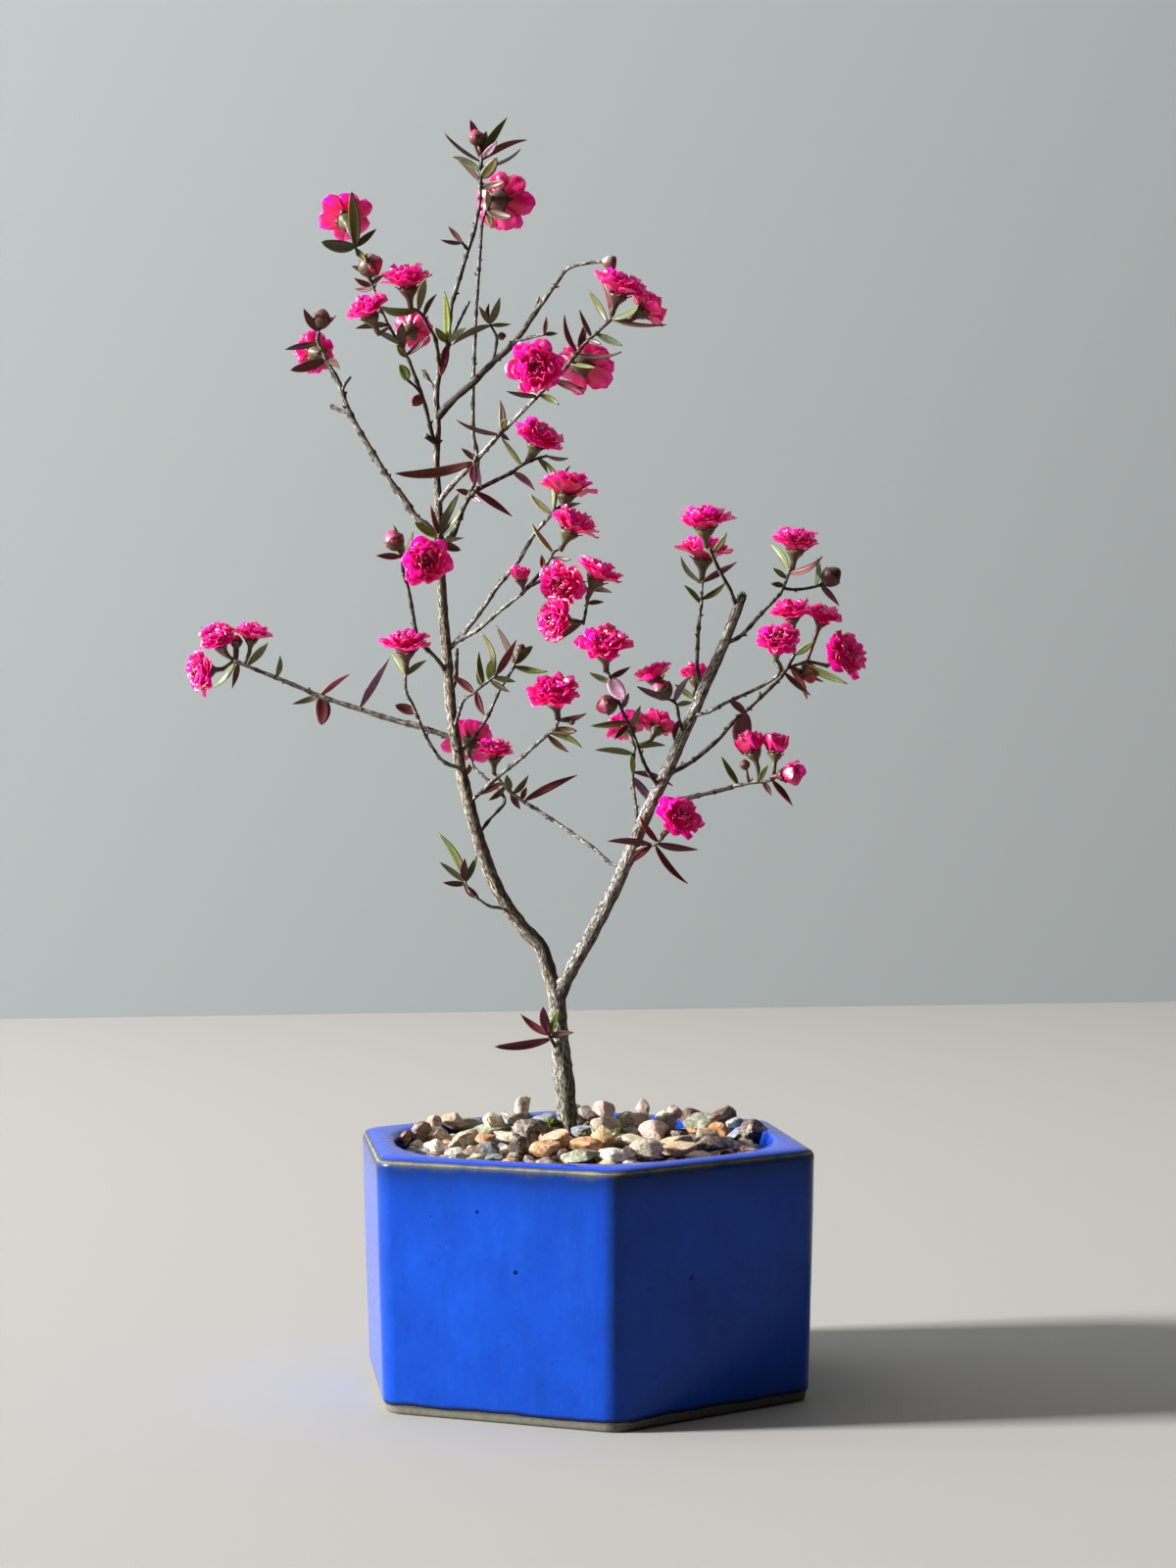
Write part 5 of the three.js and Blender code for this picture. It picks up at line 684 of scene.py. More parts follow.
def nearest_stem(place, stem_names):
    """The point of the stems' centre lines that is nearest to the place."""
    return min((to_line(place, lines[name]) for name in stem_names), key=lambda found: found[0])[1]


for stem_name, stem_row in {**WOOD, **STUBS}.items():
    lay_stem(stem_name, "wood", stem_row)

for shoot_name, shoot in SHOOTS.items():
    shoot["owner"] = "wood" if shoot.get("fused") else shoot_name
    shoot["names"] = [shoot_name if i == 0 else f"{shoot_name}_{i}" for i in range(len(shoot["stems"]))]
    for stem_name, stem_row in zip(shoot["names"], shoot["stems"]):
        lay_stem(stem_name, shoot["owner"], stem_row)

# Flowers, seated on their stems.

# How far below the flower's middle its cup starts, and the cup's length and radius, as shares of its size.
CUP_SINK = 0.22
CUP_LENGTH = 0.3
CUP_RADIUS = 0.2


def seat_flower(name, shoot, row):
    """The flower on its stem: its middle, its axis, both ends of its cup and what it belongs to."""
    across, up, axis_across, axis_up, axis_away, size = row[:6]
    before = row[6] if len(row) > 6 else 0
    axis = Vector((axis_across, axis_away, axis_up)).normalized()
    stalk = (CUP_SINK + CUP_LENGTH) * size + GAP
    root = nearest_seen(shoot["names"], across - axis.x * stalk, up - axis.z * stalk)
    centre = seen(across, up, root[2] + axis.y * stalk - before)
    return {
        "name": name, "owner": shoot["owner"], "names": shoot["names"], "size": size, "axis": axis,
        "centre": centre, "rim": centre - axis * (CUP_SINK * size + GAP), "foot": centre - axis * stalk,
    }


flowers = [
    seat_flower(name, shoot, row)
    for shoot in SHOOTS.values()
    for name, row in shoot.get("flowers", {}).items()
]

# Leaves, each swung toward or away from the viewer until it is clear of all that isn't its own shoot.

# How far leaves spread, the share near the base that may touch, the room that they keep, the share of their
# width that counts as their radius, and how far a flower reaches along its axis as a share of its size.
LEAF_SPREAD = 0.8
FREE_FROM = 0.22
LEAF_ROOM = 0.4
LEAF_GIRTH = 0.4
FLOWER_RISE = 0.27
# How far a leaf's tip is swung, in the order of the tries.
SWINGS = (0, 2, -2, 4, -4, 6, -6, 8, -8, 11, -11, 14, -14)
ALONG_LEAF = np.linspace(0, 1, 9)[:, None]
ALONG_FLOWERS = np.linspace(0, 1, 7)[:, None]


def segment_gaps(start, end, a, b):
    """The least distance from points along start to end to each segment from a to b."""
    here = start + (end - start) * ALONG_LEAF
    run = b - a
    length = np.maximum((run ** 2).sum(1), 1e-9)
    share = np.clip(((here[:, None] - a) * run).sum(2) / length, 0, 1)
    nearest = a + run * share[..., None]
    return np.linalg.norm(here[:, None] - nearest, axis=2).min(0)


def as_array(vectors):
    return np.array([tuple(v) for v in vectors], float).reshape(-1, 3)


STEM_STARTS = as_array(p for line in lines.values() for p in line.points[:-1])
STEM_ENDS = as_array(p for line in lines.values() for p in line.points[1:])
STEM_RADII = np.array([r for line in lines.values() for r in line.radii[:-1]])
STEM_OWNERS = np.array([line.owner for line in lines.values() for _ in line.radii[:-1]])
FLOWER_MIDDLES = as_array(flower["centre"] for flower in flowers)
FLOWER_AXES = as_array(flower["axis"] for flower in flowers)
FLOWER_SIZES = np.array([flower["size"] for flower in flowers])
FLOWER_OWNERS = np.array([flower["owner"] for flower in flowers])
CUP_FEET = as_array(flower["foot"] for flower in flowers)
CUP_RIMS = as_array(flower["rim"] for flower in flowers)


def clearance(base, tip, width, owner, placed):
    """How clear a leaf is of flowers, stems and leaves of other shoots. Below zero it touches."""
    tip = np.array(tip)
    start = np.array(base) + (tip - np.array(base)) * FREE_FROM
    girth = width * LEAF_GIRTH + LEAF_ROOM
    offset = (start + (tip - start) * ALONG_FLOWERS)[:, None] - FLOWER_MIDDLES
    axial = (offset * FLOWER_AXES).sum(2)
    radial = np.sqrt(np.maximum((offset ** 2).sum(2) - axial ** 2, 0))
    outside = np.maximum(radial - FLOWER_SIZES / 2, np.abs(axial) - FLOWER_SIZES * FLOWER_RISE)
    room = outside.min() - girth
    other = STEM_OWNERS != owner
    gaps = segment_gaps(start, tip, STEM_STARTS[other], STEM_ENDS[other])
    room = min(room, (gaps - STEM_RADII[other]).min() - girth)
    others = [leaf for leaf in placed if leaf["owner"] != owner]
    if others:
        bases, tips = (as_array(leaf[end] for leaf in others) for end in ("base", "tip"))
        widths = np.array([leaf["width"] for leaf in others])
        room = min(room, (segment_gaps(start, tip, bases, tips) - widths * LEAF_GIRTH).min() - girth)
    other = FLOWER_OWNERS != owner
    gaps = segment_gaps(start, tip, CUP_FEET[other], CUP_RIMS[other])
    return min(room, (gaps - FLOWER_SIZES[other] * CUP_RADIUS).min() - girth)


def place_leaf(row, shoot, placed, draw):
    """The leaf's ends: it swings until it is clear, or as clear as it gets."""
    base_across, base_up, tip_across, tip_up, width = row[:5]
    root = nearest_seen(shoot["names"], base_across, base_up)
    base = seen(*root)
    reach = math.hypot(tip_across - root[0], tip_up - root[1])
    swing = (draw() - 0.5) * LEAF_SPREAD * reach
    first = row[5] if len(row) > 5 else swing
    sense = -1 if first < 0 else 1
    best = None
    for extra in SWINGS:
        tip = seen(tip_across, tip_up, root[2] + first + sense * extra)
        room = clearance(base, tip, width, shoot["owner"], placed)
        if best is None or room > best[0]:
            best = (room, tip)
        if room > 0:
            break
    leaf = {"base": base, "tip": best[1], "width": width, "owner": shoot["owner"]}
    placed.append(leaf)
    return leaf


def place_leaves():
    """Places the leaves of all shoots, in order."""
    draw = random_from(LEAF_SEED)
    placed = []
    for shoot in SHOOTS.values():
        tints = shoot["tints"].split()
        shoot["leaf_places"] = [
            {**place_leaf(row, shoot, placed, draw), "tint": tint, "broaden": shoot.get("broaden", 1.2)}
            for row, tint in zip(shoot["leaves"], tints)
        ]


place_leaves()

# Where a flower's petals reach past its solid, it moves by this much across and up.
NUDGES = {
    "top": (1.2, 0.2), "left_high": (-1.0, -0.8), "left_top": (0.4, -0.8), "left_upper": (-1.2, 0.3),
    "left_middle": (-1.0, -0.2), "facing_back": (0.8, -0.6), "facing_left": (-0.5, 0), "front": (0, 0.3),
    "middle_low": (-0.3, 0), "centre_high": (0.4, -0.3), "centre_left": (-1.5, -0.6), "right_tip": (0.3, 0),
    "centre_right": (0.2, -0.4), "far_left_top": (-1.2, 0), "far_left_low": (-2.4, -0.4),
    "low_centre": (-0.3, 0.8), "right_most": (0.5, -0.6), "low_right_far": (-2.2, 0.5),
    "low_right_middle": (-1.4, 0), "behind_right": (0, -0.6), "behind_right_far": (0.4, -0.6),
    "right_crown": (-0.3, 0.3), "centre_low": (-0.8, -0.9), "low_front": (0.5, 0.2), "left_front": (0, -0.3),
}
# Flowers whose petals face another way than their solid: across, up and away from the viewer.
PETAL_FACINGS = {
    "right_high": (-0.05, 0.96, -0.26), "centre_right": (0.4, 0.85, -0.1), "middle_low": (0.15, 0.9, 0.12),
    "right_most": (0.6, 0.4, -0.65), "right_upright": (0.05, 0.97, -0.16), "centre_high": (0.45, 0.88, -0.2),
    "right_tip": (0.12, 0.93, -0.3), "right_front": (0.05, 0.75, -0.65), "right_pair": (-0.1, 0.9, -0.35),
    "right_pair_far": (0.3, 0.85, -0.4), "left_small": (0, 0.95, -0.3), "front": (-0.05, 0.8, -0.55),
}
for flower in flowers:
    across, up = NUDGES.get(flower["name"], (0, 0))
    for part in ("centre", "rim", "foot"):
        flower[part] += Vector((across, 0, up))
    if flower["name"] in PETAL_FACINGS:
        across, up, away = PETAL_FACINGS[flower["name"]]
        flower["axis"] = Vector((across, away, up)).normalized()
        flower["rim"] = flower["centre"] - flower["axis"] * (CUP_SINK * flower["size"] + GAP)
        flower["foot"] = flower["rim"] - flower["axis"] * (CUP_LENGTH * flower["size"])

# Colours, written as they look in the photograph.


def colour(red, green, blue):
    """A linear colour with full alpha from values of 0 to 255 as seen."""
    def linear(value):
        value /= 255
        return value / 12.92 if value <= 0.04045 else ((value + 0.055) / 1.055) ** 2.4
    return (linear(red), linear(green), linear(blue), 1)


# The pale and lilac tints are partly the leaves' own colour and partly painted sheen of leaves that catch the
# light.
LEAF_TINTS = {
    "dark": colour(46, 62, 34), "green": colour(82, 130, 44), "olive": colour(98, 112, 40),
    "yellow": colour(126, 172, 40), "pale": colour(160, 190, 124), "blue": colour(84, 128, 86),
    "burgundy": colour(86, 26, 36), "red": colour(170, 40, 42), "purple": colour(112, 44, 70),
    "lilac": colour(164, 132, 158), "brown": colour(112, 68, 46), "pink": colour(200, 104, 120),
}
BUD_TINTS = {
    "pink": colour(238, 74, 140), "red": colour(214, 40, 66), "burgundy": colour(124, 34, 54),
    "brown": colour(138, 72, 58), "dark": colour(96, 44, 48),
}


def shaded(tint, shade):
    """The tint made darker or lighter."""
    return (tint[0] * shade, tint[1] * shade, tint[2] * shade, 1)


# Meshes. Each piece is one bmesh: parts are added to it, and finish_piece places it.

# Vertices nearer than this are joined, and edges shorter than this dissolved.
MERGE_DISTANCE = 0.002
SHORTEST_EDGE = 0.001


def colour_layer(bm, name):
    return bm.verts.layers.float_color.new(name)


def finish_piece(name, bm, materials, replaces=(), place=TREE_PLACE):
    """Cleans the bmesh and turns it into a piece that rides on the root and stands in for the given nodes."""
    bmesh.ops.remove_doubles(bm, verts=bm.verts, dist=MERGE_DISTANCE)
    bmesh.ops.dissolve_degenerate(bm, edges=bm.edges, dist=SHORTEST_EDGE)
    bmesh.ops.recalc_face_normals(bm, faces=bm.faces)
    bmesh.ops.transform(bm, matrix=place, verts=bm.verts)
    mesh = bpy.data.meshes.new(name)
    bm.to_mesh(mesh)
    bm.free()
    mesh.shade_smooth()
    for material in materials:
        mesh.materials.append(material)
    piece = bpy.data.objects.new(name, mesh)
    bpy.context.scene.collection.objects.link(piece)
    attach(piece, "root")
    if replaces:
        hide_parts(*replaces)
    return piece


def sheet(bm, across, along, place, material=0):
    """A grid of faces. place(u, t, vertex) gives each vertex its place, with u and t from 0 to 1."""
    grid = bmesh.ops.create_grid(bm, x_segments=across, y_segments=along, size=0.5)["verts"]
    faces = {face for v in grid for face in v.link_faces}
    uv = bm.loops.layers.uv.verify()
    for face in faces:
        face.material_index = material
        for loop in face.loops:
            loop[uv].uv = (loop.vert.co.x + 0.5, loop.vert.co.y + 0.5)
    for v in grid:
        u, t = v.co.x + 0.5, v.co.y + 0.5
        v.co = place(u, t, v)
    return grid


def course_frames(points):
    """Two directions across the course at each of its points, turning no more than the course does."""
    last = len(points) - 1
    tangents = [(points[min(i + 1, last)] - points[max(i - 1, 0)]).normalized() for i in range(len(points))]
    normal = Vector((0, 1, 0)) if abs(tangents[0].y) < 0.8 else Vector((1, 0, 0))
    frames = []
    for tangent in tangents:
        normal = (normal - tangent * normal.dot(tangent)).normalized()
        frames.append((normal, tangent.cross(normal)))
    return frames


def outward(frame, turn):
    """The direction out of a course at an angle round it."""
    normal, side = frame
    return normal * math.cos(turn) - side * math.sin(turn)


def five_ribs(depth):
    return lambda turn, row: 1 + depth * math.cos(5 * turn)


def round_body(bm, points, radii, sides, lay, material=0, shape=None):
    """A closed round body along the points. lay(vertex, turn, row) sets its layers and shape(turn, row)
    swells it."""
    points = [points[0], *points, points[-1]]
    radii = [0, *radii, 0]
    frames = course_frames(points[1:-1])
    frames = [frames[0], *frames, frames[-1]]
    rows = len(points) - 1

    def place(u, t, v):
        row = round(t * rows)
        turn = round(u * sides) % sides / sides * math.tau
        radius = radii[row] * (shape(turn, row - 1) if shape and radii[row] else 1)
        lay(v, turn, min(max(row - 1, 0), rows - 2))
        normal, side = frames[row]
        return points[row] + normal * (math.cos(turn) * radius) - side * (math.sin(turn) * radius)

    return sheet(bm, sides, rows, place, material)


def smooth_course(points, radii, spacing):
    """Points and radii along a round course through the given ones, evenly spaced."""
    given = [tuple(p) + (r,) for p, r in zip(points, radii)]
    given = np.array([given[0], *given, given[-1]])
    rows = [given[1]]
    for a, b, c, d in zip(given, given[1:], given[2:], given[3:]):
        count = max(2, round(np.linalg.norm(c[:3] - b[:3]) / spacing))
        for i in range(1, count + 1):
            t = i / count
            rows.append(0.5 * (
                2 * b + (c - a) * t + (2 * a - 5 * b + 4 * c - d) * t ** 2 + (3 * b - a - 3 * c + d) * t ** 3
            ))
    return [Vector(row[:3]) for row in rows], [row[3] for row in rows]


# Materials.


def new_material(name, roughness=0.5, specular=0.5):
    """A material, its node tree and its main shader."""
    material = bpy.data.materials.new(name)
    material.use_nodes = True
    shader = material.node_tree.nodes["Principled BSDF"]
    shader.inputs["Roughness"].default_value = roughness
    shader.inputs["Specular IOR Level"].default_value = specular
    return material, material.node_tree, shader


def add_node(tree, kind, links=None, **settings):
    """Adds a node and sets its values. links gives each input, by name or number, a socket or a value."""
    node = tree.nodes.new(kind)
    for key, value in settings.items():
        setattr(node, key, value)
    for key, value in (links or {}).items():
        if isinstance(value, bpy.types.NodeSocket):
            tree.links.new(value, node.inputs[key])
        else:
            node.inputs[key].default_value = value
    return node


def ramp(tree, factor, stops):
    """A colour ramp. Its stops are pairs of a position and a colour or a grey."""
    node = add_node(tree, "ShaderNodeValToRGB", {0: factor})
    elements = node.color_ramp.elements
    while len(elements) < len(stops):
        elements.new(0.5)
    for element, (position, value) in zip(elements, stops):
        element.position = position
        element.color = value if isinstance(value, tuple) else (value, value, value, 1)
    return node.outputs["Color"]


def mix(tree, factor, a, b, blend="MIX"):
    links = {0: factor, 6: a, 7: b}
    return add_node(tree, "ShaderNodeMix", links, data_type="RGBA", blend_type=blend).outputs[2]


def maths(tree, operation, a, b=0.0, clamp=False):
    return add_node(tree, "ShaderNodeMath", {0: a, 1: b}, operation=operation, use_clamp=clamp).outputs[0]


def plus(tree, a, b):
    return maths(tree, "ADD", a, b)


def minus(tree, a, b):
    return maths(tree, "SUBTRACT", a, b)


def times(tree, a, b):
    return maths(tree, "MULTIPLY", a, b)


def grain(tree, where, scale, detail=3, roughness=0.55, stretch=(1, 1, 1)):
    """Cloudy noise from 0 to 1 on the given coordinates, drawn out along an axis by stretch."""
    return add_node(tree, "ShaderNodeGroup", {
        "Vector": where, "Scale": scale, "Detail": detail, "Roughness": roughness, "Stretch": stretch,
    }, node_tree=cloud_group).outputs["Value"]


def patch(tree, color, second, value, start, end, strength):
    """Color that turns into Second where the value goes from start to end, as far as strength says."""
    return add_node(tree, "ShaderNodeGroup", {
        "Color": color, "Second": second, "Value": value, "From": start, "To": end, "Strength": strength,
    }, node_tree=patch_group).outputs["Color"]


def new_group(name, inputs, output):
    """An empty node group with named sockets, its input node and its output node."""
    group = bpy.data.node_groups.new(name, "ShaderNodeTree")
    for socket, kind in inputs.items():
        group.interface.new_socket(name=socket, in_out="INPUT", socket_type=f"NodeSocket{kind}")
    group.interface.new_socket(name=output[0], in_out="OUTPUT", socket_type=f"NodeSocket{output[1]}")
    return group, group.nodes.new("NodeGroupInput"), group.nodes.new("NodeGroupOutput")


def make_cloud_group():
    """Noise on coordinates that can be stretched."""
    numbers = dict.fromkeys(("Scale", "Detail", "Roughness"), "Float")
    sockets = {"Vector": "Vector", **numbers, "Stretch": "Vector"}
    group, source, result = new_group("clouds", sockets, ("Value", "Float"))
    mapping = add_node(group, "ShaderNodeMapping", {"Vector": source.outputs[0], "Scale": source.outputs[4]})
    texture = add_node(group, "ShaderNodeTexNoise", {
        "Vector": mapping.outputs[0], "Scale": source.outputs[1], "Detail": source.outputs[2],
        "Roughness": source.outputs[3],
    })
    group.links.new(texture.outputs["Fac"], result.inputs[0])
    return group


def make_patch_group():
    """A mix of two colours that follows a value."""
    numbers = dict.fromkeys(("Value", "From", "To", "Strength"), "Float")
    sockets = {"Color": "Color", "Second": "Color", **numbers}
    group, source, result = new_group("patches", sockets, ("Color", "Color"))
    span = add_node(group, "ShaderNodeMapRange", {
        "Value": source.outputs[2], "From Min": source.outputs[3], "From Max": source.outputs[4],
        "To Max": source.outputs[5],
    })
    group.links.new(mix(group, span.outputs[0], source.outputs[0], source.outputs[1]), result.inputs[0])
    return group


cloud_group = make_cloud_group()
patch_group = make_patch_group()


def paint(tree, shader, body):
    tree.links.new(body, shader.inputs["Base Color"])


def relief(tree, shader, height, strength, distance):
    bump = add_node(tree, "ShaderNodeBump", {"Height": height, "Strength": strength, "Distance": distance})
    tree.links.new(bump.outputs[0], shader.inputs["Normal"])


def attribute(tree, name, output="Color"):
    return add_node(tree, "ShaderNodeAttribute", attribute_name=name).outputs[output]


def channels(tree, name):
    """The three channels of a colour attribute."""
    node = add_node(tree, "ShaderNodeSeparateColor", {0: attribute(tree, name)})
    return node.outputs[0], node.outputs[1], node.outputs[2]


def object_place(tree):
    return add_node(tree, "ShaderNodeTexCoord").outputs["Object"]


def bark_material():
    """Fissured bark. Its grain runs along the stem; tone holds silver, green and dark shares. Besides the
    bark's own tones, the silver share carries painted light and the dark share painted shade.
    """
    material, tree, shader = new_material("bark", 0.72, 0.3)
    where = attribute(tree, "grain", "Vector")
    silver, green, dark = channels(tree, "tone")
    ridges = grain(tree, where, 1.7, 6, 0.62, (1, 1, 0.26))
    flakes = grain(tree, where, 3.2, 4, 0.6, (1, 1, 0.5))
    cracks = maths(tree, "ABSOLUTE", minus(tree, grain(tree, where, 1.3, 5, 0.6, (1, 1, 0.3)), 0.5))
    base = ramp(tree, ridges, [
        (0.39, colour(50, 38, 28)), (0.46, colour(116, 97, 74)),
        (0.55, colour(172, 154, 126)), (0.67, colour(220, 206, 180)),
    ])
    weathered_and_painted_light = ramp(tree, ridges, [
        (0.36, colour(84, 78, 70)), (0.45, colour(150, 146, 138)),
        (0.56, colour(204, 204, 198)), (0.72, colour(240, 240, 236)),
    ])
    young = ramp(tree, ridges, [
        (0.38, colour(54, 50, 30)), (0.5, colour(122, 118, 76)), (0.66, colour(190, 186, 142)),
    ])
    shade = ramp(tree, flakes, [(0.35, colour(24, 18, 16)), (0.65, colour(78, 62, 52))])
    patches = ramp(tree, flakes, [(0.4, 0.0), (0.6, 1.0)])
    # The pale weathered bark also shows where the silver share holds painted light.
    silver_and_painted_light_mask = maths(tree, "MULTIPLY", silver, plus(tree, times(tree, patches, 0.6), 0.6), True)
    tinted = mix(tree, silver_and_painted_light_mask, base, weathered_and_painted_light)
    tinted = mix(tree, green, tinted, young)
    # The dark colours also show where the dark share holds painted shade.
    tinted = mix(tree, dark, tinted, shade)
    scarred = mix(tree, times(tree, silver, 0.6), tinted, colour(72, 58, 48))
    tinted = patch(tree, tinted, scarred, grain(tree, where, 0.9, 3, 0.6, (0.8, 0.8, 1.1)), 0.57, 0.66, 1.0)
    tinted = patch(tree, colour(40, 30, 24), tinted, cracks, 0.007, 0.03, 1.0)
    paint(tree, shader, tinted)
    height = plus(tree, ridges, times(tree, flakes, 0.35))
    height = plus(tree, height, ramp(tree, cracks, [(0.0, 0.0), (0.035, 0.35)]))
    relief(tree, shader, height, 1.0, 0.001)
    return material


def leaf_material():
    """Leathery leaf: u runs across it, v along it. The tint attribute holds its colour."""
    material, tree, shader = new_material("leaf", 0.42, 0.36)
    uv_map = add_node(tree, "ShaderNodeUVMap", uv_map="UVMap").outputs[0]
    u, v = add_node(tree, "ShaderNodeSeparateXYZ", {0: uv_map}).outputs[:2]
    aside = maths(tree, "ABSOLUTE", minus(tree, u, 0.5))
    rib = ramp(tree, aside, [(0.02, 1.0), (0.07, 0.0)])
    slant = minus(tree, times(tree, v, 15), times(tree, aside, 9))
    veins = ramp(tree, maths(tree, "FRACT", slant), [(0.0, 1.0), (0.14, 0.0), (0.86, 0.0), (1.0, 1.0)])
    tint = attribute(tree, "tint")
    mottle = grain(tree, object_place(tree), 900, 3)
    deep = mix(tree, 1.0, tint, (0.64, 0.62, 0.62, 1), "MULTIPLY")
    light = mix(tree, 0.4, tint, colour(186, 192, 140))
    body = patch(tree, tint, deep, mottle, 0.38, 0.65, 1.0)
    body = mix(tree, times(tree, veins, 0.16), body, light)
    body = mix(tree, times(tree, rib, 0.6), body, light)
    body = patch(tree, body, colour(110, 50, 52), aside, 0.42, 0.5, 0.4)
    paint(tree, shader, body)
    relief(tree, shader, plus(tree, times(tree, veins, 0.3), rib), 0.35, 0.0002)
    return material


def petal_material():
    """Silky petal: v runs from its claw to its edge. The petal attribute holds how deep in the flower it is,
    a draw of its own and how light it is, the last partly a paler rim and partly painted highlight. The petal
    also glows faintly in its own colour: painted light."""
    material, tree, shader = new_material("petal", 0.36, 0.6)
    uv_map = add_node(tree, "ShaderNodeUVMap", uv_map="UVMap").outputs[0]
    v = add_node(tree, "ShaderNodeSeparateXYZ", {0: uv_map}).outputs[1]
    inside, own, light = channels(tree, "petal")
    streaks = grain(tree, uv_map, 9, 3, 0.6, (3, 0.35, 1))
    body = ramp(tree, v, [
        (0.0, colour(160, 0, 44)), (0.2, colour(240, 1, 76)),
        (0.55, colour(255, 5, 100)), (1.0, colour(255, 70, 158)),
    ])
    # Paler rims, partly painted highlight, mixed in by the light share.
    paler_rim_and_painted_highlight = ramp(tree, v, [
        (0.0, colour(240, 10, 88)), (0.35, colour(255, 52, 140)),
        (0.75, colour(255, 172, 228)), (1.0, colour(255, 230, 248)),
    ])
    body = mix(tree, light, body, paler_rim_and_painted_highlight)
    body = mix(tree, times(tree, inside, 0.8), body, colour(112, 0, 34))
    body = mix(tree, times(tree, own, 0.35), body, colour(255, 30, 122))
    body = patch(tree, body, colour(200, 4, 78), streaks, 0.44, 0.72, 0.35)
    paint(tree, shader, body)
    # Painted light: the petals glow faintly in their own colour.
    tree.links.new(body, shader.inputs["Emission Color"])
    shader.inputs["Emission Strength"].default_value = 0.045
    shader.inputs["Subsurface Weight"].default_value = 0.85
    shader.inputs["Subsurface Radius"].default_value = (1.0, 0.25, 0.6)
    shader.inputs["Subsurface Scale"].default_value = 0.002
    relief(tree, shader, streaks, 0.35, 0.0004)
    return material


def cup_material():
    """Flower cups, sepals and buds. The tint attribute holds their colour."""
    material, tree, shader = new_material("cup", 0.45, 0.45)
    mottle = grain(tree, object_place(tree), 700, 4)
    tint = attribute(tree, "tint")
    deep = mix(tree, 1.0, tint, (0.52, 0.34, 0.3, 1), "MULTIPLY")
    body = patch(tree, tint, deep, mottle, 0.36, 0.56, 0.85)
    paint(tree, shader, body)
    relief(tree, shader, mottle, 0.3, 0.0003)
    return material


def grainy_material(name, roughness, specular, scale, detail, texture, stops, depth=0):
    """A plain stuff in a few shades of fine grains. Depth is that of its relief in metres."""
    material, tree, shader = new_material(name, roughness, specular)
    fine = grain(tree, object_place(tree), scale, detail, texture)
    paint(tree, shader, ramp(tree, fine, stops))
    if depth:
        relief(tree, shader, fine, 1.0, depth)
    return material


bark = bark_material()
leaf = leaf_material()
petal = petal_material()
cup = cup_material()
anther = grainy_material("anther", 0.6, 0.5, 2500, 2, 0.55, [
    (0.35, colour(226, 178, 96)), (0.65, colour(252, 232, 178)),
])

# Wood.

# How silver, green, dark and rough the bark is. The scars add to these and take from them, and so do the
# painted light on the side toward the key light and the painted shade on the far side.
STEM_LOOKS = {
    "trunk": (0.45, 0.12, -0.1, 1.0), "left_low": (0.1, 0.1, 0.36, 1.1), "left_high": (0.2, 0.0, 0.52, 1.0),
    "right_limb": (0.5, 0.0, 0.05, 1.0), "arch": (0.45, 0.0, 1.2, 1.3), "lower_rise": (0.85, 0.0, 0.2, 0.7),
    "from_right": (0.6, 0.0, 0.25, 0.8), "long_left": (0.25, 0.1, 0.7, 0.9),
    "right_low": (0.3, 0.0, 1.25, 1.1), "right_long": (0.55, 0.0, 0.4, 1.0),
    "bloom_stalk": (0.3, 0.0, 0.5, 1.1), "end_fork": (0.5, 0.0, 0.4, 1.0),
    "middle_rise": (0.45, 0.0, 0.45, 1.0), "beside_left": (1.0, 0.0, -0.2, 1.0),
    "right_reach": (0.9, 0.0, -0.05, 0.8), "right_reach_low": (0.8, 0.0, 0.1, 0.9),
}
TWIG_LOOK = (0.45, 0.05, 0.65, 1.2)
SHOOT_LOOK = (0.45, 0.15, 0.6, 1.1)
SHOOT_LOOKS = {
    "low_left": (1.2, 0.0, -0.5, 0.9), "cross_tip": (0.7, 0.0, 0.2, 1.0), "beside_tip": (0.9, 0.0, 0.1, 1.0),
}
STEM_SIDES = {"trunk": 28, "left_low": 20, "left_high": 14, "right_limb": 20}
TWIG_SIDES = 8
# Five ribs need a number of sides that five divides.
RIBBED_SIDES = 15
# How far apart the rows of faces lie along limbs and along twigs.
LIMB_SPACING = 1.3
TWIG_SPACING = 1.1
# A stem thinner than this is a knotty twig.
TWIG_RADIUS = 1.2
# How far apart spurs stand on limbs, twigs and green ends, and how far each is turned from the one before.
LIMB_SPURS = 16
TWIG_SPURS = 6
SHOOT_SPURS = 5
SPUR_TURN = 2.4
SPLINTERS = 9
# Toward the light that is painted onto the bark.
TOWARD_PAINTED_LIGHT = Vector((-0.86, -0.12, 0.5))


def bark_layers(bm):
    return {"grain": bm.verts.layers.float_vector.new("grain"), "tone": colour_layer(bm, "tone")}


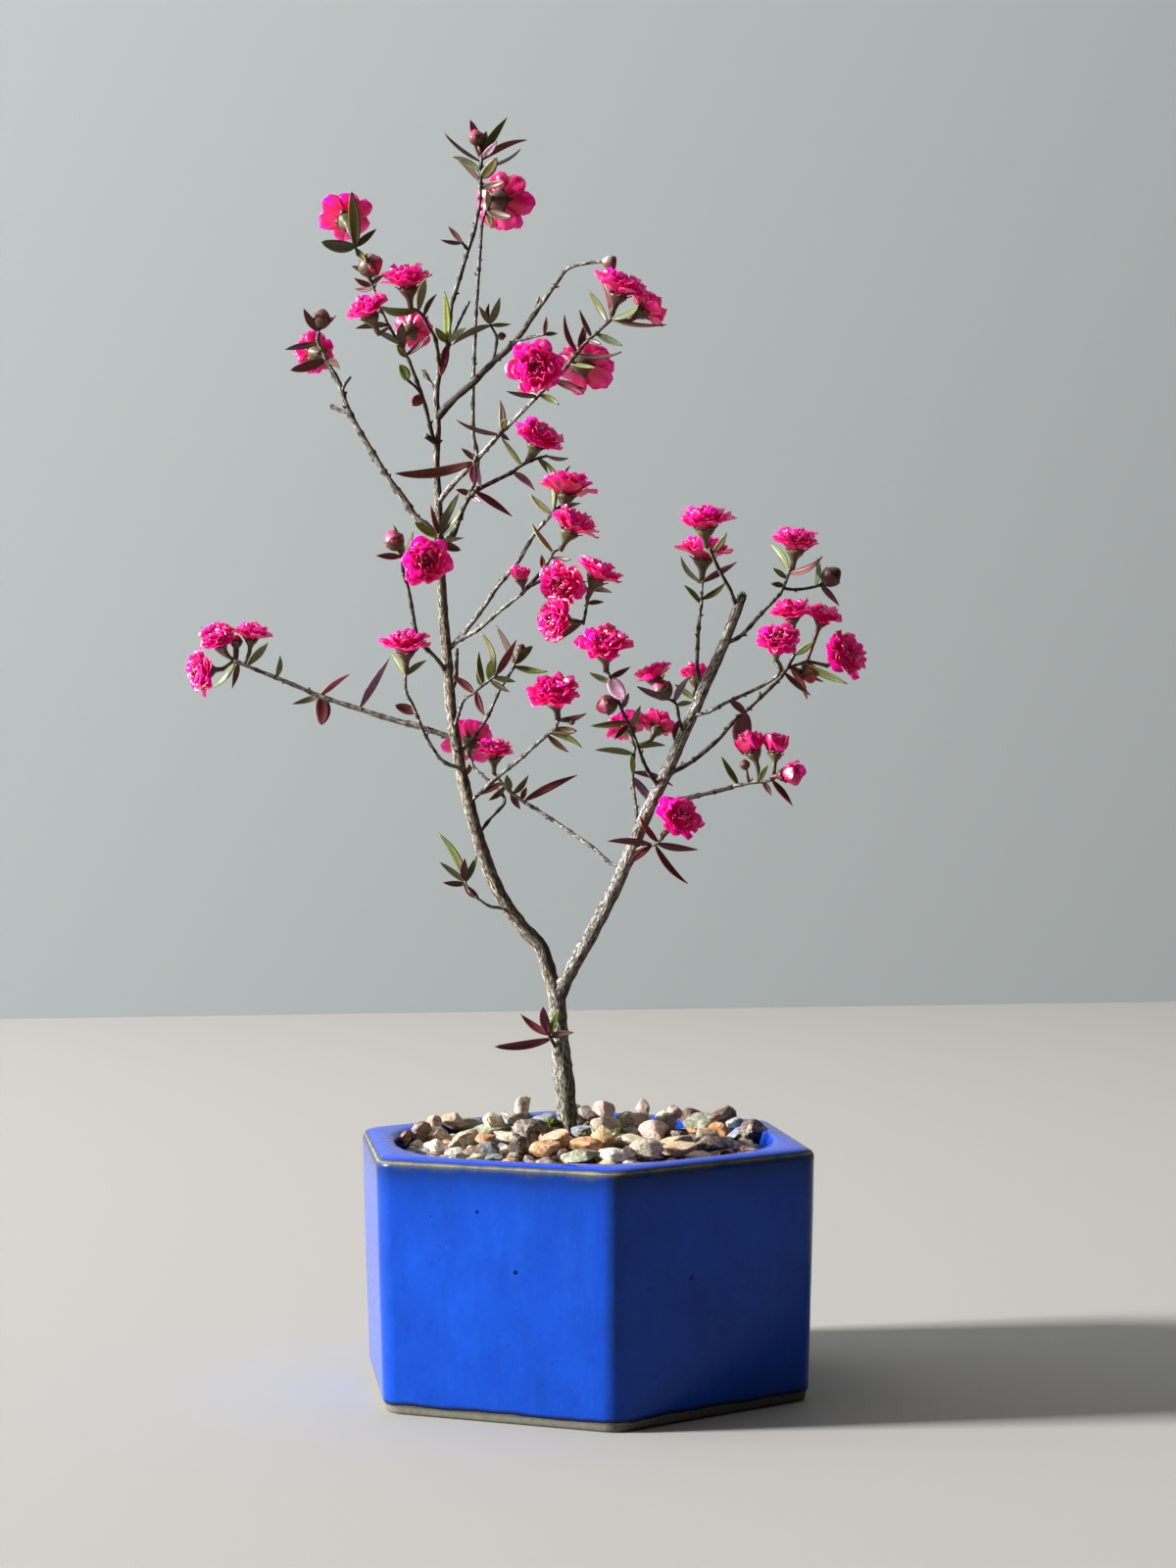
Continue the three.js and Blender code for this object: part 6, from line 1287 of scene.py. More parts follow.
def grow_stem(bm, layers, name, line, look, draw):
    """Bark along a stem: ridges run along it and it swells at old leaf scars. Painted light makes it palest
    on the side toward the key light, and painted shade darkens the far side.
    """
    silver, green, dark, rough = look
    sides = STEM_SIDES.get(name, TWIG_SIDES)
    spacing = TWIG_SPACING if sides == TWIG_SIDES else LIMB_SPACING
    points, radii = smooth_course(line.points, line.radii, spacing)
    frames = course_frames(points)
    shift = drawn_vector(draw, 40)
    runs = list(accumulate(((b - a).length for a, b in zip(points, points[1:])), initial=0))
    knot = 5 + 4 * draw()
    twig = max(line.radii) < TWIG_RADIUS
    ridged, lumpy, scarred = (0.14, 0.16, 0.34) if twig else (0.17, 0.06, 0.05)

    def scar_at(run, width):
        """From 0 to 1, highest at the old leaf scars."""
        return max(0, 1 - abs((run + shift.x) % knot - 1) / width)

    def shape(turn, row):
        run = runs[min(max(row, 0), len(runs) - 1)]
        spot = Vector((math.cos(turn) * 1.3, math.sin(turn) * 1.3, run * 0.16)) + shift
        ridge = noise.noise(spot * 1.7) * ridged + (0 if twig else noise.noise(spot * 4.1) * 0.05)
        lump = noise.noise(Vector((run * 0.5, shift.x, shift.y))) * lumpy
        return 1 + rough * (ridge + lump + scar_at(run, 0.8) * scarred)

    def lay(v, turn, row):
        radius, run, height = radii[row], runs[row], points[row].z
        out = outward(frames[row], turn)
        facing_painted_light = out.dot(TOWARD_PAINTED_LIGHT)
        v[layers["grain"]] = Vector((math.cos(turn) * radius, math.sin(turn) * radius, run)) + shift
        # Painted light: the side toward the key light is made paler, with some random paling along the stem.
        lit = 0.15 * noise.noise(Vector((run * 0.08, shift.y, shift.z))) + 0.45 * facing_painted_light
        scar = scar_at(run, 1.1) if twig else 0
        blotch = max(0, noise.noise(Vector((run * 0.6, shift.z, 0))))
        # Painted shade: the far side is made darker, on top of the look's dark share, the scars and the
        # blotches.
        shade = dark + 0.8 * scar + 0.3 * blotch - 0.65 * facing_painted_light
        fresh = green
        if name == "trunk":  # Greener toward the pebbles.
            fresh += 0.4 * smooth((104 - height) / 20)
        if name == "right_limb":  # Dark where it leaves the trunk.
            shade += 0.6 * smooth(1 - run / 10)
        if name == "arch":  # Paler toward its end.
            shade -= 0.8 * smooth((height - 308) / 22)
        if name == "left_low":  # Darker at its bend, away from the light: a dark knot and painted shade.
            shade += 1.1 * smooth(1 - abs(height - 133) / 9) * max(0, out.x + 0.2)
        v[layers["tone"]] = (min(max(silver + lit, 0), 1), min(fresh, 1), min(max(shade, 0), 1), 1)

    round_body(bm, points, radii, sides, lay, shape=shape)
    return points, radii, runs


def add_spurs(bm, layers, points, radii, runs, look, draw, spacing):
    """Short dry spurs that stand out of a twig, each turned on from the one before."""
    turn = draw() * math.tau
    next_run = spacing * (0.4 + draw())
    frames = course_frames(points)
    for i, run in enumerate(runs[1:-2], 1):
        if run < next_run:
            continue
        next_run = run + spacing * (0.6 + draw())
        turn += SPUR_TURN
        ahead = (points[i + 1] - points[i]).normalized()
        radius = radii[i]
        length = radius * 0.9 + 0.5 + draw() * 0.9
        heading = (outward(frames[i], -turn) + ahead * 0.9).normalized()
        path = [points[i], points[i] + heading * length * 0.6, points[i] + heading * length]
        girth = min(radius * 0.5, 0.42)

        def lay(v, angle, row):
            v[layers["grain"]] = Vector((math.cos(angle), math.sin(angle), run + row))
            v[layers["tone"]] = (look[0] * 0.6, look[1], min(look[2] + 0.3, 1), 1)

        round_body(bm, path, [girth * 1.5, girth, girth * 0.7], 5, lay)


def add_stump(bm, layers, line, draw):
    """Splinters round the cut end of a limb."""
    points, radius = line.points, line.radii[-1]
    heading = (points[-1] - points[-2]).normalized()
    start = heading.orthogonal().normalized()

    def lay(v, turn, row):
        v[layers["grain"]] = Vector((math.cos(turn), math.sin(turn), row * 1.5))
        v[layers["tone"]] = (0.6, 0, 0.3, 1)

    for i in range(SPLINTERS):
        out = Matrix.Rotation(i * math.tau / SPLINTERS, 3, heading) @ start
        foot = points[-1] + out * (radius * 0.62) - heading * 0.8
        path = [foot, foot + heading * (1.2 + 1.5 * draw()) + out * 0.1]
        round_body(bm, path, [radius * 0.42, radius * 0.16], 6, lay)


def make_seed_cup(material):
    """The open capsule that ends the arch, with a painted highlight on the side that faces the light."""
    bm = bmesh.new()
    layers = {"tint": colour_layer(bm, "tint")}
    tip = lines["seed_cup"].points
    heading = (tip[-1] - tip[0]).normalized()
    low, high, pale = colour(128, 92, 66), colour(112, 58, 58), colour(196, 202, 222)
    rows = [
        (-0.4, 0.5), (0.3, 1.1), (1.1, 1.9), (2.2, 2.25), (3.2, 2.2), (3.9, 1.9), (4.1, 1.5), (3.2, 1.1),
        (2.6, 0.4),
    ]
    points = [tip[0] + heading * (along + 0.6) - Vector((0, 0, 0.25 * along)) for along, _ in rows]
    frames = course_frames(points)

    def lay(v, turn, row):
        share = row / (len(rows) - 1)
        # Painted highlight: a pale bluish patch on the side that faces the light, on the outer rows.
        facing_painted_light = outward(frames[row], turn).dot(Vector((-0.3, -0.6, 0.74)))
        painted_highlight = smooth((facing_painted_light - 0.62) / 0.2) * smooth((4 - row) / 2)
        v[layers["tint"]] = (*(lerp(lerp(low[k], high[k], share), pale[k], painted_highlight) for k in range(3)), 1)

    round_body(bm, points, [radius for _, radius in rows], RIBBED_SIDES, lay, 0, five_ribs(0.06))
    finish_piece("seed_cup", bm, [material])


def make_wood():
    """The seed cup, and one piece for all the bark."""
    bm = bmesh.new()
    layers = bark_layers(bm)
    draw = random_from(WOOD_SEED)
    add_stump(bm, layers, lines["right_limb"], draw)
    make_seed_cup(cup)
    for name in {**WOOD, **STUBS}:
        if name == "seed_cup":
            continue
        look = STEM_LOOKS.get(name, TWIG_LOOK)
        points, radii, runs = grow_stem(bm, layers, name, lines[name], look, draw)
        if name not in STUBS and name != "trunk":
            spacing = LIMB_SPURS if name in STEM_SIDES else TWIG_SPURS
            add_spurs(bm, layers, points, radii, runs, look, draw, spacing)
    for owner, shoot in SHOOTS.items():
        if shoot["owner"] == "wood":
            for name in shoot["names"]:
                grow_stem(bm, layers, name, lines[name], SHOOT_LOOKS.get(owner, SHOOT_LOOK), draw)
    finish_piece("bark_wood", bm, [bark], ["trunk_and_branches"])


make_wood()

# Leafy shoots: twig, leaves, cups and buds.

# A leaf wider than this is broad and blunt.
BROAD_LEAF = 2.6
SEPALS = 5
STALK_RADIUS = 0.4
LEAF_THICKNESS = 0.32
PETAL_THICKNESS = 0.13


def add_leaf(bm, layers, place, draw):
    """A pointed blade, folded along its rib and bent back toward its tip."""
    base, tip, width = place["base"], place["tip"], place["width"] * place["broaden"]
    along = (tip - base).normalized()
    length = (tip - base).length
    sight = Vector((0, 1, 0))
    side = (sight - along * sight.dot(along)).normalized().cross(along)
    back = along.cross(side)
    real_width = max(width, min(BROAD_LEAF, length * 0.22))
    roll = math.acos(min(width / real_width, 1)) * (1 if draw() < 0.5 else -1)
    turn = Matrix.Rotation(roll, 3, along)
    side, back = turn @ side, turn @ back
    sweep = (draw() - 0.5) * 0.14 * length
    bend = (0.04 + 0.08 * draw()) * length
    fold = 0.18 + 0.22 * draw()
    tint = Vector(LEAF_TINTS[place["tint"]]) * (0.85 + 0.4 * draw())
    middle, fullness = (0.85, 0.62) if width > BROAD_LEAF else (0.8, 0.9)

    def at(u, t, v):
        across = (u - 0.5) * 2
        half = math.sin(math.pi * t ** middle) ** fullness if 0 < t < 1 else 0
        half = max(half, 0.16 * (1 - t) if t < 0.15 else 0, 0.02)
        half *= real_width / 2
        arch = 4 * t * (1 - t)
        out = side * (across * half + sweep * arch) + back * (abs(across) * half * fold * -1 + bend * arch)
        v[layers["tint"]] = shaded(tint, 0.8 + 0.3 * t)
        return base + along * (length * t) + out

    sheet(bm, 4, 9, at)


def add_cup(bm, layers, flower, draw):
    """The cup beneath a flower: a ribbed cone on a short stalk, with five sepals at its rim."""
    axis, size = flower["axis"], flower["size"]
    foot, rim = flower["foot"], flower["rim"]
    root = nearest_stem(foot, flower["names"])
    green = draw()
    fresh, ripe = colour(88, 90, 48), colour(92, 44, 38)
    tint = [lerp(ripe[k], fresh[k], green) for k in range(3)]
    length = (rim - foot).length
    rows = [
        (0, 0.045), (0.35, 0.045), (0.6, 0.06), (0.8, 0.09), (0.95, 0.13), (1.1, 0.16), (1.25, 0.17),
        (1.32, 0.13),
    ]
    points = [foot + axis * (length * share) for share, _ in rows]
    radii = [radius * size for _, radius in rows]
    if (root - foot).length > STALK_RADIUS:
        points = [root, root.lerp(foot, 0.6), *points]
        radii = [STALK_RADIUS, STALK_RADIUS, *radii]
    last = len(points) - 1

    # Painted shade: the cup and stalk are darker toward the foot and lighter at the rim.
    def lay(v, turn, row):
        v[layers["tint"]] = shaded(tint, lerp(0.7, 1.2, row / last))

    round_body(bm, points, radii, RIBBED_SIDES, lay, 1, five_ribs(0.05))
    spin = draw() * math.tau
    start = axis.orthogonal().normalized()
    for i in range(SEPALS):
        out = Matrix.Rotation(spin + i * math.tau / SEPALS, 3, axis) @ start
        across = axis.cross(out)

        def at(u, t, v):
            half = (1 - t) * 0.08 * size
            v[layers["tint"]] = (tint[0] * 0.75, tint[1] * 0.55, tint[2] * 0.6, 1)
            spread = (0.15 + 0.1 * t) * size
            rise = length * 0.2 + 0.07 * size * t
            return rim + out * spread + axis * rise + across * ((u - 0.5) * 2 * half)

        sheet(bm, 2, 2, at, 1)


def add_bud(bm, layers, row, shoot, draw):
    """A closed bud: petals wrapped to a ball over a small cup."""
    across, up, size = row
    middle = seen(across, up, nearest_seen(shoot["names"], across, up)[2])
    root = nearest_stem(middle, shoot["names"])
    heading = (middle - root).normalized() if (middle - root).length > 0.1 else Vector((0, 0, 1))
    ball = BUD_TINTS[shoot["bud_tint"]]
    cup_tint = colour(*((86, 40, 42) if shoot["bud_tint"] == "dark" else (92, 78, 50)))
    foot = middle - heading * size * 0.5

    def lay_stalk(v, turn, row):
        v[layers["tint"]] = cup_tint

    # Painted shade: the bud's cup is darker toward its foot.
    def lay_cup(v, turn, row):
        v[layers["tint"]] = shaded(cup_tint, lerp(0.7, 1.1, row / 4))

    if (root - foot).length > 0.2:
        round_body(bm, [root, foot + heading * 0.3], [STALK_RADIUS, STALK_RADIUS], 6, lay_stalk, 1)
    rows = [(-0.5, 0.12), (-0.38, 0.3), (-0.2, 0.42), (0, 0.47), (0.12, 0.48)]
    points = [middle + heading * (along * size) for along, _ in rows]
    round_body(bm, points, [radius * size for _, radius in rows], 12, lay_cup, 1)
    steps = [i / 7 for i in range(8)]
    points = [middle + heading * (size * lerp(-0.1, 0.5, s)) for s in steps]
    radii = [size * 0.46 * math.cos(s * math.pi / 2 * 0.96) ** 0.7 for s in steps]
    spin = draw() * math.tau

    def shape(turn, row):
        return 1 + 0.07 * math.sin(5 * turn + spin + row * 0.5)

    # The ball is painted darker in the grooves between the wrapped petals and lighter on their ridges:
    # painted shade and light.
    def lay_ball(v, turn, row):
        v[layers["tint"]] = shaded(ball, 0.8 + 0.25 * math.sin(5 * turn + spin + row * 0.5))

    round_body(bm, points, radii, RIBBED_SIDES, lay_ball, 1, shape)


def make_shoots():
    """One piece for each shoot's green twig and one for all that it carries."""
    draw = random_from(SHOOT_SEED)
    for name, shoot in SHOOTS.items():
        fused = shoot["owner"] == "wood"
        if not fused:
            bm = bmesh.new()
            layers = bark_layers(bm)
            look = SHOOT_LOOKS.get(name, SHOOT_LOOK)
            for stem in shoot["names"]:
                points, radii, runs = grow_stem(bm, layers, stem, lines[stem], look, draw)
                add_spurs(bm, layers, points, radii, runs, look, draw, SHOOT_SPURS)
            finish_piece(f"{name}_twig", bm, [bark], [f"shoot_{name}"])
        bm = bmesh.new()
        layers = {"tint": colour_layer(bm, "tint")}
        for place in shoot["leaf_places"]:
            add_leaf(bm, layers, place, draw)
        for row in shoot.get("buds", []):
            add_bud(bm, layers, row, shoot, draw)
        for flower in flowers:
            if flower["names"] is shoot["names"]:
                add_cup(bm, layers, flower, draw)
        piece = finish_piece(f"{name}_leaves", bm, [leaf, cup], () if fused else [f"shoot_{name}"])
        thicken(piece, LEAF_THICKNESS)


def thicken(piece, thickness):
    """Gives the piece's thin sheets a thickness in millimetres."""
    solidify = piece.modifiers.new("thickness", "SOLIDIFY")
    solidify.thickness = thickness * MM
    solidify.offset = 0
    solidify.use_rim = True


make_shoots()

# Flowers.

# How much a petal's lift varies in degrees, how much it twists and hollows, how often and how deep its edge
# is notched, how round its edge is, and how many faces it has across and along.
Form = namedtuple("Form", "variation twist hollow notches notch edge columns rows")
BROAD = Form(14, 0.3, 0.1, 2.6, 0.07, 0.08, 8, 6)
NARROW = Form(26, 0.9, 0.25, 3, 0.18, 0.18, 4, 5)

# The whorls of petals from the outside in: how many petals, how far from the axis they start, their length
# and width, how far they are lifted at both ends in degrees, how frilled they are, how deep in the flower and
# how light they look, which is partly a paler rim and partly painted highlight, how high they start, and
# their form. Lengths are shares of the flower's size.
Whorl = namedtuple("Whorl", "count start length width first_lift last_lift frill inside light height form")
OPEN_WHORLS = [
    Whorl(6, 0.10, 0.43, 0.35, 36, 10, 0.025, 0.0, 1.0, -0.12, BROAD),
    Whorl(7, 0.10, 0.41, 0.29, 46, 22, 0.035, 0.0, 0.9, -0.1, BROAD),
    Whorl(9, 0.10, 0.37, 0.24, 52, 32, 0.04, 0.0, 0.9, -0.07, NARROW),
    Whorl(10, 0.10, 0.33, 0.21, 62, 54, 0.045, 0.0, 0.9, -0.05, NARROW),
    Whorl(10, 0.09, 0.27, 0.16, 72, 82, 0.04, 0.5, 0.5, -0.03, NARROW),
    Whorl(6, 0.06, 0.16, 0.09, 84, 100, 0.03, 0.8, 0.0, 0.0, NARROW),
]
HALF_WHORLS = [
    Whorl(5, 0.18, 0.5, 0.5, 60, 84, 0.03, 0.0, 0.5, -0.1, BROAD),
    Whorl(6, 0.14, 0.44, 0.36, 70, 92, 0.05, 0.1, 0.3, -0.05, BROAD),
    Whorl(7, 0.08, 0.36, 0.2, 80, 96, 0.05, 0.4, 0.1, 0.0, NARROW),
]
# Flowers smaller than this size, and these, are half open.
HALF_OPEN_SIZE = 9
HALF_OPEN = {"low_right_left", "low_right_middle", "low_right_far"}
# Flowers whose petals reach further than their solid's size, or less far.
PETAL_REACHES = {
    "middle_right": 1.12, "top": 1.1, "facing_left": 1.1, "facing_back": 1.06, "middle_low": 1.14,
    "right_most": 1.22, "right_crown": 1.08, "right_crown_low": 1.1, "right_pair": 1.1, "left_high": 0.9,
    "far_left_up": 1.15, "far_left_low": 1.08, "behind_right": 1.1,
}
STAMENS = 12


def add_petal(bm, layers, place, whorl, angle, draw):
    """One crumpled and frilled petal in the flower's own space, where its diameter is 1."""
    form = whorl.form
    length = whorl.length * (0.8 + 0.36 * draw())
    width = whorl.width * (0.85 + 0.3 * draw())
    lifts = (whorl.first_lift, whorl.last_lift)
    first, last = (math.radians(lift + (draw() - 0.5) * form.variation) for lift in lifts)
    own, twist = draw(), (draw() - 0.5) * form.twist
    shift = drawn_vector(draw, 50)
    phase = draw() * math.tau
    hollow = form.hollow + 0.12 * draw()
    # How much paler rim and painted highlight the petal gets.
    light = whorl.light * (0.55 + 0.7 * draw())
    turn = Matrix.Rotation(angle, 3, "Z")
    rows = form.rows
    outs, rises, leans = [whorl.start], [whorl.height], [first]
    for i in range(rows):
        lean = lerp(first, last, (i + 0.5) / rows)
        outs.append(outs[-1] + math.cos(lean) * length / rows)
        rises.append(rises[-1] + math.sin(lean) * length / rows)
        leans.append(lean)

    def at(u, t, v):
        across = (u - 0.5) * 2
        half = width / 2 * (0.22 + 0.78 * math.sin(min(t * 1.3, 1) * math.pi / 2))
        notch = noise.noise(Vector((across * form.notches, 0, 7)) + shift) * form.notch
        reach = rows * t * (1 - (form.edge + 0.22 * across ** 2) * across ** 2 * t + notch * t * t)
        row = min(int(reach), rows - 1)
        out = lerp(outs[row], outs[row + 1], reach - row)
        rise = lerp(rises[row], rises[row + 1], reach - row)
        lean = leans[row + 1]
        crumple = noise.noise(Vector((across * 1.7, t * 2.4, 0)) + shift) * (0.4 + t) * 1.4
        wave = math.sin(across * 5 + phase) * t * t * 0.8
        lift = hollow * across ** 2 * half + twist * across * half * t + whorl.frill * (crumple + wave)
        out -= lift * math.sin(lean)
        rise += lift * math.cos(lean)
        v[layers["petal"]] = (whorl.inside * (1 - 0.5 * t), own, light, 1)
        return place @ (turn @ Vector((out, across * half, rise)))

    sheet(bm, form.columns, rows, at)


def add_stamens(bm, layers, place, draw):
    """Straight filaments, each with an anther on its end."""
    for _ in range(STAMENS):
        angle, spread = draw() * math.tau, 0.02 + 0.1 * draw()
        lean = Vector((math.cos(angle), math.sin(angle), 0))
        start = lean * spread
        end = lean * (spread + 0.04) + Vector((0, 0, 0.12 + 0.07 * draw()))

        def lay(v, turn, row):
            v[layers["petal"]] = (0.2, 0.5, 0.7, 1)

        round_body(bm, [place @ start, place @ end], [0.1, 0.08], 3, lay)
        ball = bmesh.ops.create_icosphere(bm, subdivisions=1, radius=0.3)["verts"]
        bmesh.ops.scale(bm, vec=(1.3, 0.8, 0.8), verts=ball)
        bmesh.ops.translate(bm, vec=place @ end, verts=ball)
        for face in {face for v in ball for face in v.link_faces}:
            face.material_index = 1


def add_flower(bm, layers, flower, draw):
    """Whorls of petals round a floor, with stamens where it is open."""
    size = flower["size"]
    spin = Matrix.Rotation(draw() * math.tau, 4, "Z")
    facing = flower["axis"].to_track_quat("Z", "Y").to_matrix().to_4x4()
    scale = Matrix.Scale(size * PETAL_REACHES.get(flower["name"], 1), 4)
    place = Matrix.Translation(flower["centre"] - flower["axis"] * (0.03 * size)) @ facing @ spin @ scale
    opened = size >= HALF_OPEN_SIZE and flower["name"] not in HALF_OPEN
    for step, whorl in enumerate(OPEN_WHORLS if opened else HALF_WHORLS):
        start = step / 2 + 0.2 * draw()
        for i in range(whorl.count):
            angle = (i + start + (draw() - 0.5) * 0.35) / whorl.count * math.tau
            add_petal(bm, layers, place, whorl, angle, draw)
    # The floor of the flower, where the petals spring from.
    rows = [(-0.16, 0.1), (-0.1, 0.16), (-0.02, 0.13), (0.0, 0.05)]

    def lay(v, turn, row):
        v[layers["petal"]] = (1, 0, 0, 1)

    round_body(bm, [place @ Vector((0, 0, z)) for z, _ in rows], [r * size for _, r in rows], 10, lay)
    if opened:
        add_stamens(bm, layers, place, draw)


def make_flowers():
    """One piece of petals for each bloom node."""
    draw = random_from(FLOWER_SEED)
    bunched = {member: node for node, members in BUNCHES.items() for member in members}
    nodes = {}
    for flower in flowers:
        nodes.setdefault(bunched.get(flower["name"], f"bloom_{flower['name']}"), []).append(flower)
    for node, members in nodes.items():
        bm = bmesh.new()
        layers = {"petal": colour_layer(bm, "petal")}
        for flower in members:
            add_flower(bm, layers, flower, draw)
        piece = finish_piece(node.replace("bloom_", "") + "_petals", bm, [petal, anther], [node])
        thicken(piece, PETAL_THICKNESS)


make_flowers()

# Pot.

# Steps round each corner of a hexagon, and where the points of its sides lie.
CORNER_ARC = 12
FLAT_SHARES = (0.04, 0.3, 0.7, 0.96)


def hexagon_ring(corner, rounding):
    """Points of a hexagon with rounded corners, one toward the front, and how near a corner each is."""
    middle = corner - rounding / math.cos(math.pi / 6)
    corners = []
    for k in range(6):
        along = k * math.pi / 3
        turns = [along + (i / CORNER_ARC - 0.5) * math.pi / 3 for i in range(CORNER_ARC + 1)]
        corners.append([
            Vector((
                middle * math.sin(along) + rounding * math.sin(turn),
                -middle * math.cos(along) - rounding * math.cos(turn), 0,
            )) for turn in turns
        ])
    ring = []
    for here, following in zip(corners, corners[1:] + corners[:1]):
        ring += [(point, 1 - abs(i / CORNER_ARC * 2 - 1) * 0.6) for i, point in enumerate(here)]
        ring += [(here[-1].lerp(following[0], share), 0) for share in FLAT_SHARES]
    return ring


def hexagon_body(bm, profile, lay=None, rise=None):
    """A closed body of rounded hexagons. Rows of the profile are corner distance, height, corner radius."""
    rings = [hexagon_ring(max(corner, 0), rounding if corner else 0) for corner, _, rounding in profile]
    columns = len(rings[0])
    rows = len(profile) - 1

    def place(u, t, v):
        row, column = round(t * rows), round(u * columns) % columns
        corner, height, _ = profile[row]
        point, near = rings[row][column]
        point = point if corner else Vector((0, 0, 0))
        if lay:
            lay(v, row, near)
        lift = rise(point, row) if rise else 0
        return Vector((point.x, point.y, height + lift))

    return sheet(bm, columns, rows, place)


# Corner distance, height, corner radius and how far the glaze is broken.
POT_PROFILE = [
    (0, 0, 0, 0), (40, 0, 7, 0), (71.6, 0, 7, 0), (72.3, 0.15, 7, 0), (72.8, 0.6, 7, 0), (73.0, 1.2, 7, 0),
    (73.05, 1.9, 7, 0), (73.2, 2.4, 7, 0), (73.6, 2.75, 8, 0), (73.95, 3.2, 8, 0), (74.05, 3.9, 8, 0),
    (74.1, 6, 8, 0), (74.3, 12, 8, 0), (74.7, 24, 8, 0), (75.1, 36, 8, 0), (75.45, 48, 8, 0),
    (75.7, 58, 8, 0), (75.85, 66, 8, 0.03), (75.95, 69.5, 8, 0.22), (76.0, 71.3, 8, 0.4),
    (76.05, 72.3, 8, 0.5), (76.05, 73.1, 8, 0.56), (75.9, 73.8, 8, 0.68), (75.6, 74.45, 8, 1),
    (75.1, 74.95, 8, 0.85), (74.4, 75.35, 8, 0.35), (73.2, 75.7, 9, 0.05), (71.6, 75.93, 13, 0),
    (70.0, 76.0, 24, 0), (68.6, 75.95, 40, 0), (67.5, 75.7, 50, 0), (66.8, 75.1, 51, 0.2),
    (66.45, 74.2, 51, 0.35), (66.35, 72.8, 51, 0.1), (66.2, 68, 49, 0), (66.0, 62, 30, 0), (65.2, 38, 30, 0),
    (64.2, 14, 30, 0), (63.9, 9, 30, 0), (63.2, 8, 30, 0), (40, 8, 20, 0), (0, 8, 0, 0),
]
# Rows of the profile between which the lip's top lies.
LIP_START, LIP_END = 25, 33


def glaze_material():
    """Cobalt glaze, mottled and pitted, that breaks to clay at the lip's edge and leaves the foot bare.
    Painted light makes the lip's top a lighter blue, and painted shade darkens the glaze from high on the
    wall up over the lip.
    """
    material, tree, shader = new_material("glaze", 0.16, 0.13)
    where = object_place(tree)
    height = add_node(tree, "ShaderNodeSeparateXYZ", {0: where}).outputs["Z"]
    broken, corner, lip = channels(tree, "glaze")
    cloud = grain(tree, where, 38, 4, 0.6)
    runs = grain(tree, where, 120, 5, 0.65, (1, 1, 0.25))
    fine = grain(tree, where, 600, 3)
    pits = add_node(tree, "ShaderNodeTexVoronoi", {"Vector": where, "Scale": 120.0}).outputs["Distance"]
    body = ramp(tree, cloud, [
        (0.3, colour(13, 56, 150)), (0.5, colour(15, 62, 162)), (0.7, colour(18, 68, 173)),
    ])
    body = patch(tree, body, colour(28, 84, 180), runs, 0.52, 0.8, 0.3)
    body = patch(tree, body, colour(40, 100, 190), fine, 0.58, 0.76, 0.14)
    # Painted light: the lip's top is made a lighter blue.
    body = mix(tree, times(tree, lip, 0.9), body, colour(44, 90, 250))
    # Painted shade: the glaze darkens from 62 mm up to 73.5 mm and stays darker above, under and over the
    # lip.
    body = patch(tree, body, colour(8, 36, 96), height, 0.062, 0.0735, 0.45)
    body = patch(tree, colour(8, 44, 132), body, fine, 0.25, 0.33, 1.0)
    seldom = ramp(tree, runs, [(0.54, 0.0), (0.57, 1.0)])
    pit_mask = times(tree, ramp(tree, pits, [(0.06, 1.0), (0.1, 0.0)]), seldom)
    body = mix(tree, pit_mask, body, colour(4, 10, 44))
    teal = times(tree, corner, ramp(tree, runs, [(0.35, 0.4), (0.65, 1.0)]))
    body = mix(tree, teal, body, colour(30, 54, 84))
    wander = plus(tree, broken, times(tree, minus(tree, runs, 0.5), 0.5))
    body = patch(tree, body, colour(12, 40, 92), wander, 0.12, 0.46, 0.6)
    body = patch(tree, body, colour(70, 72, 58), wander, 0.52, 0.74, 0.8)
    body = patch(tree, body, colour(140, 132, 102), wander, 0.84, 1.02, 0.85)
    clay = mix(tree, fine, colour(86, 85, 75), colour(119, 117, 105))
    drip = minus(tree, height, times(tree, minus(tree, cloud, 0.5), 0.0035))
    body = patch(tree, colour(18, 22, 38), body, drip, 0.0034, 0.0046, 1.0)
    body = patch(tree, clay, body, drip, 0.0028, 0.0031, 1.0)
    paint(tree, shader, body)
    gloss = patch(tree, ramp(tree, fine, [(0.4, 0.1), (0.7, 0.2)]), (0.5, 0.5, 0.5, 1), wander, 0.5, 0.8, 1.0)
    gloss = patch(tree, (0.85, 0.85, 0.85, 1), gloss, drip, 0.0028, 0.0031, 1.0)
    tree.links.new(gloss, shader.inputs["Roughness"])
    waves = plus(tree, times(tree, cloud, 2.0), times(tree, runs, 0.6))
    waves = minus(tree, waves, times(tree, pit_mask, 0.8))
    relief(tree, shader, waves, 0.3, 0.0008)
    return material


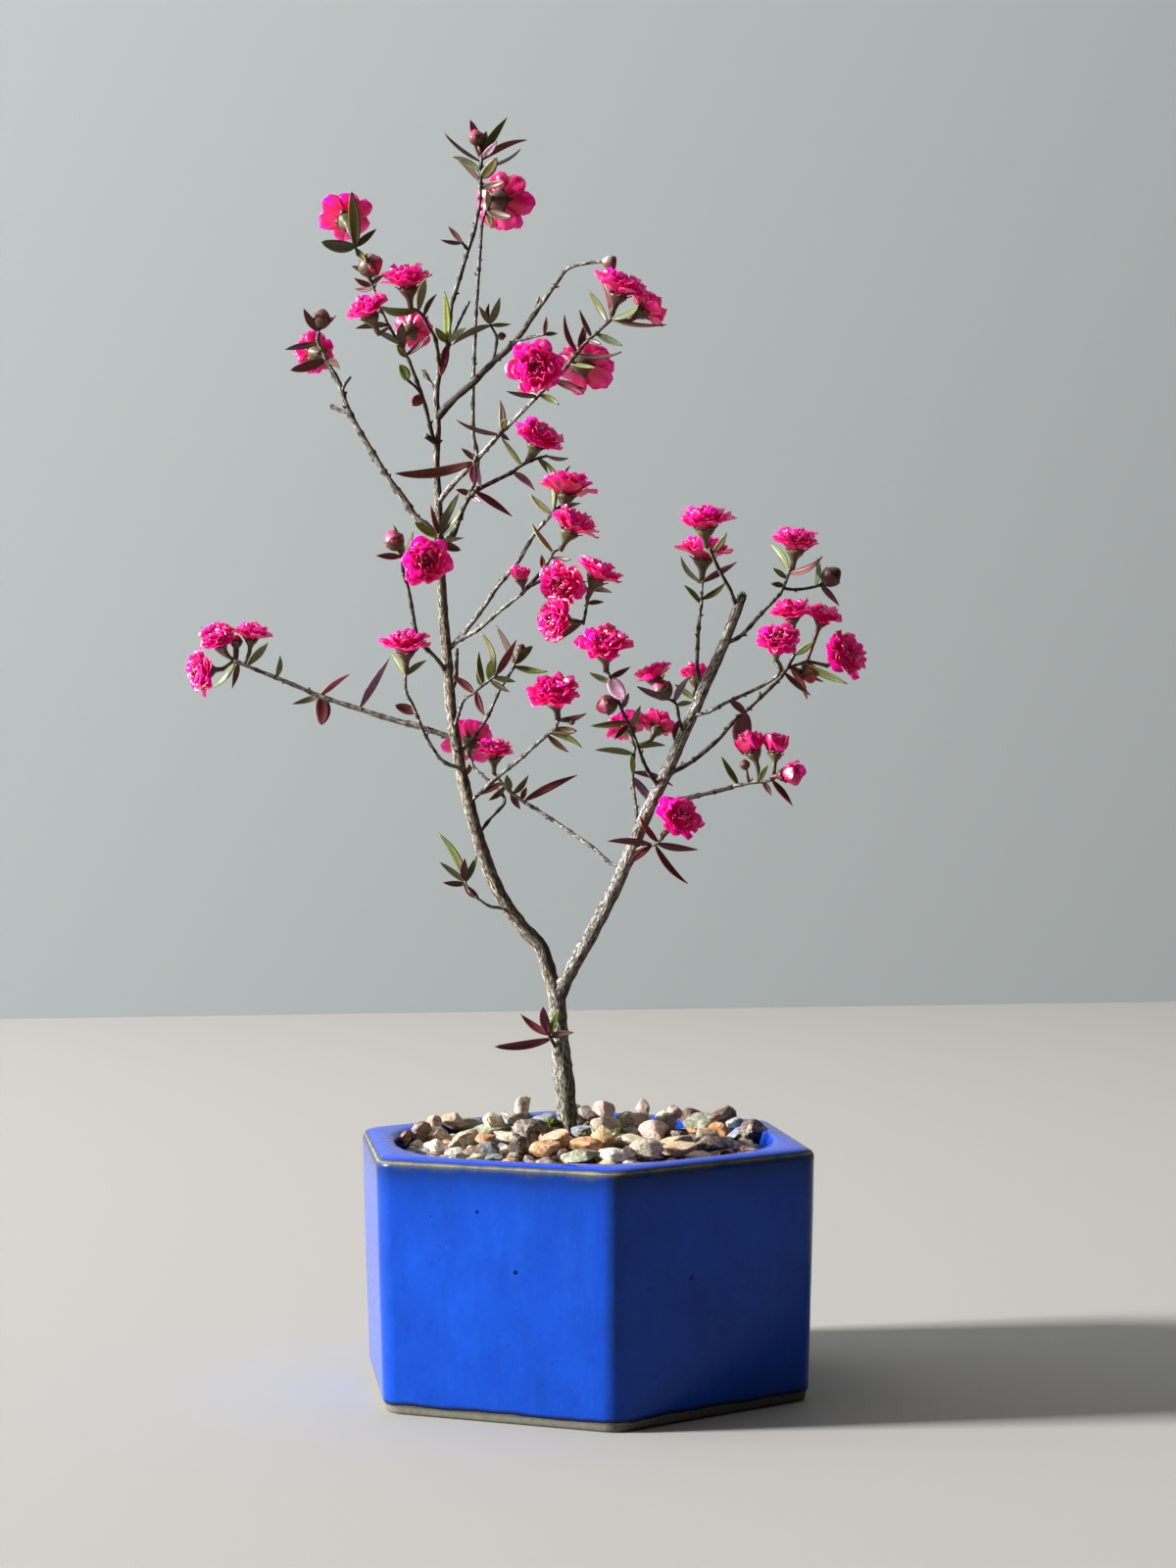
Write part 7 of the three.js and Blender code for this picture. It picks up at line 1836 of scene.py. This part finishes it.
def make_pot():
    """The glazed body, with both drain holes cut."""
    bm = bmesh.new()
    layer = colour_layer(bm, "glaze")

    def lay(v, row, near):
        _, height, _, broken = POT_PROFILE[row]
        corner = max(0, near - 0.5) * 2 * smooth((height - 4) / 30) * 0.6 if row <= LIP_START else 0
        # The third share marks the lip's top, which the glaze paints lighter: painted light.
        v[layer] = (broken, corner, 1 if LIP_START <= row < LIP_END else 0, 1)

    hexagon_body(bm, [row[:3] for row in POT_PROFILE], lay)
    pot = finish_piece("glazed_pot", bm, [glaze_material()], ["pot"], POT_PLACE)
    for x in (-DRAIN_OFFSET, DRAIN_OFFSET):
        bm = bmesh.new()
        bmesh.ops.create_cone(
            bm, cap_ends=True, segments=48, radius1=DRAIN_RADIUS, radius2=DRAIN_RADIUS, depth=3 * POT_FLOOR,
        )
        bmesh.ops.transform(bm, matrix=POT_PLACE @ Matrix.Translation((x, 0, POT_FLOOR / 2)), verts=bm.verts)
        cutter_mesh = bpy.data.meshes.new("drain")
        bm.to_mesh(cutter_mesh)
        bm.free()
        cutter = bpy.data.objects.new("drain", cutter_mesh)
        bpy.context.scene.collection.objects.link(cutter)
        cut = pot.modifiers.new("drain", "BOOLEAN")
        cut.operation = "DIFFERENCE"
        cut.solver = "EXACT"
        cut.object = cutter
        with bpy.context.temp_override(object=pot):
            bpy.ops.object.modifier_apply(modifier="drain")
        bpy.data.objects.remove(cutter)
        bpy.data.meshes.remove(cutter_mesh)
    pot.data.set_sharp_from_angle(angle=math.radians(50))


make_pot()

# Soil, drain screen, grit, moss and pebbles.


def soil_material():
    """Dark lumpy potting soil."""
    material, tree, shader = new_material("potting_mix", 0.95, 0.2)
    where = object_place(tree)
    lumps = add_node(tree, "ShaderNodeTexVoronoi", {"Vector": where, "Scale": 380.0}).outputs["Distance"]
    fine = grain(tree, where, 700, 5, 0.7)
    body = ramp(tree, fine, [
        (0.3, colour(30, 24, 20)), (0.55, colour(72, 58, 46)), (0.75, colour(128, 110, 88)),
    ])
    paint(tree, shader, body)
    relief(tree, shader, plus(tree, lumps, fine), 1.0, 0.0015)
    return material


def stone_material():
    """Stones with speckles and faint bands. The stone attribute holds their colour and their speckling."""
    material, tree, shader = new_material("pebble", 0.5, 0.45)
    where = attribute(tree, "spot", "Vector")
    tint = attribute(tree, "stone")
    speckling = attribute(tree, "stone", "Alpha")
    cloud = grain(tree, where, 0.4, 5, 0.65)
    bands = grain(tree, where, 0.5, 4, 0.6, (0.35, 0.35, 2.2))
    specks = grain(tree, where, 1.9, 3, 0.6)
    dark = mix(tree, 1.0, tint, (0.3, 0.25, 0.22, 1), "MULTIPLY")
    pale = mix(tree, 0.5, tint, colour(248, 240, 224))
    body = patch(tree, tint, pale, cloud, 0.45, 0.62, 0.8)
    body = patch(tree, body, dark, bands, 0.56, 0.68, 0.6)
    body = patch(tree, mix(tree, 0.5, tint, colour(168, 104, 54)), body, cloud, 0.34, 0.44, 1.0)
    body = mix(tree, times(tree, ramp(tree, specks, [(0.54, 0.0), (0.62, 1.0)]), speckling), body, dark)
    paint(tree, shader, body)
    bumps = plus(tree, times(tree, cloud, 1.4), times(tree, specks, 0.7))
    relief(tree, shader, bumps, 0.8, 0.0014)
    return material


# The drain screen's size, the size of its meshes and the thickness of its strands.
SCREEN_LENGTH = 68
SCREEN_WIDTH = 20
SCREEN_CELL = 2
STRAND = 0.6


def make_screen():
    """A lattice over both drain holes."""
    bm = bmesh.new()
    grid = bmesh.ops.create_grid(
        bm, x_segments=SCREEN_LENGTH // SCREEN_CELL, y_segments=SCREEN_WIDTH // SCREEN_CELL, size=0.5,
    )["verts"]
    bmesh.ops.scale(bm, vec=(SCREEN_LENGTH, SCREEN_WIDTH, 1), verts=grid)
    bmesh.ops.wireframe(
        bm, faces=bm.faces, thickness=STRAND, use_boundary=True, use_replace=True, use_even_offset=True,
    )
    middle = POT_FLOOR + GAP + 0.4
    bmesh.ops.translate(bm, vec=(0, 0, middle), verts=bm.verts)
    strand = grainy_material("mesh_strand", 0.6, 0.4, 900, 3, 0.55, [
        (0.35, colour(34, 36, 36)), (0.65, colour(58, 60, 58)),
    ])
    finish_piece("screen_lattice", bm, [strand], ["drain_screen"], POT_PLACE)


make_screen()

# Height of the mound's foot, how far it rises and how far it reaches from the axis.
MOUND_FOOT = 72.3
MOUND_RISE = 8.2
MOUND_REACH = 62
# Seen stones are looked for from this depth on, in these steps, no further than this from the axis.
FIRST_DEPTH = -54
DEPTH_STEP = 0.5
DEPTH_STEPS = 200
STONE_REACH = 57


def mound(x, y):
    """Height of the pebbles' middles over a place in the pot."""
    return MOUND_FOOT + MOUND_RISE * smooth(1 - math.hypot(x, y) / MOUND_REACH)


def rest_on_mound(across, up):
    """The place on the mound that is seen at across and up, or the nearest to it on the line of sight."""
    best = None
    for step in range(DEPTH_STEPS):
        place = seen(across, up, FIRST_DEPTH + DEPTH_STEP * step)
        if math.hypot(place.x, place.y) > STONE_REACH:
            continue
        gap = place.z - mound(place.x, place.y)
        if gap <= 0:
            return place
        if best is None or gap < best[0]:
            best = (gap, place)
    return best[1]


STONE_TINTS = {
    "white": (244, 238, 226), "cream": (240, 222, 188), "pale": (228, 210, 176), "tan": (198, 170, 132),
    "peach": (230, 186, 148), "orange": (208, 144, 88), "amber": (228, 184, 112), "red": (126, 72, 54),
    "pink": (222, 186, 168), "mauve": (128, 102, 96), "brown": (100, 76, 58), "dark": (58, 52, 48),
    "slate": (98, 106, 112), "blue": (142, 154, 166), "grey": (146, 142, 134), "green": (128, 134, 110),
    "purple": (78, 58, 56), "sand": (200, 186, 156),
}
# Stones that are seen: tint, across, up, width and height in millimetres.
SEEN_STONES = [
    ("white", -44.7, 73.1, 5.2, 3.9), ("slate", -29.2, 72.9, 6.1, 3.5), ("dark", -19.6, 73.6, 6.1, 4.3),
    ("orange", -11.9, 72.5, 8.6, 4.8), ("peach", -8.4, 75.3, 9.5, 4.8), ("orange", 1.1, 73.8, 8.2, 4.3),
    ("green", -0.2, 71.0, 11.2, 2.6), ("white", 8.9, 71.0, 7.8, 3.0), ("cream", 13.6, 71.4, 5.2, 3.5),
    ("cream", 20.1, 71.8, 9.5, 4.8), ("tan", 29.6, 72.3, 9.5, 3.9), ("dark", 40.0, 73.6, 11.2, 3.9),
    ("blue", 49.5, 75.7, 8.2, 5.2), ("brown", 53.4, 77.5, 7.8, 5.2), ("red", -55.1, 75.7, 3.9, 3.5),
    ("mauve", -49.9, 77.0, 6.9, 5.2), ("pale", -45.6, 75.6, 9.1, 4.8), ("sand", -36.9, 75.0, 8.2, 6.9),
    ("orange", -30.0, 75.7, 5.2, 3.9), ("green", -28.3, 77.9, 11.2, 3.5),
    ("pale", -22.7, 76.2, 6.1, 3.0), ("purple", -16.6, 77.9, 10.4, 7.8),
    ("cream", -7.1, 77.0, 3.5, 2.6), ("blue", -0.6, 77.5, 5.6, 3.9), ("amber", 6.7, 75.3, 6.5, 5.2),
    ("cream", 15.2, 75.0, 8.6, 3.9), ("pink", 22.3, 77.5, 7.8, 5.6), ("brown", 29.2, 76.2, 7.8, 3.0),
    ("tan", 29.2, 74.4, 10.4, 3.0), ("tan", 38.7, 75.7, 7.8, 4.3), ("orange", 42.6, 77.9, 6.1, 3.9),
    ("pink", -45.6, 79.6, 4.3, 3.9), ("tan", -40.4, 80.9, 7.8, 4.3), ("green", -36.5, 79.6, 11.2, 2.6),
    ("cream", -27.9, 80.5, 6.9, 3.9), ("grey", -20.9, 82.2, 8.6, 3.9), ("cream", -18.2, 84.8, 4.4, 6.6),
    ("blue", -11.9, 81.4, 7.8, 2.6), ("grey", -2.8, 81.4, 7.3, 6.5), ("mauve", 1.5, 83.1, 6.9, 3.9),
    ("pink", 6.3, 83.9, 6.5, 4.3), ("sand", 8.5, 79.6, 9.5, 4.3), ("cream", 13.6, 80.9, 6.1, 4.3),
    ("cream", 17.5, 80.9, 6.9, 4.3), ("pink", 18.4, 84.8, 3.9, 3.9), ("sand", 26.6, 80.1, 7.3, 5.6),
    ("pink", 28.3, 83.3, 4.3, 3.5), ("brown", 33.1, 81.4, 6.9, 3.9), ("green", 36.5, 79.2, 9.5, 5.2),
    ("brown", 43.0, 82.2, 7.3, 4.3), ("blue", 46.9, 79.6, 5.2, 2.6),
]
SMALL_STONES = 300
STONE_CUTS = 11


def add_stone(bm, layers, middle, size, turn, tint, draw, detail):
    """A worn stone: a ball cut by a few planes and rounded again."""
    ball = bmesh.ops.create_icosphere(bm, subdivisions=detail, radius=1)["verts"]
    cuts = []
    for _ in range(STONE_CUTS):
        normal = Vector((draw() - 0.5, draw() - 0.5, draw() - 0.5)).normalized()
        cuts.append((normal, 0.5 + 0.36 * draw()))
    shift = drawn_vector(draw, 90)
    speckled = draw()
    lit = 0.8 + 0.4 * draw()
    for v in ball:
        point = v.co.copy()
        for normal, reach in cuts:
            over = point.dot(normal) - reach
            if over > 0:
                point -= normal * (over * 0.96)
        point *= 1.16 + 0.12 * noise.noise(point * 1.6 + shift) + 0.05 * noise.noise(point * 5 + shift)
        point = Vector((point.x * size[0], point.y * size[1], point.z * size[2]))
        v[layers["spot"]] = point + shift
        v[layers["stone"]] = (tint[0] * lit, tint[1] * lit, tint[2] * lit, speckled)
        v.co = turn @ point + middle


def add_seen_stones(bm, layers, draw):
    """Stones where the photograph has them, and the places and lengths that they take."""
    placed = []
    for name, across, up, width, height in SEEN_STONES:
        middle = rest_on_mound(across, up)
        scale = 1 + middle.y / VIEW_DISTANCE
        half = width * scale / 2
        tall = height * scale / 2
        deep = half * (0.75 + 0.3 * draw())
        turn = Matrix.Rotation((draw() - 0.5) * 0.35, 3, "Y") @ Matrix.Rotation((draw() - 0.5) * 0.5, 3, "X")
        size = (half * 1.12, deep, tall * 1.25)
        add_stone(bm, layers, middle, size, turn, colour(*STONE_TINTS[name]), draw, 3)
        placed.append((middle, max(half, deep)))
    return placed


def add_small_stones(bm, layers, placed, draw):
    """Small stones spread in a spiral over the mouth, where the others leave room."""
    names = list(STONE_TINTS)
    reach = MOUTH_CORNER * math.cos(math.pi / 6)
    for i in range(SMALL_STONES):
        share = math.sqrt((i + 0.5) / SMALL_STONES)
        angle = i * math.pi * (3 - math.sqrt(5))
        length = 2.4 + 2.4 * draw()
        edge = min(reach / math.cos(angle % (math.pi / 3) - math.pi / 6), reach + 1.2)
        distance = min(share * edge, edge - length - 0.6)
        x, y = distance * math.sin(angle), distance * math.cos(angle)
        middle = Vector((x, y, mound(x, y) - lerp(3.2, 1.6, smooth((y + 5) / 30))))
        size = (length, length * (0.65 + 0.3 * draw()), length * (0.45 + 0.25 * draw()))
        turn = Matrix.Rotation(draw() * math.tau, 3, "Z") @ Matrix.Rotation((draw() - 0.5) * 0.7, 3, "X")
        tint = colour(*STONE_TINTS[names[int(draw() * len(names))]])
        if all((place - middle).length > taken * 0.72 + length * 0.46 for place, taken in placed):
            add_stone(bm, layers, middle, size, turn, tint, draw, 2)
            placed.append((middle, length))


def make_gravel():
    """One piece for all the pebbles."""
    bm = bmesh.new()
    layers = {"spot": bm.verts.layers.float_vector.new("spot"), "stone": colour_layer(bm, "stone")}
    draw = random_from(STONE_SEED)
    add_small_stones(bm, layers, add_seen_stones(bm, layers, draw), draw)
    pebbles = finish_piece("pebbles", bm, [stone_material()], ["gravel"])
    pebbles.data.set_sharp_from_angle(angle=math.radians(32))


# Distance of the grit's corners from the axis, and the number of rings up to its middle.
GRIT_EDGE = 64.8
GRIT_STEPS = 16


def make_grit():
    """The bed of grit between the pebbles."""
    bm = bmesh.new()

    def rise(point, row):
        if row in (0, 1) or point.length < 1:
            return 0
        return 1.1 * noise.noise(point * 0.35) + 0.8 * noise.noise(point * 0.9)

    rows = [(0, 69, 0), (30, 68, 15), (GRIT_EDGE - 0.6, 67.6, 47)]
    for i in range(GRIT_STEPS + 1):
        share = i / GRIT_STEPS
        rows.append((GRIT_EDGE * (1 - share), 69.2 + 7.4 * smooth(share), 48 * (1 - share)))
    hexagon_body(bm, rows, rise=rise)
    finish_piece("grit", bm, [soil_material()], ["gravel"], POT_PLACE)


make_gravel()
make_grit()

# Tufts of moss: across, up and size.
MOSS = [(-9.3, 79.8, 2.3), (11.5, 77.4, 1.5), (0.7, 76.2, 1.6)]


def make_moss():
    """Small tufts of moss between the pebbles."""
    bm = bmesh.new()
    for across, up, size in MOSS:
        middle = rest_on_mound(across, up) + Vector((0, 0, 0.6))
        ball = bmesh.ops.create_icosphere(bm, subdivisions=5, radius=1)["verts"]
        for v in ball:
            bumps = 1 + 0.25 * noise.noise(v.co * 3) + 0.3 * noise.noise(v.co * 11)
            v.co = Vector((v.co.x * size, v.co.y * size * 0.8, v.co.z * size * 0.5)) * bumps + middle
    moss = grainy_material("moss", 0.95, 0.2, 1100, 5, 0.7, [
        (0.3, colour(52, 60, 26)), (0.52, colour(112, 120, 52)), (0.72, colour(172, 174, 96)),
    ], 0.0012)
    finish_piece("moss", bm, [moss], ["gravel"])


make_moss()

soil_node = frame["nodes"]["soil"]
soil_node.data.materials.clear()
soil_node.data.materials.append(soil_material())

# Stage, light and camera.

STAGE_SIZE = 6
BACKDROP_DISTANCE = 1.34


def stage_plane(name, place, shade):
    """A matt plane of the stage."""
    bm = bmesh.new()
    bmesh.ops.create_grid(bm, x_segments=1, y_segments=1, size=STAGE_SIZE, matrix=place)
    mesh = bpy.data.meshes.new(name)
    bm.to_mesh(mesh)
    bm.free()
    material, _, shader = new_material(name, 0.9, 0.1)
    shader.inputs["Base Color"].default_value = shade
    mesh.materials.append(material)
    plane = bpy.data.objects.new(name, mesh)
    bpy.context.scene.collection.objects.link(plane)


upright = Matrix.Translation((0, BACKDROP_DISTANCE, 0)) @ Matrix.Rotation(math.pi / 2, 4, "X")
stage_plane("floor", Matrix.Identity(4), colour(164, 161, 156))
stage_plane("backdrop", upright, colour(164, 170, 170))


def area_light(name, place, aim, size, power):
    """A square light that shines from its place at its aim."""
    data = bpy.data.lights.new(name, "AREA")
    data.shape = "SQUARE"
    data.size = size
    data.energy = power
    light = bpy.data.objects.new(name, data)
    light.location = place
    light.rotation_mode = "QUATERNION"
    light.rotation_quaternion = (Vector(place) - Vector(aim)).to_track_quat("Z", "Y")
    bpy.context.scene.collection.objects.link(light)


# Place, aim, size in metres and power in watts of each light.
area_light("key", (-5.4, 0, 1.93), (0, 0, 0.18), 0.75, 1160)
area_light("backdrop_light", (0, 0.5, 1.9), (0, BACKDROP_DISTANCE, 0.5), 2.0, 13.5)

world = bpy.data.worlds.new("studio")
world.use_nodes = True
sky = world.node_tree.nodes["Background"]
sky.inputs["Color"].default_value = (0.86, 0.92, 1.0, 1)
sky.inputs["Strength"].default_value = 0.026
scene = bpy.context.scene
scene.world = world
scene.view_settings.view_transform = "Standard"
scene.view_settings.look = "None"

# The photograph was taken from about half the tree's height, a little less than a metre away.
EYE = Vector((-122.4, -942.1, 196)) * MM
PAN = VIEW_TURN + math.radians(-0.13)
PITCH = math.radians(-0.66)
ROLL = math.radians(-0.2)
LENS = 70.65
SENSOR_WIDTH = 36

camera_data = bpy.data.cameras.new("camera")
camera_data.lens = LENS
camera_data.sensor_width = SENSOR_WIDTH
camera_data.sensor_fit = "AUTO"
camera_data.clip_start = 0.05
camera_data.clip_end = 50
camera = bpy.data.objects.new("camera", camera_data)
scene.collection.objects.link(camera)
scene.camera = camera
heading = Vector((-math.sin(PAN) * math.cos(PITCH), math.cos(PAN) * math.cos(PITCH), math.sin(PITCH)))
right = heading.cross(Vector((0, 0, 1))).normalized()
top = right.cross(heading)
leaning_right = right * math.cos(ROLL) + top * math.sin(ROLL)
leaning_top = heading.cross(leaning_right) * -1
camera_turn = Matrix((leaning_right, leaning_top, -heading)).transposed()
camera.matrix_world = Matrix.Translation(EYE) @ camera_turn.to_4x4()
